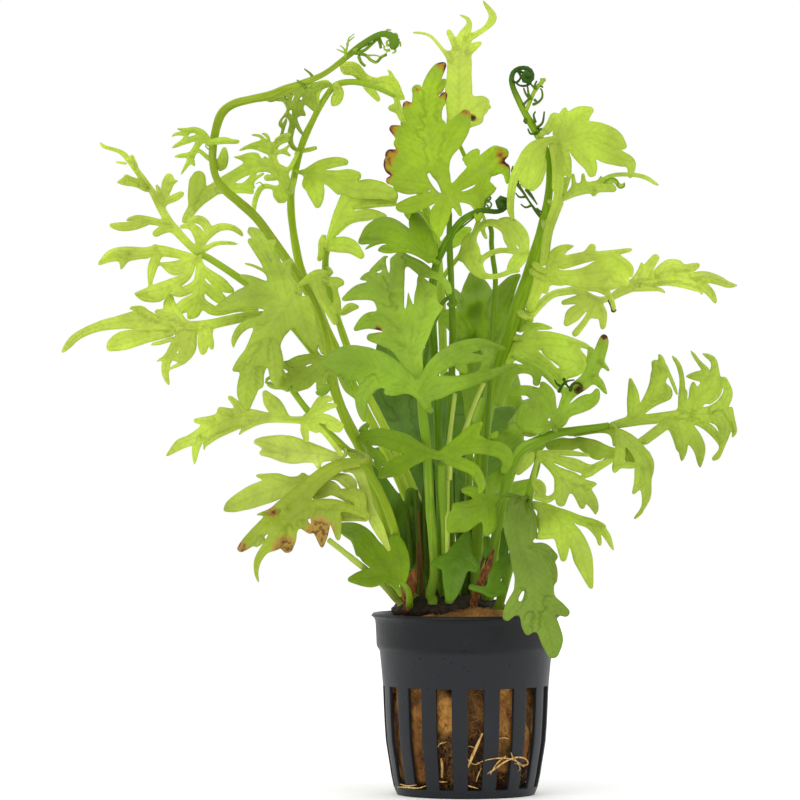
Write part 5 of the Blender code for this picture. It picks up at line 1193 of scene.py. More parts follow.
        (240, 1820, 8, 248, 1780, 7, 250, 1740, 6, 248, 1690, 5),
        (220, 1850, 10, 240, 1875, 12, 250, 1900, 12),
        (220, 1775, 4, 215, 1750, 9, 200, 1715, 12, 185, 1695, 8),
    ]),
    LeafForm("curled_right_leaf", (27, 167, -6), (0.45, 0.15), 0.002, 0.06, Tone.SPRING, [
        (259, 1660, 6, 285, 1673, 8, 310, 1690, 16, 350, 1698, 15, 390, 1701, 16, 418, 1692, 7),
        (393, 1710, 5, 413, 1719, 4, 425, 1709, 4, 429, 1699, 4, 444, 1706, 4),
        (368, 1710, 4, 405, 1730, 4, 450, 1734, 4, 500, 1727, 4, 542, 1701, 2),
        (304, 1695, 4, 300, 1734, 3),
    ], fine=[
        (360, 1688, 6, 359, 1676, 4),
        (330, 1710, 5, 328, 1735, 3),
        (376, 1710, 2, 377, 1730, 1),
        (273, 1678, 5, 280, 1715, 9, 288, 1723, 5),
    ]),
    LeafForm("right_upper_leaf", (23, 146, -7.5), (-0.45, 0), 0.002, 0.08, Tone.LIME, [
        (226, 1462, 11, 270, 1452, 13, 330, 1454, 18, 380, 1461, 35, 425, 1458, 32, 452, 1426, 4),
        (236, 1480, 10, 280, 1497, 9, 330, 1506, 10, 380, 1510, 9, 465, 1524, 4),
        (343, 1510, 12, 354, 1532, 9),
        (238, 1465, 14, 252, 1505, 18, 273, 1526, 11, 302, 1534, 2),
        (240, 1449, 10, 280, 1436, 9, 330, 1426, 10, 370, 1415, 9, 400, 1398, 6, 413, 1368, 4,
         415, 1352, 4),
        (400, 1440, 16, 375, 1418, 10),
    ], fine=[
        (265, 1475, 7, 300, 1487, 9, 340, 1497, 8, 380, 1503, 6, 410, 1505, 8, 440, 1490, 9, 460, 1470, 8,
         463, 1450, 4),
        (388, 1415, 5, 410, 1422, 9, 433, 1428, 5),
        (215, 1445, 15, 240, 1435, 8, 270, 1427, 4),
        (225, 1435, 9, 223, 1405, 6),
        (210, 1450, 18, 202, 1420, 16, 178, 1355, 10),
    ]),
    LeafForm("far_right_leaf", (19, 133.6, -4.8), (0.25, 0.4), 0.002, 0.1, Tone.LIME, [
        (186, 1336, 4, 210, 1372, 8, 245, 1399, 8, 290, 1407, 7, 330, 1402, 6, 370, 1383, 7, 405, 1389, 7,
         440, 1410, 12, 480, 1428, 16, 530, 1442, 20, 580, 1450, 24, 620, 1443, 18, 660, 1425, 12,
         687, 1400, 9, 701, 1372, 2),
        (500, 1440, 12, 513, 1475, 13, 532, 1502, 9),
        (540, 1455, 15, 570, 1478, 16, 600, 1480, 12),
        (595, 1465, 12, 630, 1472, 11, 653, 1481, 5),
        (620, 1442, 12, 663, 1448, 13, 705, 1438, 11, 735, 1425, 7, 763, 1423, 1),
        (470, 1430, 10, 490, 1460, 9, 492, 1488, 2),
        (365, 1380, 7, 330, 1386, 12, 272, 1375, 5),
        (363, 1378, 8, 330, 1362, 13, 300, 1340, 19, 280, 1313, 6),
        (368, 1376, 8, 382, 1343, 11, 384, 1306, 6),
        (362, 1372, 6, 335, 1324, 7, 309, 1289, 7),
    ], fine=[
        (490, 1426, 8, 520, 1415, 4, 545, 1412, 3, 560, 1400, 1),
        (655, 1420, 3, 662, 1397, 1),
        (178, 1328, 5, 210, 1372, 9, 245, 1399, 9, 290, 1408, 9, 330, 1418, 9, 370, 1416, 9),
        (465, 1412, 4, 540, 1412, 3),
        (530, 1425, 3, 570, 1428, 4, 610, 1423, 6, 650, 1412, 5),
        (348, 1348, 8, 358, 1343, 10, 366, 1335, 5),
        (303, 1285, 8, 345, 1340, 4),
    ]),
    LeafForm("cluster_leaf", (30, 126, -8), (-0.4, 0.25), 0, 0.08, Tone.SPRING, [
        (158, 1275, 12, 200, 1274, 19, 250, 1275, 16, 325, 1258, 7, 350, 1246, 4),
        (170, 1285, 10, 195, 1308, 10, 242, 1304, 2),
        (298, 1265, 9, 312, 1236, 11, 330, 1208, 13, 320, 1184, 6),
        (324, 1207, 18, 285, 1214, 26, 245, 1228, 16, 215, 1240, 4),
        (315, 1205, 18, 290, 1190, 14, 262, 1182, 6),
    ], fine=[
        (185, 1335, 8, 168, 1320, 13, 150, 1300, 9),
        (133, 1265, 7, 133, 1245, 19, 126, 1220, 14, 115, 1204, 5),
        (130, 1256, 12, 170, 1250, 16, 210, 1253, 8, 293, 1250, 5),
        (145, 1245, 12, 180, 1230, 16, 210, 1215, 14, 255, 1175, 10, 260, 1158, 8),
        (258, 1170, 8, 300, 1178, 10, 330, 1186, 4),
        (270, 1165, 9, 275, 1150, 8),
    ]),
    LeafForm("dark_tipped_leaf", (30, 113, -17), (-0.45, 0.15), 0, 0.06, Tone.GREEN, [
        (246, 1038, 8, 268, 1070, 10, 282, 1108, 12, 306, 1134, 16, 338, 1158, 18, 360, 1195, 18,
         377, 1235, 16, 386, 1268, 13, 388, 1283, 6),
        (373, 1213, 5, 390, 1197, 4, 403, 1180, 2),
        (350, 1165, 10, 373, 1152, 10, 396, 1116, 1),
        (268, 1058, 8, 330, 1093, 21, 360, 1108, 14, 368, 1134, 4),
        (253, 1042, 7, 240, 1080, 14, 230, 1120, 16, 213, 1152, 5),
        (295, 1120, 9, 260, 1138, 8, 220, 1180, 8, 170, 1208, 7, 126, 1226, 4),
    ], fine=[
        (234, 1100, 6, 205, 1125, 8, 160, 1130, 13, 120, 1123, 8),
        (246, 1036, 5, 210, 1025, 20, 180, 1030, 15, 155, 1036, 13, 166, 1085, 13),
        (90, 1085, 12, 108, 1145, 17, 120, 1175, 18, 145, 1190, 12, 180, 1186, 9, 200, 1173, 10,
         197, 1150, 9),
        (175, 1115, 6, 195, 1112, 8, 210, 1090, 16, 212, 1068, 23, 205, 1050, 18),
        (190, 1075, 16, 180, 1055, 10),
        (285, 1060, 5, 270, 1045, 12, 258, 1030, 9),
        (348, 1250, 6, 350, 1233, 7, 342, 1210, 4),
    ], marks=(388, 1283, 18, 242, 1304, 16, 320, 1130, 20)),
    LeafForm("big_right_leaf", (42, 103.3, -17.5), (-0.45, 0.35), 0.002, 0.1, Tone.MID, [
        (408, 1030, 10, 450, 1042, 11, 500, 1049, 11, 600, 1060, 14, 650, 1063, 16, 700, 1060, 24,
         725, 1035, 20, 717, 970, 5, 704, 946, 7, 693, 937, 4),
        (468, 1050, 12, 469, 1090, 16, 468, 1125, 13, 460, 1165, 2),
        (487, 1058, 8, 498, 1085, 10, 518, 1115, 14, 536, 1150, 19, 543, 1185, 22, 526, 1210, 6),
        (548, 1190, 10, 549, 1213, 7, 541, 1232, 2),
        (515, 1103, 9, 545, 1116, 12, 563, 1123, 9),
        (605, 1065, 10, 603, 1110, 7, 606, 1155, 6, 596, 1200, 5, 576, 1229, 2),
        (628, 1065, 20, 648, 1105, 22, 680, 1133, 26, 693, 1163, 20, 698, 1195, 9, 690, 1218, 7,
         660, 1233, 2),
        (638, 1105, 12, 637, 1135, 8, 638, 1155, 2),
        (680, 1167, 13, 650, 1170, 12, 617, 1168, 2),
        (675, 1183, 8, 655, 1205, 5, 630, 1240, 2),
        (685, 1065, 18, 718, 1090, 17, 734, 1125, 12, 724, 1163, 5),
        (732, 1080, 14, 743, 1045, 10, 753, 1015, 5, 744, 995, 2),
        (590, 1050, 12, 600, 1010, 17, 608, 970, 12, 605, 932, 2),
        (610, 1040, 14, 636, 1000, 20, 653, 965, 16, 656, 914, 2),
        (570, 1048, 8, 485, 983, 8, 430, 952, 8, 385, 926, 7),
        (435, 955, 9, 400, 958, 14, 360, 972, 18, 315, 993, 6),
    ], fine=[
        (558, 1200, 4, 582, 1145, 3, 593, 1113, 2),
        (445, 970, 10, 460, 940, 14, 467, 920, 8),
        (330, 986, 10, 293, 979, 16, 270, 975, 22, 230, 975, 10),
        (160, 1010, 6, 180, 1008, 8, 198, 1007, 3),
        (320, 970, 4, 360, 948, 9, 380, 944, 8),
        (300, 1004, 4, 370, 1015, 4, 405, 1018, 10, 415, 1000, 5, 416, 975, 3),
        (425, 1029, 4, 500, 1040, 5, 540, 1041, 3),
        (500, 980, 5, 550, 1020, 7, 570, 1035, 8, 585, 995, 4, 595, 960, 3),
        (499, 1070, 4, 525, 1092, 7, 550, 1104, 7, 568, 1115, 10, 565, 1135, 9, 553, 1145, 5),
        (610, 1044, 3, 650, 1040, 7, 680, 1025, 10, 700, 1003, 9, 710, 980, 3),
        (715, 1163, 5, 714, 1138, 5, 703, 1113, 5, 680, 1095, 4),
        (616, 1130, 3, 613, 1093, 5),
    ]),
    LeafForm("drooping_leaf", (42.5, 101.5, -19.8), (-0.25, 0.6), 0.003, 0.08, Tone.MID, [
        (421, 1020, 7, 430, 985, 12, 430, 945, 14, 420, 913, 10, 414, 900, 2),
        (428, 1015, 8, 460, 988, 16, 488, 953, 20, 500, 910, 20, 503, 870, 16, 506, 835, 12, 496, 800, 4,
         470, 770, 1),
        (490, 910, 15, 487, 875, 13, 467, 838, 2),
        (500, 955, 12, 518, 925, 8, 521, 890, 2),
    ], fine=[
        (435, 918, 4, 455, 920, 8, 475, 918, 5),
        (493, 790, 3, 472, 770, 2),
    ]),
    LeafForm("fingered_leaf", (20.5, 94.8, -20.5), (-0.35, 0.55), 0.003, 0.08, Tone.MID, [
        (200, 953, 6, 240, 956, 6, 300, 953, 6, 350, 947, 2),
        (205, 949, 7, 250, 938, 10, 300, 924, 16, 335, 913, 12, 360, 915, 2),
        (206, 946, 8, 245, 910, 11, 275, 883, 23, 305, 870, 26, 333, 865, 15, 363, 868, 4),
        (270, 880, 20, 270, 845, 19, 266, 815, 12),
        (305, 865, 15, 320, 830, 13, 327, 800, 6),
        (325, 860, 15, 350, 825, 16, 362, 798, 9, 363, 783, 2),
    ], fine=[
        (202, 940, 4, 190, 880, 5, 208, 850, 14, 209, 832, 6),
        (193, 955, 4, 175, 935, 14, 145, 900, 8),
        (202, 878, 4, 216, 863, 6, 220, 845, 4),
        (193, 835, 9, 210, 828, 8, 225, 833, 4),
        (215, 820, 5, 235, 825, 7, 250, 838, 4),
        (325, 890, 5, 345, 898, 9, 365, 913, 10, 390, 926, 8, 410, 933, 3),
    ]),
    LeafForm("pointed_leaf", (20, 81, -19.5), (-0.35, 0.55), 0, 0.08, Tone.SPRING, [
        (187, 812, 9, 240, 790, 16, 270, 758, 20, 300, 725, 23, 320, 690, 25, 330, 650, 26, 352, 575, 4),
        (265, 760, 18, 268, 720, 19, 272, 685, 15, 273, 653, 6),
        (220, 795, 15, 215, 760, 16, 218, 726, 7),
        (240, 796, 9, 280, 785, 9, 320, 766, 12, 360, 756, 12, 393, 750, 2),
        (365, 753, 8, 393, 725, 9, 415, 678, 1),
        (345, 754, 8, 370, 723, 7, 375, 698, 4),
    ], fine=[
        (195, 720, 6, 220, 723, 9, 243, 725, 8),
        (235, 768, 4, 236, 750, 8, 238, 730, 8),
    ]),
    LeafForm("pot_rim_leaf", (14, 80, -21), (-0.08, 0.5), 0, 0.05, Tone.DULL, [
        (156, 820, 9, 140, 760, 32, 150, 700, 33, 170, 650, 43, 188, 600, 52, 192, 550, 55, 195, 505, 46,
         195, 480, 30),
        (160, 560, 25, 130, 520, 20, 112, 492, 10),
        (185, 500, 30, 176, 470, 20, 173, 452, 8),
        (213, 500, 30, 229, 465, 30, 241, 425, 30, 244, 390, 14),
        (225, 540, 25, 257, 521, 19, 281, 507, 11),
    ], fine=[
        (155, 770, 15, 175, 760, 15, 177, 720, 15),
        (185, 690, 8, 215, 686, 15, 248, 663, 10),
        (143, 828, 4, 130, 820, 9, 115, 790, 3),
        (183, 800, 4, 189, 775, 9, 194, 750, 5, 193, 720, 5),
        (225, 660, 4, 240, 645, 9, 248, 620, 8, 250, 590, 4),
    ], slits=[
        (150, 538, 7, 164, 572, 4),
    ]),
    LeafForm("back_tall_leaf", (-7, 140, 38), (0.3, 0.2), -0.0012, 0.1, Tone.SUNLIT, [
        (-40, 660, 9, -50, 900, 9, -60, 1150, 9, -70, 1400, 10, -88, 1570, 10, -130, 1690, 10,
         -136, 1755, 30, -110, 1860, 36, -95, 1940, 10),
        (-130, 1690, 12, -155, 1730, 22, -180, 1765, 8),
        (-110, 1800, 14, -60, 1840, 24, -25, 1870, 8),
        (-88, 1570, 10, -125, 1605, 24, -168, 1628, 7),
        (-75, 1520, 10, -25, 1560, 22, 10, 1580, 7),
    ]),
    LeafForm("back_left_leaf", (-16, 90, 28), (-0.25, 0.45), 0, 0.1, Tone.SHADE, [
        (-95, 680, 10, -120, 780, 16, -150, 880, 34, -170, 980, 44, -195, 1100, 46, -220, 1200, 36,
         -235, 1280, 10),
        (-155, 900, 20, -210, 940, 34, -265, 955, 10),
        (-180, 1040, 20, -240, 1090, 26, -270, 1120, 8),
        (-180, 1130, 20, -130, 1190, 32, -90, 1250, 12),
        (-130, 780, 14, -190, 810, 30, -250, 830, 9),
    ], fine=[
        (-250, 1135, 12, -245, 1110, 15, -223, 1068, 10),
        (-153, 1120, 7, -146, 1095, 12, -144, 1060, 12, -131, 990, 6, -128, 930, 5, -116, 830, 3),
        (-99, 1065, 6, -93, 995, 8, -89, 968, 4, -92, 935, 4, -89, 880, 4, -85, 800, 3),
    ]),
    LeafForm("back_centre_leaf", (-2.5, 95, 22), (0.35, 0.22), 0, 0.08, Tone.SHADE, [
        (-15, 680, 10, -20, 800, 16, -40, 920, 44, -55, 1020, 60, -52, 1100, 54, -45, 1170, 16),
        (-20, 960, 26, 40, 1010, 32, 90, 1050, 28, 130, 1075, 10),
        (-20, 890, 18, 50, 920, 30, 105, 945, 12),
        (-40, 1060, 20, 20, 1110, 26, 60, 1160, 10),
    ]),
    LeafForm("back_right_leaf", (8, 90, 26), (0.35, 0.35), 0, 0.1, Tone.DARK, [
        (30, 680, 10, 60, 790, 18, 90, 890, 40, 115, 990, 46, 120, 1090, 40, 115, 1170, 30, 120, 1210, 10),
        (100, 910, 22, 160, 950, 32, 220, 985, 10),
        (110, 1030, 20, 170, 1070, 30, 220, 1105, 10),
        (75, 820, 16, 140, 845, 28, 195, 875, 9),
    ]),
    LeafForm("dark_upper_leaf", (3, 128, 9), (-0.4, 0.15), 0.002, 0.08, Tone.DARK, [
        (5, 660, 8, 8, 850, 8, 12, 1050, 12, 16, 1160, 32, 26, 1250, 58, 36, 1350, 62, 26, 1420, 36,
         20, 1455, 10),
        (60, 1340, 30, 100, 1390, 26, 130, 1435, 14, 150, 1452, 4),
        (0, 1290, 30, -40, 1330, 26, -70, 1342, 10),
        (50, 1240, 25, 90, 1275, 24, 115, 1310, 8),
    ], fine=[
        (148, 1452, 4, 130, 1410, 8, 110, 1365, 16, 93, 1320, 18, 78, 1283, 15),
        (-32, 1410, 5, -20, 1388, 9, -17, 1368, 9),
        (-63, 1450, 5, -52, 1395, 3),
        (-25, 1290, 5, -18, 1280, 9, -10, 1270, 5),
    ]),
    LeafForm("back_low_leaf", (-15, 68, 6), (0.1, 0.1), 0, 0.08, Tone.SHADE, [
        (-115, 600, 14, -150, 670, 30, -200, 760, 44, -240, 840, 40, -270, 910, 14),
        (-160, 690, 20, -145, 770, 30, -155, 850, 12),
    ], fine=[
        (-140, 632, 3, -128, 605, 6, -116, 575, 5),
    ]),
]

# Hair-thin side shoots, coiled tips and stems behind the leaves
THREADS = [
    ThreadForm("tall_crozier_axis", Stem.GREEN, -4.6, 0.55, 0.6, [
        (169, 1912, 187, 1956, 196, 1972, 216, 1997),
        (206, 1984, 214, 1992, 213, 2000, 222, 1998),
    ]),
    ThreadForm("tall_crozier_pinnae", Stem.PINNA, -4.6, 0.46, 0.24, [
        (183, 1945, 176, 1960, 173, 1980),
        (180, 1945, 168, 1960, 162, 1976),
        (196, 1974, 194, 1985, 199, 1996),
        (194, 1975, 182, 1987),
        (162, 1930, 176, 1946),
        (188, 1930, 202, 1936, 214, 1950, 213, 1970, 208, 1974),
        (192, 1944, 202, 1935),
        (208, 1984, 216, 1978),
        (195, 1880, 190, 1900, 195, 1910),
        (200, 1865, 215, 1880, 220, 1910),
        (205, 1860, 220, 1863, 230, 1876),
        (199, 1852, 182, 1848, 174, 1862),
        (168, 1890, 163, 1884, 170, 1876),
    ]),
    ThreadForm("tall_crozier_lower_pinnae", Stem.PINNA, -4.2, 0.44, 0.2, [
        (220, 1610, 200, 1630, 180, 1655, 165, 1680, 150, 1705, 147, 1715),
        (170, 1695, 185, 1675, 200, 1650),
        (198, 1638, 220, 1623),
        (155, 1705, 170, 1720, 185, 1730),
        (147, 1715, 132, 1736, 129, 1745, 132, 1758),
        (186, 1649, 168, 1642, 154, 1651),
        (169, 1672, 150, 1671, 140, 1682),
        (142, 1708, 160, 1685, 180, 1655, 195, 1630, 208, 1613),
        (168, 1692, 198, 1653),
    ]),
    ThreadForm("tall_crozier_coil_strands", Stem.DARK, -4.4, 0.45, 0.25, [
        (141, 2027, 150, 2018, 154, 2006, 147, 1996, 136, 1990),
        (131, 1996, 142, 1991, 150, 1997),
        (182, 1993, 172, 1984, 158, 1982, 146, 1986, 140, 1993),
        (150, 2026, 160, 2019, 171, 2024, 178, 2018),
        (176, 1990, 186, 1999, 187, 2010),
    ]),
    ThreadForm("dark_crozier_hairs", Stem.PINNA, -15.2, 0.32, 0.2, [
        (50, 1633, 54, 1648, 56, 1663, 69, 1673),
        (56, 1661, 66, 1664, 71, 1671),
        (56, 1640, 66, 1640, 72, 1650, 66, 1658, 57, 1654),
        (61, 1656, 71, 1667),
        (58, 1636, 63, 1644, 58, 1650),
        (96, 1645, 88, 1652, 86, 1656),
        (-28, 1573, 26, 1616),
    ]),
    ThreadForm("small_crozier", Stem.SHADED, -10, 0.9, 0.6, [
        (-120, 1180, -105, 1260, -88, 1320, -70, 1366, -52, 1387, -32, 1384, -29, 1372, -42, 1366,
         -49, 1374),
    ]),
    ThreadForm("arching_tip_pinnae", Stem.GREEN, -0.4, 0.42, 0.12, [
        (-338, 2062, -335, 2080, -330, 2100, -328, 2115, -312, 2128),
        (-331, 2096, -330, 2105, -312, 2120),
        (-337, 2066, -340, 2075, -362, 2085),
        (-336, 2074, -340, 2085, -352, 2096),
        (-314, 2078, -310, 2083, -280, 2095, -260, 2106, -250, 2110),
        (-316, 2075, -310, 2073, -280, 2068, -255, 2068, -235, 2065, -218, 2080),
        (-275, 2068, -270, 2060, -260, 2050, -245, 2047),
        (-310, 2080, -300, 2070, -295, 2050, -285, 2037),
        (-246, 2122, -240, 2115, -233, 2100, -225, 2090),
        (-260, 2118, -250, 2125, -225, 2135),
    ]),
    ThreadForm("arching_tip_strands", Stem.SHADED, -0.6, 0.5, 0.42, [
        (-318, 2073, -288, 2080, -270, 2093, -246, 2116),
        (-305, 2074, -280, 2068, -265, 2054, -250, 2049, -236, 2063, -222, 2070),
        (-300, 2065, -293, 2048, -282, 2038),
        (-246, 2116, -240, 2100, -238, 2088),
    ]),
    ThreadForm("arching_spurs", Stem.SHADED, 5.0, 0.62, 0.2, [
        (-428, 1998, -433, 2014, -452, 2030),
        (-448, 1975, -458, 1986, -473, 1999),
    ]),
    ThreadForm("looped_leaf_stalk", Stem.SHADED, -8.0, 1.0, 0.7, [
        (24, 555, 44, 800, 62, 1050, 74, 1300, 83, 1430, 76, 1500, 72, 1540, 72, 1575, 64, 1600),
    ]),
    ThreadForm("arching_tip_coil", Stem.GREEN, -2, 0.5, 0.18, [
        (-209, 2121, -196, 2129, -189, 2119),
        (-197, 2106, -184, 2104, -183, 2092),
        (-204, 2090, -196, 2079, -206, 2074),
        (-218, 2094, -222, 2106, -212, 2110),
        (-226, 2127, -220, 2139, -209, 2138),
        (-213, 2082, -226, 2083, -230, 2092),
    ]),
    ThreadForm("pale_side_stalks", Stem.PALE, -17, 0.75, 0.6, [
        (-50, 620, -52, 800, -50, 950, -45, 1000, -30, 1120),
        (-46, 880, -40, 950, -10, 1000, 20, 1080, 50, 1150),
    ]),
    ThreadForm("left_curled_hairs", Stem.GREEN, 12.5, 0.3, 0.1, [
        (-704, 1760, -690, 1766, -676, 1757),
        (-712, 1800, -728, 1812, -726, 1826),
        (-567, 1702, -576, 1712, -589, 1707),
    ]),
    ThreadForm("dark_tangle", Stem.DARK, -18.6, 0.5, 0.2, [
        (292, 1128, 300, 1147, 316, 1150, 325, 1139, 320, 1126, 308, 1123, 304, 1134),
        (260, 1125, 272, 1146, 287, 1156, 304, 1159),
        (274, 1163, 283, 1144, 296, 1132),
        (268, 1139, 254, 1149, 249, 1160),
    ]),
    # Dark stems behind the front stalks at the crown: partly old stems, partly painted shade that fills the
    # gaps
    ThreadForm("crown_stems", Stem.OLD_SHADE, 5.0, 1.3, 0.7, [
        (-160, 520, -172, 600, -190, 700, -212, 790),
        (-143, 520, -150, 620, -158, 720, -166, 800),
        (-128, 520, -128, 620, -134, 740, -140, 850),
        (-110, 520, -112, 640, -116, 760, -116, 880),
        (-86, 520, -90, 640, -88, 760, -92, 880),
        (-62, 520, -64, 640, -70, 780, -76, 900),
        (-46, 520, -40, 640, -38, 770, -36, 900),
        (-28, 520, -22, 620, -14, 740, -10, 850),
        (-8, 520, 4, 610, 12, 720, 16, 840),
        (8, 520, 26, 600, 40, 690, 52, 780),
        (22, 520, 46, 590, 68, 670, 86, 750),
        (36, 520, 60, 572, 86, 632, 108, 700),
        (-178, 515, -196, 560, -214, 610, -236, 660),
    ]),
    ThreadForm("brown_stems", Stem.DEAD, 2.0, 0.6, 0.3, [
        (-122, 520, -124, 640, -128, 720, -133, 795),
        (-100, 520, -98, 600, -102, 660),
        (-146, 510, -140, 570, -134, 640, -136, 700),
        (10, 530, 24, 590, 44, 640, 66, 690, 78, 740),
        (0, 530, 22, 570, 36, 600, 54, 620),
        (30, 525, 44, 560, 70, 580, 92, 612),
    ]),
    ThreadForm("top_leaf_stalk", Stem.GREEN, 2, 0.85, 0.6, [
        (-60, 555, -68, 700, -73, 880, -80, 1080, -88, 1260, -85, 1380, -60, 1450, -15, 1510, 22, 1570,
         38, 1620, 40, 1670, 28, 1725, 6, 1766, -18, 1818, -38, 1862),
    ]),
    ThreadForm("curled_right_curl", Stem.SHADED, -7.5, 0.3, 0.22, [
        (386, 1710, 400, 1721, 415, 1723, 426, 1714, 426, 1701, 434, 1696, 444, 1701, 443, 1711),
    ]),
    ThreadForm("right_upper_black_tip", Stem.DARK, -6, 0.35, 0.8, [
        (400, 1382, 410, 1366, 415, 1351),
    ]),
]

# Stalks that aren't plain green
STALK_TONES = {
    "arching_stalk": Stem.ARCHING,
    "tall_crozier": Stem.YOUNG,
    "dark_crozier": Stem.DARK,
    "brown_edged_leaf_stalk": Stem.SHADED,
    "low_side_stalk": Stem.PALE,
    "centre_stalk": Stem.DEEP,
    "second_centre_stalk": Stem.DEEP,
    "big_right_stalk": Stem.DEEP,
    "lower_right_stalk": Stem.DEEP,
}


class Palette:
    """Builds each finish's material once and hands it out."""

    def __init__(self) -> None:
        """Start with no materials."""
        self._made: dict[str, bpy.types.Material] = {}

    def material(self, finish: object) -> bpy.types.Material:
        """Give a finish's material.

        Args:
            finish: A finish with a name and a material method.

        Returns:
            The material, the same one each time.
        """
        if finish.name not in self._made:
            self._made[finish.name] = finish.material()
        return self._made[finish.name]


def even_curve(rows: Sequence[Sequence[float]], step: float, dims: int = 2) -> np.ndarray:
    """Smooth curve through rows of numbers, sampled evenly.

    Args:
        rows: Place coordinates first, then any widths that go with them.
        step: Distance between samples.
        dims: How many of the numbers are coordinates.

    Returns:
        The sampled rows.
    """
    points = np.array(rows, float)
    if len(points) == 2:
        points = np.vstack([points[0], points.mean(axis=0), points[1]])
    padded = np.vstack([2 * points[0] - points[1], points, 2 * points[-1] - points[-2]])
    fine = []
    for i in range(1, len(padded) - 2):
        a, b, c, d = padded[i - 1:i + 3]
        for t in np.linspace(0.0, 1.0, CURVE_PARTS, endpoint=False):
            fine.append(0.5 * (2 * b + (c - a) * t + (2 * a - 5 * b + 4 * c - d) * t**2
                               + (3 * b - a - 3 * c + d) * t**3))
    fine.append(points[-1])
    dense = np.array(fine)
    along = np.r_[0.0, np.cumsum(np.linalg.norm(np.diff(dense[:, :dims], axis=0), axis=1))]
    count = max(3, round(along[-1] / step) + 1)
    marks = np.linspace(0.0, along[-1], count)
    return np.column_stack([np.interp(marks, along, column) for column in dense.T])


def turns(points: np.ndarray, loop: np.ndarray) -> np.ndarray:
    """Count how many times a closed loop winds round flat points.

    Args:
        points: The points.
        loop: Corners of the loop.

    Returns:
        The count for each point, negative for a loop that runs clockwise.
    """
    count = np.zeros(len(points), int)
    for (x0, y0), (x1, y1) in zip(loop, np.roll(loop, -1, axis=0)):
        side = (x1 - x0) * (points[:, 1] - y0) - (points[:, 0] - x0) * (y1 - y0)
        count += (y0 <= points[:, 1]) & (points[:, 1] < y1) & (side > 0.0)
        count -= (y1 <= points[:, 1]) & (points[:, 1] < y0) & (side < 0.0)
    return count


def inside(points: np.ndarray, loops: list[np.ndarray]) -> np.ndarray:
    """Tell which flat points lie within edge loops, whose holes run the other way round."""
    return sum(turns(points, loop) for loop in loops) != 0


def declare(piece: bpy.types.Object, slot: str, *nodes: str) -> bpy.types.Object:
    """Hang a piece under the body, hide the frame nodes that it stands for, and report it.

    Args:
        piece: The piece.
        slot: The record's slot that it takes its finish from; not used.
        nodes: Frame nodes that the piece stands for.

    Returns:
        The piece.
    """
    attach(piece, BODY)
    if nodes:
        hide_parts(*nodes)
    log.info("%s: %d faces", piece.name, len(piece.data.polygons))
    return piece


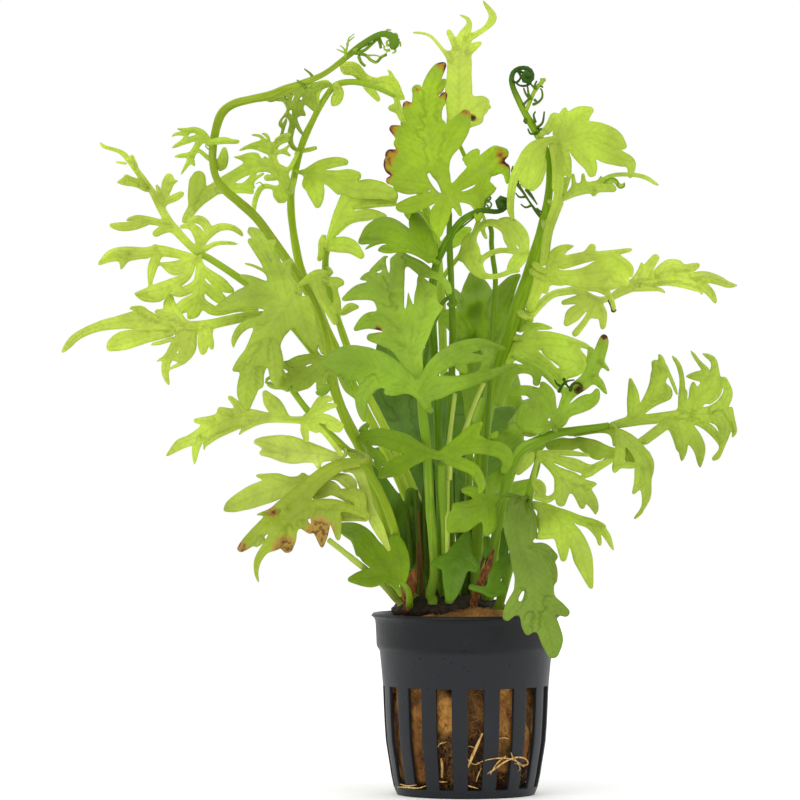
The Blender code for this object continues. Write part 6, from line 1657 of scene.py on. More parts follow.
class MeshMaker:
    """Gathers points, faces and per point numbers of one mesh, in millimetres."""

    # How far round a tube its groove reaches, in radians
    groove_width = 0.42

    def __init__(self, *numbers: str) -> None:
        """Start an empty mesh.

        Args:
            numbers: Names of the numbers that it stores at each point.
        """
        self.points: list[Sequence[float]] = []
        self.faces: list[Sequence[int]] = []
        self.numbers: dict[str, list[float]] = {name: [] for name in numbers}

    def add_points(self, points: Iterable[Sequence[float]], **numbers: Iterable[float]) -> int:
        """Add points.

        Args:
            points: The points.
            numbers: The stored numbers, one for each point; those not given are 0.

        Returns:
            The index of the first point.
        """
        first = len(self.points)
        self.points.extend(points)
        for name, stored in self.numbers.items():
            given = numbers.get(name)
            count = len(self.points) - len(stored)
            stored.extend([0.0] * count if given is None else list(given))
        return first

    def sweep(
        self, path: np.ndarray, radii: np.ndarray, sides: int, groove: float = 0.0,
        **numbers: float | np.ndarray,
    ) -> None:
        """Add a closed tube along a path.

        Args:
            path: Points of the centre line.
            radii: Radius at each point.
            sides: Sides of the tube.
            groove: Depth of the channel on the side towards -Y, as a share of the radius.
            numbers: The stored numbers, one for the tube or one for each point of its path.
        """
        levels = {key: np.broadcast_to(value, len(path)) for key, value in numbers.items()}
        run = np.r_[0.0, np.cumsum(np.linalg.norm(np.diff(path, axis=0), axis=1))] + path[0].sum() * 3.0
        tangents = np.gradient(path, axis=0)
        tangents /= np.linalg.norm(tangents, axis=1)[:, None] + 1e-9
        front = np.array([0.0, -1.0, 0.0])
        rings = []
        angles = np.arange(sides) * math.tau / sides
        off_front = np.minimum(angles, math.tau - angles)
        shape = 1.0 - groove * np.exp(-(off_front / self.groove_width) ** 2)
        if abs(front @ tangents[0]) > 0.95:
            front = np.array([1.0, 0.0, 0.0])
        for at, (point, ahead, radius) in enumerate(zip(path, tangents, radii)):
            front = front - ahead * (front @ ahead)
            front /= np.linalg.norm(front) + 1e-9
            across = np.cross(ahead, front)
            offsets = np.outer(np.cos(angles) * shape, front) + np.outer(np.sin(angles) * shape, across)
            stored = {key: [level[at]] * sides for key, level in levels.items()}
            grain = ([run[at] * MM] * sides, np.cos(angles) * radius * MM, np.sin(angles) * radius * MM)
            stored.update(zip(GRAIN, grain))
            rings.append(self.add_points(point + offsets * radius, **stored))
        for lower, upper in zip(rings, rings[1:]):
            for i in range(sides):
                j = (i + 1) % sides
                self.faces.append((lower + i, lower + j, upper + j, upper + i))
        for end, outward in ((0, -0.5), (-1, 0.5)):
            tip = path[end] + tangents[end] * radii[end] * outward
            middle = self.add_points(
                [tip], along=[run[end] * MM], **{key: [level[end]] for key, level in levels.items()}
            )
            for i in range(sides):
                edge = (rings[end] + i, rings[end] + (i + 1) % sides)
                self.faces.append((*(edge if end else edge[::-1]), middle))

    def mesh(self, name: str) -> bpy.types.Mesh:
        """Make the mesh.

        Args:
            name: Its name.

        Returns:
            The mesh, in metres, shaded smooth.
        """
        made = bpy.data.meshes.new(name)
        made.from_pydata((np.array(self.points) * MM).tolist(), [], [tuple(face) for face in self.faces])
        made.polygons.foreach_set("use_smooth", [True] * len(made.polygons))
        for key, values in self.numbers.items():
            made.attributes.new(key, "FLOAT", "POINT").data.foreach_set("value", values)
        made.update()
        return made

    def settle(self, name: str, palette: Palette, finish: object, *nodes: str) -> bpy.types.Object:
        """Put the mesh in the scene as a piece of the plant.

        Args:
            name: The piece's name.
            palette: The materials.
            finish: The piece's finish.
            nodes: Frame nodes that the piece stands for.

        Returns:
            The piece.
        """
        piece = bpy.data.objects.new(name, self.mesh(name))
        bpy.context.scene.collection.objects.link(piece)
        piece.data.materials.append(palette.material(finish))
        return declare(piece, finish.slot, *nodes)


@dataclass
class Stalk:
    """One stalk: a grooved round stem along its route, rooted in the crown.

    Attributes:
        name: The frame node that it stands for.
        stations: Route from the crown outwards on the drawing plane: across, up, back, radius.
        finish: Its finish.
        sides: Sides of its tube.
        step: Spacing of its rings.
        groove: Depth of its channel, as a share of the radius.
        sunk: How deep its foot goes into the crown.
        foot_pull: How far that foot stands from the pot's axis, as a share of the first station's distance.
        foot_swell: How much thicker the foot is at its end.
        waver: How much the radius wavers, as a share.
        waver_pitch: How fast it wavers, for each millimetre.
    """

    name: str
    stations: np.ndarray
    finish: StalkFinish
    sides: int = 14
    step: float = 1.1
    groove: float = 0.16
    sunk: float = 4.0
    foot_pull: float = 0.93
    foot_swell: float = 0.12
    waver: float = 0.07
    waver_pitch: float = 0.21

    def centre(self) -> np.ndarray:
        """Work out the centre line, with its foot in the crown.

        Returns:
            Rows of x, y, z and radius, in the row frame.
        """
        curve = even_curve(self.stations, self.step, 3)
        placed = [(*sight(x, z, y), r) for x, z, y, r in curve]
        x, y, z, r = placed[0]
        pull, swell = self.foot_pull, self.foot_swell
        foot = [
            (x * pull, y * pull, z - self.sunk * share, r * (1.0 + swell * share))
            for share in (1.0, 0.6, 0.25)
        ]
        return np.array(foot + placed)

    def build(self, palette: Palette) -> bpy.types.Object:
        """Build the stem.

        Args:
            palette: The materials.

        Returns:
            The piece.
        """
        line = self.centre()
        radii = line[:, 3].copy()
        for i, (x, y, z, _) in enumerate(line):
            radii[i] *= 1.0 + self.waver * noise.noise(Vector((x, y, z)) * self.waver_pitch)
        steps = np.linalg.norm(np.diff(line[:, :3], axis=0), axis=1)
        to_tip = np.r_[np.cumsum(steps[::-1])[::-1], 0.0]
        maker = MeshMaker("tip", *GRAIN)
        maker.sweep(line[:, :3], radii, self.sides, self.groove, tip=to_tip)
        return maker.settle(self.name + "_stem", palette, self.finish, self.name)


@dataclass
class Leaf:
    """One lobed blade, thin and translucent, with a raised midrib in every lobe.

    Attributes:
        form: Its drawn form.
        seed: Its place in the list, which sets how its lobes swing.
        edge_step: Spacing of the points along its edges.
        grid: Spacing of the points over the blade.
        skin: Half the blade's thickness.
        spread: What is added to each lobe's half width.
        rib_step: Spacing of the samples along a midrib.
        thread: Half width under which a lobe is a mere thread.
        vein_slant: How far a side vein runs ahead for each millimetre away from the midrib.
        first_rib: How far the first lobe's midrib stands out at its foot.
        other_rib: The same for the other lobes.
        hang_gap: Gap from the lobes before it up to which a lobe hangs on them and needs no stem.
        low_foot: Height under which a rising leaf joins the crown and not a stalk.
        crown_height: Height at which such a leaf's stem ends in the crown.
        leaf_stem: Longest stem of a leaf.
        lobe_stem: Longest stem of a loose lobe.
    """

    form: LeafForm
    seed: int
    edge_step: float = 0.55
    grid: float = 0.85
    skin: float = 0.13
    spread: float = 0.15
    rib_step: float = 0.4
    thread: float = 0.42
    vein_slant: float = 1.1
    first_rib: float = 0.8
    other_rib: float = 0.5
    hang_gap: float = 0.9
    low_foot: float = 72.0
    crown_height: float = 53.0
    leaf_stem: float = 14.0
    lobe_stem: float = 9.0
    _ribs: list[np.ndarray] = field(default_factory=list)
    _field: dict[str, np.ndarray] = field(default_factory=dict)

    def __post_init__(self) -> None:
        """Read the lobes."""
        self.lobes = [stations(row, 3) for row in self.form.lobes]
        self.fine = [stations(row, 3) for row in self.form.fine]

    def _read_ribs(self) -> None:
        """Sample each lobe's midrib and note its half width, its run and how far the rib swells."""
        columns: dict[str, list[float]] = {key: [] for key in ("x", "z", "half", "run", "swell")}
        for j, lobe in enumerate([*self.lobes, *self.fine]):
            rib = even_curve(lobe, self.rib_step)
            self._ribs.append(rib)
            run = np.arange(len(rib)) * self.rib_step
            total = run[-1]
            strength = self.other_rib if j else self.first_rib
            swell = np.minimum(rib[:, 2] * 0.9, strength * (1.0 - run / (total + 0.1)) ** 0.6 + 0.12)
            for key, values in zip(columns, (rib[:, 0], rib[:, 1], rib[:, 2], run, swell)):
                columns[key].extend(values)
        self._field = {key: np.array(values) for key, values in columns.items()}

    def _outline(self, j: int, rib: np.ndarray, spread: float) -> list[tuple[float, float]]:
        """Draw round a lobe: its right edge out to the rounded tip, and its left edge back.

        Args:
            j: The lobe's place in the leaf, which sets how its edges waver.
            rib: Samples of its midrib: across, up, half width.
            spread: What is added to the half width.

        Returns:
            The outline's points.
        """
        ahead = np.gradient(rib[:, :2], axis=0)
        ahead /= np.linalg.norm(ahead, axis=1)[:, None] + 1e-9
        across = np.column_stack([-ahead[:, 1], ahead[:, 0]])
        run = np.arange(len(rib)) * self.rib_step
        edges = []
        for side in (-1.0, 1.0):
            wave = [noise.noise(Vector((r * 0.28, side * 7.3 + j * 3.1, self.seed * 5.7))) for r in run]
            ripple = [noise.noise(Vector((r * 0.9, side * 3.3 + j * 1.7, self.seed * 2.9))) for r in run]
            width = rib[:, 2] * (1.0 + 0.16 * np.array(wave) + 0.05 * np.array(ripple)) + spread
            edges.append(rib[:, :2] + across * (side * width)[:, None])
        right, left = edges
        end = rib[-1, 2] + spread
        if end < self.thread:
            tip = [rib[-1, :2] + ahead[-1] * 0.25]
            right, left = right[:-1], left[:-1]
        else:
            tip = [
                rib[-1, :2] + ahead[-1] * end * 0.85 * math.sin(turn) - across[-1] * end * math.cos(turn)
                for turn in np.linspace(0.45, math.pi - 0.45, 5)
            ]
        return [tuple(p) for p in [*right, *tip, *left[::-1]]]

    def _edge_loops(self) -> list[np.ndarray]:
        """Join the lobes' outlines, less the slits.

        Returns:
            The blade's outer and inner edges, evenly spaced and eased at the notches.
        """
        corners: list[tuple[float, float]] = []
        edges: list[tuple[int, int]] = []
        outlines = []
        cuts = [even_curve(stations(row, 3), self.rib_step) for row in self.form.slits]
        for j, rib in enumerate([*self._ribs, *cuts]):
            spread = self.spread if j < len(self._ribs) else 0.0
            outline = self._outline(j, rib[::2] if len(rib) > 8 else rib, spread)
            first, count = len(corners), len(outline)
            edges += [(first + i, first + (i + 1) % count) for i in range(count)]
            corners.extend(outline)
            outlines.append(np.array(outline))
        found = delaunay_2d_cdt([Vector(p) for p in corners], edges, [], 0, 0.01, True)
        spots = np.array([tuple(p) for p in found[0]])
        faces = np.array([face for face in found[2] if len(face) == 3])
        wound = np.array([turns(spots[faces].mean(axis=1), outline) != 0 for outline in outlines])
        kept = wound[:len(self._ribs)].any(axis=0) & ~wound[len(self._ribs):].any(axis=0)
        directed = set()
        for face in faces[kept].tolist():
            directed.update(zip(face, [*face[1:], face[0]]))
        following: dict[int, list[int]] = {}
        for a, b in sorted(directed):
            if (b, a) not in directed:
                following.setdefault(a, []).append(b)
        traced = []
        while following:
            start = min(following)
            loop, at = [], start
            while at in following:
                loop.append(at)
                onward = following[at].pop()
                if not following[at]:
                    del following[at]
                at = onward
                if at == start:
                    break
            traced.append(spots[loop])
        return [self._ease(loop) for loop in traced if len(loop) > 2 and abs(self._area(loop)) > 0.5]

    @staticmethod
    def _area(loop: np.ndarray) -> float:
        """Signed area within a loop."""
        after = np.roll(loop, -1, axis=0)
        return 0.5 * float(np.sum(loop[:, 0] * after[:, 1] - after[:, 0] * loop[:, 1]))

    def _ease(self, loop: np.ndarray) -> np.ndarray:
        """Space a loop evenly and round its notches more than its tips.

        Args:
            loop: The loop's points.

        Returns:
            The eased loop.
        """
        closed = np.vstack([loop, loop[:1]])
        along = np.r_[0.0, np.cumsum(np.linalg.norm(np.diff(closed, axis=0), axis=1))]
        count = max(8, round(along[-1] / self.edge_step))
        marks = np.linspace(0.0, along[-1], count, endpoint=False)
        loop = np.column_stack([np.interp(marks, along, column) for column in closed.T])
        for _ in range(3):
            before, after = np.roll(loop, 1, axis=0), np.roll(loop, -1, axis=0)
            inward, onward = loop - before, after - loop
            turn = inward[:, 0] * onward[:, 1] - inward[:, 1] * onward[:, 0]
            share = np.where(turn > 0.0, 0.16, 0.55)[:, None]
            loop = loop + ((before + after) / 2.0 - loop) * share
        return loop

    def _fill(self, loops: list[np.ndarray]) -> tuple[np.ndarray, list[list[int]]]:
        """Spread points over the blade, along the midribs first, and join them in triangles.

        Args:
            loops: The blade's edges.

        Returns:
            The points and the triangles between them.
        """
        edge = np.vstack(loops)
        kept: list[np.ndarray] = []
        edges: list[tuple[int, int]] = []
        first = 0
        for loop in loops:
            edges += [(first + i, first + (i + 1) % len(loop)) for i in range(len(loop))]
            first += len(loop)

        def clear(point: np.ndarray, gap: float) -> bool:
            """Whether a point is a gap away from those kept."""
            return not kept or np.min(np.sum((np.array(kept) - point) ** 2, axis=1)) > gap * gap

        for rib in self._ribs:
            if np.max(rib[:, 2]) < self.thread:
                continue
            for point, half in zip(rib[::2, :2], rib[::2, 2]):
                apart = np.min(np.sum((edge - point) ** 2, axis=1))
                if apart > min(0.3, half * 0.5) ** 2 and clear(point, 0.55):
                    kept.append(point)
        low, high = edge.min(axis=0), edge.max(axis=0)
        rows = []
        for r, z in enumerate(np.arange(low[1], high[1], self.grid * 0.87)):
            across = np.arange(low[0] + (r % 2) * self.grid / 2, high[0], self.grid)
            rows.append(np.column_stack([across, np.full(len(across), z)]))
        grid = np.vstack(rows)
        grid = grid[inside(grid, loops)]
        if len(grid):
            blocked = np.vstack([edge, *kept]) if kept else edge
            apart = np.min(np.sum((grid[:, None, :] - blocked[None, :, :]) ** 2, axis=2), axis=1)
            grid = grid[apart > (self.grid * 0.55) ** 2]
        if kept:
            kept = [point for point, within in zip(kept, inside(np.array(kept), loops)) if within]
        points = np.vstack([edge, *kept, grid])
        found = delaunay_2d_cdt([Vector(p) for p in points], edges, [], 0, 0.001, True)
        spots = np.array([tuple(p) for p in found[0]])
        faces = np.array([face for face in found[2] if len(face) == 3])
        middles = spots[faces].mean(axis=1)
        faces = faces[inside(middles, loops)]
        used, compact = np.unique(faces, return_inverse=True)
        return spots[used], compact.reshape(-1, 3).tolist()

    def _depths(self, spots: np.ndarray, near: np.ndarray) -> np.ndarray:
        """Work out the drawn depths: the hub's depth, lean, bow, swing of the lobes, cup and ripples.

        Args:
            spots: Points of the blade on the drawing plane.
            near: Distance of each from the nearest midrib.

        Returns:
            The depth of each.
        """
        form = self.form
        across, up = spots[:, 0] - form.hub[0], spots[:, 1] - form.hub[1]
        flat = form.hub[2] + form.lean[0] * across + form.lean[1] * up + form.bow * (across**2 + up**2)
        total, weight = np.zeros(len(spots)), np.zeros(len(spots))
        for j, lobe in enumerate(self.lobes):
            swing = form.curl * math.sin(12.9898 * (self.seed + 1) + 78.233 * (j + 1))
            run = 0.0
            for i, (x, z, _) in enumerate(lobe):
                if i:
                    run += math.dist((x, z), lobe[i - 1][:2])
                share = 1.0 / ((spots[:, 0] - x) ** 2 + (spots[:, 1] - z) ** 2 + 1.5) ** 1.5
                total += share * swing * run * min(1.0, run / 12.0)
                weight += share
        cup = (0.2 if math.sin(self.seed * 2.4) > -0.3 else -0.16) * near**2 / (near + 1.4)
        ripple = np.array([
            0.95 * noise.noise(Vector((x * 0.1, z * 0.1, self.seed * 3.7)))
            + 0.38 * noise.noise(Vector((x * 0.27, z * 0.27, self.seed * 1.3)))
            for x, z in spots
        ])
        return flat + total / weight - cup + ripple

    def build(self, palette: Palette, stalks: np.ndarray) -> bpy.types.Object:
        """Build the blade.

        Args:
            palette: The materials.
            stalks: Centre lines of all the stalks, which the leaf's foot joins: rows of x, y, z, radius.

        Returns:
            The piece.
        """
        self._read_ribs()
        spots, faces = self._fill(self._edge_loops())
        ribs = np.column_stack([self._field["x"], self._field["z"]])
        gap = np.sqrt(np.sum((spots[:, None, :] - ribs[None, :, :]) ** 2, axis=2))
        share = gap / (self._field["half"][None, :] + 0.12)
        best = np.argmin(share, axis=1)
        rows = np.arange(len(spots))
        near = gap.min(axis=1)
        rim = np.minimum(share[rows, best], 1.0)
        swell = self._field["swell"][best]
        bulge = swell * np.sqrt(np.maximum(0.0, 1.0 - (gap[rows, best] / (swell + 0.05)) ** 2))
        narrow = np.clip((1.5 - self._field["half"][best]) / 0.7, 0.0, 1.0)
        depths = self._depths(spots, near)
        placed = np.array([sight(x, z, y) for (x, z), y in zip(spots, depths)])
        normals = self._normals(placed, faces)
        front = placed + normals * (self.skin + bulge * (0.12 + 0.75 * narrow))[:, None]
        back = placed - normals * (self.skin + bulge * 0.9)[:, None]
        branch = self._field["run"][best] - gap[rows, best] * self.vein_slant
        mark = np.zeros(len(spots))
        for x, z, reach in stations(self.form.marks, 3):
            mark = np.maximum(mark, 1.0 - np.hypot(spots[:, 0] - x, spots[:, 1] - z) / reach)
        numbers = {"rim": rim, "branch": branch, "mark": mark}
        maker = MeshMaker(*numbers)
        top = maker.add_points(front, **numbers)
        low = maker.add_points(back, **numbers)
        directed = set()
        for a, b, c in faces:
            maker.faces.append((top + a, top + b, top + c))
            maker.faces.append((low + a, low + c, low + b))
            directed.update(((a, b), (b, c), (c, a)))
        for a, b in sorted(directed):
            if (b, a) not in directed:
                maker.faces.append((top + b, top + a, low + a, low + b))
        self._join(maker, placed, spots, stalks)
        return maker.settle(self.form.name + "_blade", palette, self.form.tone.value, self.form.name)

    @staticmethod
    def _normals(placed: np.ndarray, faces: list[list[int]]) -> np.ndarray:
        """Work out the sheet's point normals, towards the front.

        Args:
            placed: The points in the row frame.
            faces: The triangles.

        Returns:
            A unit normal for each point.
        """
        corners = placed[np.array(faces)]
        flat = np.cross(corners[:, 1] - corners[:, 0], corners[:, 2] - corners[:, 0])
        normals = np.zeros_like(placed)
        for k in range(3):
            np.add.at(normals, np.array(faces)[:, k], flat)
        return normals / (np.linalg.norm(normals, axis=1)[:, None] + 1e-12)

    def _join(self, maker: MeshMaker, placed: np.ndarray, spots: np.ndarray, stalks: np.ndarray) -> None:
        """Join each free foot of the blade to the nearest stalk, or to the crown, with a short curved stem.

        Args:
            maker: The blade's mesh, which takes the stems.
            placed: The blade's points in the row frame.
            spots: The same on the drawing plane.
            stalks: Centre lines of all the stalks: rows of x, y, z, radius.
        """
        lobes = [*self.lobes, *self.fine]
        for j, lobe in enumerate(lobes):
            start, second = np.array(lobe[0][:2]), np.array(lobe[1][:2])
            if j:
                earlier = np.vstack(self._ribs[:j])
                clear = np.sqrt(np.sum((earlier[:, :2] - start) ** 2, axis=1)) - earlier[:, 2]
                if clear.min() < self.hang_gap:
                    continue
            foot = placed[np.argmin(np.sum((spots - start) ** 2, axis=1))]
            onward = placed[np.argmin(np.sum((spots - second) ** 2, axis=1))]
            ahead = (onward - foot) / (np.linalg.norm(onward - foot) + 1e-9)
            if j == 0 and start[1] < self.low_foot and second[1] > start[1]:
                target, width = np.array([foot[0] * 0.8 - 1.0, foot[1] * 0.75, self.crown_height]), 1.0
            else:
                apart = np.linalg.norm(stalks[:, :3] - foot, axis=1)
                at = int(np.argmin(apart))
                if apart[at] > (self.lobe_stem if j else self.leaf_stem):
                    continue
                target, width = stalks[at, :3], stalks[at, 3] * 0.6
            reach = np.linalg.norm(target - foot)
            bend = foot - ahead * reach * 0.45
            end = max(0.35, min(lobe[0][2] * 0.85, 1.0))
            share = np.linspace(0.0, 1.0, max(5, int(reach / 1.2)))[:, None]
            goal = foot + ahead * 0.8
            path = target * (1 - share) ** 2 + bend * 2 * share * (1 - share) + goal * share**2
            radii = width + (end - width) * share[:, 0]
            maker.sweep(path, radii, 8, 0.0, rim=0.1, branch=2.0)


@dataclass
class Thread:
    """A group of hair-thin side shoots or stems that share a finish.

    Attributes:
        form: Its drawn form.
        sides: Sides of each tube.
        step: Spacing of the rings.
        bow: How far a shoot bows back, for each millimetre of its length.
        sway: How far its tip may stand in front or behind, in millimetres.
    """

    form: ThreadForm
    sides: int = 7
    step: float = 0.45
    bow: float = 0.03
    sway: float = 0.5

    def build(self, palette: Palette) -> bpy.types.Object:
        """Build the shoots as one piece.

        Args:
            palette: The materials.

        Returns:
            The piece.
        """
        maker = MeshMaker(*GRAIN)
        form = self.form
        for k, route in enumerate(form.routes):
            curve = even_curve(stations(route, 2), self.step)
            count = len(curve)
            bow = self.bow * self.step * count
            side = self.sway * math.sin(k * 2.1)
            leave = [side * i / count + bow * math.sin(math.pi * i / count) for i in range(count)]
            path = np.array([sight(x, z, form.depth + back) for (x, z), back in zip(curve, leave)])
            share = np.linspace(0.0, 1.0, count)
            radii = form.foot + (form.tip - form.foot) * share**0.8
            maker.sweep(path, radii, self.sides)
        return maker.settle(form.name, palette, form.tone.value)


class Bench:
    """Hand tools: puts one object in edit mode, picks its parts by place, and finishes it."""

    @staticmethod
    def start() -> None:
        """Leave edit mode and deselect everything."""
        if bpy.context.object and bpy.context.object.mode != "OBJECT":
            bpy.ops.object.mode_set(mode="OBJECT")
        bpy.ops.object.select_all(action="DESELECT")

    @staticmethod
    def hold(piece: bpy.types.Object) -> None:
        """Select one object and make it active.

        Args:
            piece: The object.
        """
        Bench.start()
        piece.select_set(True)
        bpy.context.view_layer.objects.active = piece

    @staticmethod
    def ring(name: str, sides: int, radius: float, height: float, turn: float = 0.0) -> bpy.types.Object:
        """Add a bare ring of edges and open it in edit mode, all selected.

        Args:
            name: The new object's name.
            sides: Corners of the ring.
            radius: Its radius.
            height: Its height.
            turn: Angle of its first corner, in radians.

        Returns:
            The new object.
        """
        Bench.start()
        bpy.ops.mesh.primitive_circle_add(
            vertices=sides, radius=radius * MM, fill_type="NOTHING",
            location=(0.0, 0.0, height * MM), rotation=(0.0, 0.0, turn),
        )
        piece = bpy.context.object
        piece.name = piece.data.name = name
        bpy.ops.object.transform_apply(location=True, rotation=True, scale=True)
        bpy.ops.object.mode_set(mode="EDIT")
        bpy.ops.mesh.select_mode(type="VERT")
        bpy.ops.mesh.select_all(action="SELECT")
        return piece

    @staticmethod
    def raise_rings(rows: Sequence[tuple[float, float]]) -> None:
        """Extrude the selected ring through rows of radius and height.

        Args:
            rows: The rows, from the ring's own on.
        """
        for (before, low), (radius, high) in zip(rows, rows[1:]):
            rise = (0.0, 0.0, (high - low) * MM)
            bpy.ops.mesh.extrude_region_move(TRANSFORM_OT_translate={"value": rise})
            share = radius / before
            bpy.ops.transform.resize(value=(share, share, 1.0), center_override=(0.0, 0.0, high * MM))

    @staticmethod
    def pick(piece: bpy.types.Object, wanted: Callable[[Vector], bool], faces: bool = False) -> None:
        """Select vertices, or faces by their middle.

        Args:
            piece: The object in edit mode.
            wanted: Whether a place in millimetres is wanted.
            faces: Whether faces are meant, and not vertices.
        """
        bpy.ops.mesh.select_mode(type="FACE" if faces else "VERT")
        bpy.ops.mesh.select_all(action="DESELECT")
        shape = bmesh.from_edit_mesh(piece.data)
        for item in shape.faces if faces else shape.verts:
            place = item.calc_center_median() if faces else item.co
            item.select_set(wanted(place / MM))
        shape.select_flush_mode()
        bmesh.update_edit_mesh(piece.data)

    @staticmethod
    def apply(piece: bpy.types.Object, kind: str, **settings: object) -> None:
        """Add a modifier and apply it.

        Args:
            piece: The object.
            kind: The modifier's type.
            settings: Its properties.
        """
        Bench.hold(piece)
        modifier = piece.modifiers.new(kind.lower(), kind)
        for key, value in settings.items():
            setattr(modifier, key, value)
        bpy.ops.object.modifier_apply(modifier=modifier.name)

    @staticmethod
    def finish(piece: bpy.types.Object, material: bpy.types.Material, angle: float = 180.0) -> None:
        """Shade a piece smooth and give it its material.

        Args:
            piece: The object.
            material: Its material.
            angle: The steepest edge that is still smoothed, in degrees.
        """
        Bench.hold(piece)
        bpy.ops.object.shade_smooth_by_angle(angle=math.radians(angle))
        piece.data.materials.clear()
        piece.data.materials.append(material)
        piece.select_set(False)


@dataclass
class NetPot:
    """The moulded pot: flared lip, stepped collar, slotted wall and slotted floor.

    Attributes:
        profile: Outer side from the foot to the lip, radius and height.
        slots: Number of slots round the wall.
        facets: Facets in one slot and the bar beside it.
        turn: Angle of the first slot's first edge. That slot's middle is 6.4 degrees right of the front.
        wall: Thickness of the wall.
        slot_low: Height at which the wall's slots start.
        slot_high: Height at which they end.
        floor_outer: Outer radius of the floor's slots.
        hub: Inner radius of the floor's slots.
        edge: Width of the rounded edges.
        edge_angle: The least sharp edge that is rounded, in degrees.
        smooth_angle: The steepest edge that is smoothed, in degrees.
        closed_wall: Height above which the wall has no slots.
        finish: Its finish.
    """

    profile: tuple[tuple[float, float], ...] = (
        (19.2, 0.0), (19.75, 1.1), (20.2, 2.3), (20.9, 5.6), (21.3, 8.2), (21.85, 11.5), (22.4, 15.0),
        (22.75, 20.0), (23.0, 25.5), (23.2, 30.5), (23.6, 35.0), (24.1, 40.0), (24.28, 40.5), (24.6, 40.9),
        (24.9, 41.4), (25.02, 42.1), (25.12, 44.5), (25.28, 47.6), (25.42, 48.7), (25.75, 49.35),
        (26.2, 49.75), (26.5, 49.95),
    )
    slots: int = 16
    facets: int = 12
    turn: float = math.radians(6.4 - 90.0 - 5.625)
    wall: float = 0.9
    slot_low: float = 2.3
    slot_high: float = 30.5
    floor_outer: float = 17.0
    hub: float = 8.0
    edge: float = 0.16
    edge_angle: float = 48.0
    smooth_angle: float = 34.0
    closed_wall: float = 32.0
    finish: PlasticFinish = PlasticFinish()

    def _in_slot(self, place: Vector) -> bool:
        """Tell the angle of a slot from that of a bar.

        Args:
            place: A place in the wall or the floor.

        Returns:
            Whether it is in a slot's angle.
        """
        pitch = math.tau / self.slots
        share = ((math.atan2(place.y, place.x) - self.turn) % pitch) / pitch
        return share < 0.5

    def build(self, palette: Palette) -> bpy.types.Object:
        """Build the pot.

        Args:
            palette: The materials.

        Returns:
            The piece.
        """
        piece = Bench.ring("net_pot_moulding", self.slots * self.facets, *self.profile[0], self.turn)
        Bench.raise_rings(self.profile)
        Bench.pick(piece, lambda p: p.z < 0.01)
        bpy.ops.mesh.select_mode(type="EDGE")
        foot = self.profile[0][0]
        for before, radius in zip((foot, self.floor_outer), (self.floor_outer, self.hub)):
            bpy.ops.mesh.extrude_region_move(TRANSFORM_OT_translate={"value": (0.0, 0.0, 0.0)})
            share = radius / before
            bpy.ops.transform.resize(value=(share, share, 1.0), center_override=(0.0, 0.0, 0.0))
        bpy.ops.mesh.edge_face_add()
        bpy.ops.mesh.select_all(action="SELECT")
        bpy.ops.mesh.normals_make_consistent(inside=False)
        Bench.pick(piece, self._is_opening, faces=True)
        bpy.ops.mesh.delete(type="FACE")
        Bench.start()
        self._face_outwards(piece)
        Bench.apply(piece, "SOLIDIFY", thickness=self.wall * MM, offset=-1.0, use_even_offset=True)
        Bench.apply(
            piece, "BEVEL", width=self.edge * MM, segments=2, limit_method="ANGLE",
            angle_limit=math.radians(self.edge_angle),
        )
        Bench.finish(piece, palette.material(self.finish), self.smooth_angle)
        return declare(piece, self.finish.slot, "net_pot")

    def _is_opening(self, place: Vector) -> bool:
        """Tell the faces that the slots of the wall and the floor take out.

        Args:
            place: A face's middle.

        Returns:
            Whether it lies in a slot.
        """
        reach = math.hypot(place.x, place.y)
        on_wall = self.slot_low < place.z < self.slot_high
        on_floor = place.z < 0.01 and self.hub < reach < self.floor_outer
        return (on_wall or on_floor) and self._in_slot(place)

    def _face_outwards(self, piece: bpy.types.Object) -> None:
        """Turn all faces round if the wall points inwards.

        Args:
            piece: The pot.
        """
        wall = [face for face in piece.data.polygons if face.center.z > self.closed_wall * MM]
        if sum(face.normal.x * face.center.x + face.normal.y * face.center.y for face in wall) < 0:
            piece.data.flip_normals()


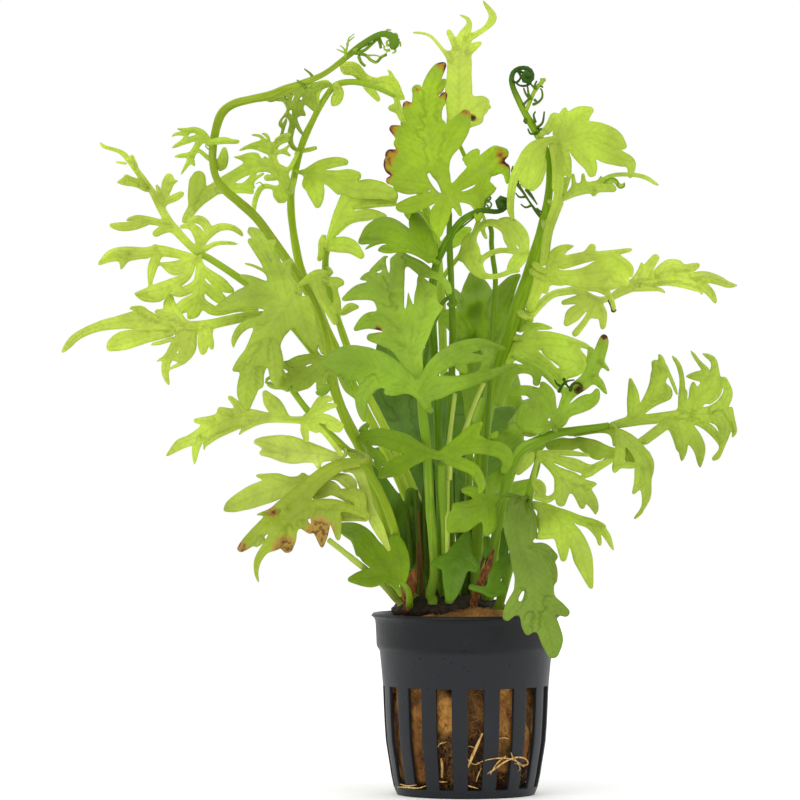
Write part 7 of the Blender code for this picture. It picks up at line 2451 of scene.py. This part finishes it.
@dataclass
class WoolPlug:
    """Mineral wool that fills the pot, torn and hollowed as it shows through the slots.

    Attributes:
        rows: Its side from the bottom to the top edge, radius and height.
        sides: Points round it.
        side_rings: Rings up its side.
        top_rings: Rings over its top.
        core: Radius of the top's innermost ring.
        rot_depth: How deep the rotten places are hollowed.
        pit_depth: Depth of the pits.
        pit_level: Noise above which there is a pit.
        notch_depth: Depth of the notch at the foot, right of the front.
        highest: Height that the top keeps under.
        finish: Its finish.
        hollow: Height up to which the front is hollow and darkened with painted shade, by the place across.
        hollow_behind: The same height on the far side.
    """

    rows: tuple[tuple[float, float], ...] = (
        (17.1, 1.6), (18.7, 3.4), (19.7, 8.2), (20.8, 15.0), (21.5, 30.5), (22.4, 40.0), (23.4, 45.5),
        (23.0, 49.0), (20.0, 49.9),
    )
    sides: int = 150
    side_rings: int = 54
    top_rings: int = 26
    core: float = 0.6
    rot_depth: float = 1.75
    pit_depth: float = 1.1
    pit_level: float = 0.34
    notch_depth: float = 2.2
    highest: float = 53.2
    finish: WoolFinish = WoolFinish("mineral_wool_fibre", "wool")
    hollow: tuple[tuple[float, float], ...] = (
        (-23.0, 4.0), (-19.0, 5.0), (-16.0, 4.0), (-11.5, 6.0), (-9.0, 15.0), (-4.0, 19.5), (-1.0, 17.0),
        (1.0, 19.0), (5.5, 16.0), (8.0, 7.0), (14.0, 8.0), (17.0, 8.5), (19.0, 11.5), (23.0, 9.0),
    )
    hollow_behind: float = 9.0

    def radius(self, height: float) -> float:
        """Radius of the plug at a height."""
        heights = [h for _, h in self.rows]
        return float(np.interp(height, heights, [r for r, _ in self.rows]))

    @staticmethod
    def top(x: float, y: float) -> float:
        """Height of the top at a place, with its hump at the front right."""
        hump = 3.2 * math.exp(-((x - 4.0) ** 2) / 130.0 - (y + 15.0) ** 2 / 40.0)
        return 49.6 + hump + 0.35 * math.sin(0.55 * x + 0.9) * math.cos(0.48 * y)

    def build(self, palette: Palette) -> bpy.types.Object:
        """Build the plug.

        Args:
            palette: The materials.

        Returns:
            The piece.
        """
        steps = np.linspace(self.rows[0][1], self.rows[-1][1], self.side_rings)
        side_rows = [(self.radius(h), float(h)) for h in steps]
        piece = Bench.ring("mineral_wool_plug", self.sides, *side_rows[0])
        Bench.raise_rings(side_rows)
        edge, height = self.rows[-1]
        Bench.raise_rings([(r, height) for r in np.linspace(edge, self.core, self.top_rings)])
        bpy.ops.mesh.merge(type="CENTER")
        Bench.pick(piece, lambda p: p.z < side_rows[0][1] + 0.01)
        bpy.ops.mesh.edge_face_add()
        bpy.ops.mesh.select_all(action="SELECT")
        bpy.ops.mesh.normals_make_consistent(inside=False)
        Bench.start()
        places = [vert.co / MM for vert in piece.data.vertices]
        # Stains, and painted shade in the hollows
        stains = [self._stain_and_shade(place) for place in places]
        for vert, place, stain_and_shade in zip(piece.data.vertices, places, stains):
            vert.co = self._tear(place, stain_and_shade) * MM
        piece.data.attributes.new("stain_and_shade", "FLOAT", "POINT").data.foreach_set("value", stains)
        Bench.finish(piece, palette.material(self.finish))
        return declare(piece, self.finish.slot, "mineral_wool")

    def _stain_and_shade(self, place: Vector) -> float:
        """Tell how rotten and hollow the side is: its stains, and painted shade where it is hollow.

        Args:
            place: A place on it.

        Returns:
            0 for sound wool up to 1 for a hollow.
        """
        limit = self.hollow_behind
        if place.y < 0.0:
            limit = float(np.interp(place.x, *zip(*self.hollow)))
        limit += 3.5 * noise.fractal(place * 0.16 + Vector((3.0, 0.0, 5.0)), 0.9, 2.0, 3)
        # Painted shade below the hollow's height
        low = min(1.0, max(0.0, (limit - place.z) / 2.0 + 0.5))
        dark = min(1.0, max(0.0, noise.noise(place * 0.13 + Vector((0.0, 9.0, 2.0))) * 3.0 - 0.6))
        brown = 0.75 if place.y < 0.0 and -1.5 < place.x < 7.5 and place.z < 44.0 else 0.0
        return max(low, dark * 0.8, brown)

    def _tear(self, place: Vector, stain_and_shade: float) -> Vector:
        """Push one point of the plug in or out.

        Args:
            place: Where it is.
            stain_and_shade: How rotten the wool is there, and how much painted shade its hollow takes.

        Returns:
            Its new place.
        """
        reach = math.hypot(place.x, place.y)
        turn = math.degrees(math.atan2(place.y, place.x))
        coarse = noise.fractal(place * 0.22, 0.8, 2.1, 4)
        fine = noise.fractal(place * 0.9, 0.9, 2.2, 3)
        push = 0.45 * coarse + 0.2 * fine - 0.3 - self.rot_depth * stain_and_shade
        if noise.noise(place * 0.31 + Vector((7.0, 1.0, 3.0))) > self.pit_level:
            push -= self.pit_depth
        if place.z < 6.4 and -72.0 < turn < -30.0:
            push -= self.notch_depth
        if reach < 20.4 and place.z > 45.0:
            lift = self.top(place.x, place.y) + 0.45 * coarse + 0.2 * fine
            return Vector((place.x, place.y, min(lift, self.highest)))
        share = max(0.6, 1.0 + min(push, 0.28) / max(reach, 4.0))
        return Vector((place.x * share, place.y * share, place.z))


@dataclass
class Fibres:
    """Loose fibres of the wool, straw and fine roots round the plug and the crown.

    Attributes:
        plug: The wool that they stand on.
        pot: The pot round it.
        seed: Seed of the fibres' draws; the hairs' is the next one.
        count: Number of fibres.
        hairs: Number of root hairs.
        straw: Finish of the straw and roots.
        dark: Finish of the root hairs.
        amber: Finish of the fibres.
        roots: Straw and roots that stand out at the front: across, up, stand-off from the wall, radius.
    """

    plug: WoolPlug
    pot: NetPot
    seed: int = 23
    count: int = 520
    hairs: int = 150
    straw: WoodyFinish = WoodyFinish("straw_root", "wool", srgb(222, 190, 120), srgb(168, 118, 58), 0.8)
    dark: WoodyFinish = WoodyFinish("dark_root_hair", "rhizome", srgb(98, 62, 32), srgb(36, 24, 14), 0.6)
    amber: WoodyFinish = WoodyFinish("amber_wool_fibre", "wool", srgb(206, 150, 72), srgb(140, 88, 34), 0.6)
    roots: tuple[tuple[tuple[float, ...], ...], ...] = (
        ((0.5, 7.4, -0.7, 0.3), (1.7, 10.2, -0.4, 0.46), (3.2, 13.6, -0.3, 0.42), (4.7, 16.9, -0.5, 0.24)),
        ((5.7, 5.4, 0.1, 0.2), (8.2, 7.0, 0.6, 0.24), (11.0, 9.0, 0.9, 0.26), (14.2, 10.2, 0.8, 0.24),
         (16.6, 9.8, 0.5, 0.22), (17.4, 8.4, 0.3, 0.2), (15.9, 8.0, 0.5, 0.16), (13.6, 8.6, 0.7, 0.12)),
        ((3.2, 8.6, -0.4, 0.1), (6.5, 9.6, 0.5, 0.15), (10.2, 10.0, 0.8, 0.18), (13.6, 9.4, 0.9, 0.2),
         (16.2, 7.6, 0.6, 0.18)),
        ((12.6, 11.6, 0.4, 0.1), (13.2, 10.2, 0.8, 0.16), (14.6, 8.6, 0.9, 0.18), (15.2, 6.9, 0.6, 0.12),
         (14.6, 6.4, 0.4, 0.08)),
        ((11.2, 10.6, 0.8, 0.12), (9.0, 8.8, 0.7, 0.18), (7.4, 6.4, 0.4, 0.16), (6.2, 3.8, 0.0, 0.1)),
        ((-6.9, 9.9, -0.9, 0.34), (-6.6, 7.4, -0.7, 0.38), (-6.7, 4.6, -0.9, 0.3)),
        ((-8.2, 12.4, -0.7, 0.12), (-7.2, 14.0, -0.5, 0.16), (-5.7, 14.4, -0.8, 0.1)),
        ((-9.0, 4.2, -0.4, 0.1), (-7.2, 3.4, 0.0, 0.16), (-5.2, 3.3, -0.2, 0.1)),
        ((-19.2, 1.9, 0.2, 0.12), (-16.6, 1.8, 0.6, 0.24), (-13.4, 1.6, 0.5, 0.2), (-11.2, 2.2, 0.1, 0.1)),
        ((-18.4, 2.7, 0.3, 0.14), (-16.2, 2.2, 0.5, 0.2), (-13.8, 2.5, 0.3, 0.1)),
        ((-0.1, 12.9, -0.6, 0.1), (1.2, 13.3, -0.3, 0.14), (3.0, 12.6, -0.5, 0.1)),
        ((0.2, 11.2, -0.5, 0.12), (0.7, 9.4, -0.3, 0.16), (2.4, 8.2, -0.4, 0.14), (3.9, 8.6, -0.6, 0.1)),
        ((0.3, 2.4, -0.3, 0.12), (1.8, 1.9, 0.1, 0.2), (3.4, 1.5, 0.1, 0.1)),
        ((9.2, 15.4, -0.6, 0.12), (10.6, 15.7, -0.4, 0.18), (12.0, 15.4, -0.6, 0.1)),
        ((2.9, 3.4, -0.5, 0.1), (3.6, 5.6, -0.3, 0.14), (4.4, 7.2, -0.5, 0.1)),
    )

    def _wall(self, x: float, z: float, out: float) -> np.ndarray:
        """Find a place in front of the pot's outer wall, on the line of sight.

        Args:
            x: Where it is seen across.
            z: Where it is seen up.
            out: How far it stands off the wall.

        Returns:
            The place in the row frame.
        """
        heights = [h for _, h in self.pot.profile]
        radius = float(np.interp(z, heights, [r for r, _ in self.pot.profile])) + out
        before = math.sqrt(max(1.0, radius**2 - x**2))
        reach = 1.0 - before / -EYE.y
        return np.array([EYE.x * (1 - reach) + x * reach, -before, EYE.z + (z - EYE.z) * reach])

    def build(self, palette: Palette) -> list[bpy.types.Object]:
        """Build the straw, the loose fibres and the root hairs, and give the pieces."""
        return [self._straw(palette), self._wool(palette), self._hairs(palette)]

    def _straw(self, palette: Palette) -> bpy.types.Object:
        """Build the straw and roots at the front slots.

        Args:
            palette: The materials.

        Returns:
            The piece.
        """
        maker = MeshMaker()
        for root in self.roots:
            curve = even_curve([(*self._wall(x, z, out), r) for x, z, out, r in root], 0.5, 3)
            maker.sweep(curve[:, :3], curve[:, 3], 7)
        return maker.settle("straw_roots", palette, self.straw)

    def _wool(self, palette: Palette) -> bpy.types.Object:
        """Build the short curled fibres all over the plug.

        Args:
            palette: The materials.

        Returns:
            The piece.
        """
        rng = random.Random(self.seed)
        maker = MeshMaker()
        for _ in range(self.count):
            turn = rng.uniform(0.0, math.tau)
            on_top = rng.random() < 0.3
            height = rng.uniform(2.6, 31.0)
            heading = rng.uniform(0.0, math.tau)
            length = rng.uniform(1.6, 4.6)
            bend = rng.uniform(-0.5, 0.5)
            radius = rng.uniform(0.05, 0.11)
            rise = rng.uniform(0.05, 0.4)
            span = rng.uniform(2.0, 21.5)
            path = []
            for step in range(5):
                share = step / 4.0
                along = length * (share - 0.5)
                turned = heading + bend * share * 2.0
                arch = rise * math.sin(math.pi * share)
                if on_top:
                    x = span * math.cos(turn) + along * math.cos(turned)
                    y = span * math.sin(turn) + along * math.sin(turned)
                    reach = min(1.0, 22.4 / max(1e-6, math.hypot(x, y)))
                    path.append((x * reach, y * reach, self.plug.top(x, y) + 0.1 + arch))
                else:
                    z = min(30.8, max(1.8, height + along * math.sin(turned)))
                    reach = self.plug.radius(z) - 0.25 + arch
                    swing = turn + along * math.cos(turned) / reach
                    path.append((reach * math.cos(swing), reach * math.sin(swing), z))
            maker.sweep(np.array(path), np.array([0.6, 1.0, 1.0, 0.9, 0.5]) * radius, 3)
        return maker.settle("wool_fibres", palette, self.amber)

    def _hairs(self, palette: Palette) -> bpy.types.Object:
        """Build the dark root hairs over the crown and down onto the wool.

        Args:
            palette: The materials.

        Returns:
            The piece.
        """
        rng = random.Random(self.seed + 1)
        maker = MeshMaker()
        for _ in range(self.hairs):
            turn = rng.uniform(0.0, math.tau)
            start = rng.uniform(3.0, 14.0)
            length = rng.uniform(2.5, 7.0)
            twist = rng.uniform(-0.35, 0.35)
            radius = rng.uniform(0.08, 0.18)
            path = []
            for step in range(6):
                share = step / 5.0
                reach = start + length * share
                angle = turn + twist * share
                x, y = CROWN[0] + reach * math.cos(angle), CROWN[1] + 0.8 * reach * math.sin(angle)
                limit = min(1.0, 22.3 / math.hypot(x, y))
                hump = max(0.0, 1.0 - (reach / 16.0) ** 2) * 4.2
                z = max(self.plug.top(x, y), 50.4 + hump) + 0.25 + 0.5 * math.sin(math.pi * share)
                path.append((x * limit, y * limit, z))
            maker.sweep(np.array(path), np.linspace(radius, radius * 0.4, 6), 4)
        return maker.settle("crown_root_hairs", palette, self.dark)


@dataclass
class Crown:
    """Knobbly rhizome with the torn stubs of two dead stalks.

    Attributes:
        size: The rhizome's half length, half breadth and half height.
        floor: Height of its flat underside.
        knob: Height of its knobs.
        bark: Its finish.
        stub: The stubs' finish.
        stubs: Each stub's route on the drawing plane: across, up, back, radius.
    """

    size: tuple[float, float, float] = (16.4, 12.4, 4.4)
    floor: float = 49.0
    knob: float = 0.75
    bark: WoodyFinish = WoodyFinish(
        "rhizome_bark", "rhizome", srgb(56, 38, 20), srgb(20, 17, 10), 1.4, (1, 1, 1), 0.72
    )
    stub: WoodyFinish = WoodyFinish(
        "dead_stub_fibre", "dead_stub", srgb(176, 108, 48), srgb(96, 54, 24), 0.8
    )
    stubs: dict[str, tuple[tuple[float, ...], ...]] = field(default_factory=lambda: {
        "dead_stub_left": ((-16.4, 51.5, -7.6, 1.2), (-16.2, 54.4, -8, 1.5), (-16, 57.5, -9.5, 2.0),
                           (-15, 60.5, -10, 1.7), (-14, 63, -10.5, 0.4)),
        "dead_stub_right": ((2.2, 52, -9, 0.9), (2.5, 54.6, -10, 1.0), (4.6, 60, -13.5, 1.1),
                            (6.6, 64.5, -15, 0.9), (7.8, 68.3, -16, 0.3)),
    })

    def build(self, palette: Palette) -> list[bpy.types.Object]:
        """Build the rhizome and its stubs.

        Args:
            palette: The materials.

        Returns:
            The pieces.
        """
        pieces = [self._rhizome(palette)]
        for name, route in self.stubs.items():
            maker = MeshMaker()
            curve = even_curve([(*sight(x, z, y), r) for x, z, y, r in route], 0.5, 3)
            radii = [r * (1 + 0.3 * noise.noise(Vector((x, y, z)) * 0.8)) for x, y, z, r in curve]
            maker.sweep(curve[:, :3], np.array(radii), 10, 0.3)
            pieces.append(maker.settle(name + "_torn", palette, self.stub, name))
        return pieces

    def _rhizome(self, palette: Palette) -> bpy.types.Object:
        """Build the low crown with its scarred, knobbly skin.

        Args:
            palette: The materials.

        Returns:
            The piece.
        """
        Bench.start()
        bpy.ops.mesh.primitive_uv_sphere_add(
            segments=96, ring_count=48, radius=MM, location=(0.0, 0.0, 0.0)
        )
        piece = bpy.context.object
        piece.name = piece.data.name = "rhizome_bark"
        x, y, z = CROWN
        bpy.ops.transform.resize(value=self.size)
        bpy.ops.transform.translate(value=(x * MM, y * MM, z * MM))
        bpy.ops.object.transform_apply(location=True, rotation=True, scale=True)
        for vert in piece.data.vertices:
            spot = vert.co / MM
            bulge = noise.fractal(spot * 0.45, 0.8, 2.0, 4)
            out = Vector((spot.x - x, spot.y - y, (spot.z - z) * 3.0)).normalized()
            spot += out * (self.knob * bulge)
            spot.z = max(spot.z, self.floor)
            vert.co = spot * MM
        Bench.finish(piece, palette.material(self.bark))
        return declare(piece, self.bark.slot, "rhizome")


class Plant:
    """All stalks, blades and threads of the fern."""

    def __init__(self, palette: Palette) -> None:
        """Read the stalks and leaves.

        Args:
            palette: The materials.
        """
        self.palette = palette
        self.stalks = [
            Stalk(name, stations(row, 4), STALK_TONES.get(name, Stem.GREEN).value)
            for name, row in STALKS.items()
        ]
        self.leaves = [Leaf(form, seed) for seed, form in enumerate(LEAVES)]
        self.threads = [Thread(form) for form in THREADS]

    def build(self) -> None:
        """Build every stalk, leaf and thread."""
        for stalk in self.stalks:
            stalk.build(self.palette)
        lines = np.vstack([stalk.centre() for stalk in self.stalks])
        for leaf in self.leaves:
            leaf.build(self.palette, lines)
        for thread in self.threads:
            thread.build(self.palette)


@dataclass
class Studio:
    """Pale floor, soft even light and the camera of the photograph.

    Attributes:
        floor_size: Side of the floor, in metres.
        sky: Strength of the white surroundings.
        lights: Each light's name, place in metres, side in metres and power in watts.
        aim: Where the lights point, in metres.
        clip: Nearest and farthest distance that the camera shows, in metres.
    """

    floor_size: float = 24.0
    sky: float = 1.0
    lights: tuple[tuple[str, tuple[float, float, float], float, float], ...] = (
        ("key", (-0.55, -0.95, 1.05), 0.9, 5.0),
        ("fill", (0.95, -0.7, 0.55), 0.9, 1.5),
        ("back", (0.15, 0.95, 0.75), 1.1, 3.0),
    )
    aim: tuple[float, float, float] = (-0.01, 0.0, 0.11)
    clip: tuple[float, float] = (0.05, 60.0)

    def build(self) -> None:
        """Build the studio."""
        self._floor()
        self._world()
        for row in self.lights:
            self._light(*row)
        self._camera()
        bpy.context.scene.view_settings.view_transform = "Standard"

    def _floor(self) -> None:
        """Lay the pale floor."""
        Bench.start()
        bpy.ops.mesh.primitive_plane_add(size=self.floor_size, location=(0.0, 0.0, 0.0))
        floor = bpy.context.object
        floor.name = floor.data.name = "pale_floor"
        graph = Graph("pale_floor")
        graph.surface(Base_Color=(1.0, 1.0, 1.0), Roughness=0.9, Specular_IOR_Level=0.1)
        floor.data.materials.append(graph.material)

    def _world(self) -> None:
        """Make the surroundings plain white."""
        world = bpy.data.worlds.new("white_studio")
        world.use_nodes = True
        background = world.node_tree.nodes["Background"]
        background.inputs["Color"].default_value = (1.0, 1.0, 1.0, 1.0)
        background.inputs["Strength"].default_value = self.sky
        bpy.context.scene.world = world

    def _light(self, name: str, place: tuple[float, float, float], size: float, power: float) -> None:
        """Set up a soft square light that faces the plant.

        Args:
            name: Its name.
            place: Where it stands, in metres.
            size: Its side, in metres.
            power: Its power, in watts.
        """
        light = bpy.data.lights.new(name, "AREA")
        light.size = size
        light.energy = power
        item = bpy.data.objects.new(name, light)
        item.location = place
        ahead = Vector(self.aim) - item.location
        item.rotation_euler = ahead.to_track_quat("-Z", "Y").to_euler()
        bpy.context.scene.collection.objects.link(item)

    def _camera(self) -> None:
        """Set up the camera at the photograph's eye point, level and square on."""
        lens = bpy.data.cameras.new("camera")
        lens.lens = FOCAL
        lens.sensor_width = SENSOR
        lens.clip_start, lens.clip_end = self.clip
        camera = bpy.data.objects.new("camera", lens)
        camera.location = (EYE + CAMERA_SHIFT) * MM
        camera.rotation_euler = Euler((math.radians(90.0), 0.0, 0.0))
        bpy.context.scene.collection.objects.link(camera)
        bpy.context.scene.camera = camera


def main() -> None:
    """Load the frame, build and dress the plant, and set up the studio."""
    logging.basicConfig(level=logging.INFO, format="%(message)s")
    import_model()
    palette = Palette()
    pot = NetPot()
    pot.build(palette)
    plug = WoolPlug()
    plug.build(palette)
    Crown().build(palette)
    Fibres(plug, pot).build(palette)
    Plant(palette).build()
    Studio().build()


if __name__ == "__main__":
    main()
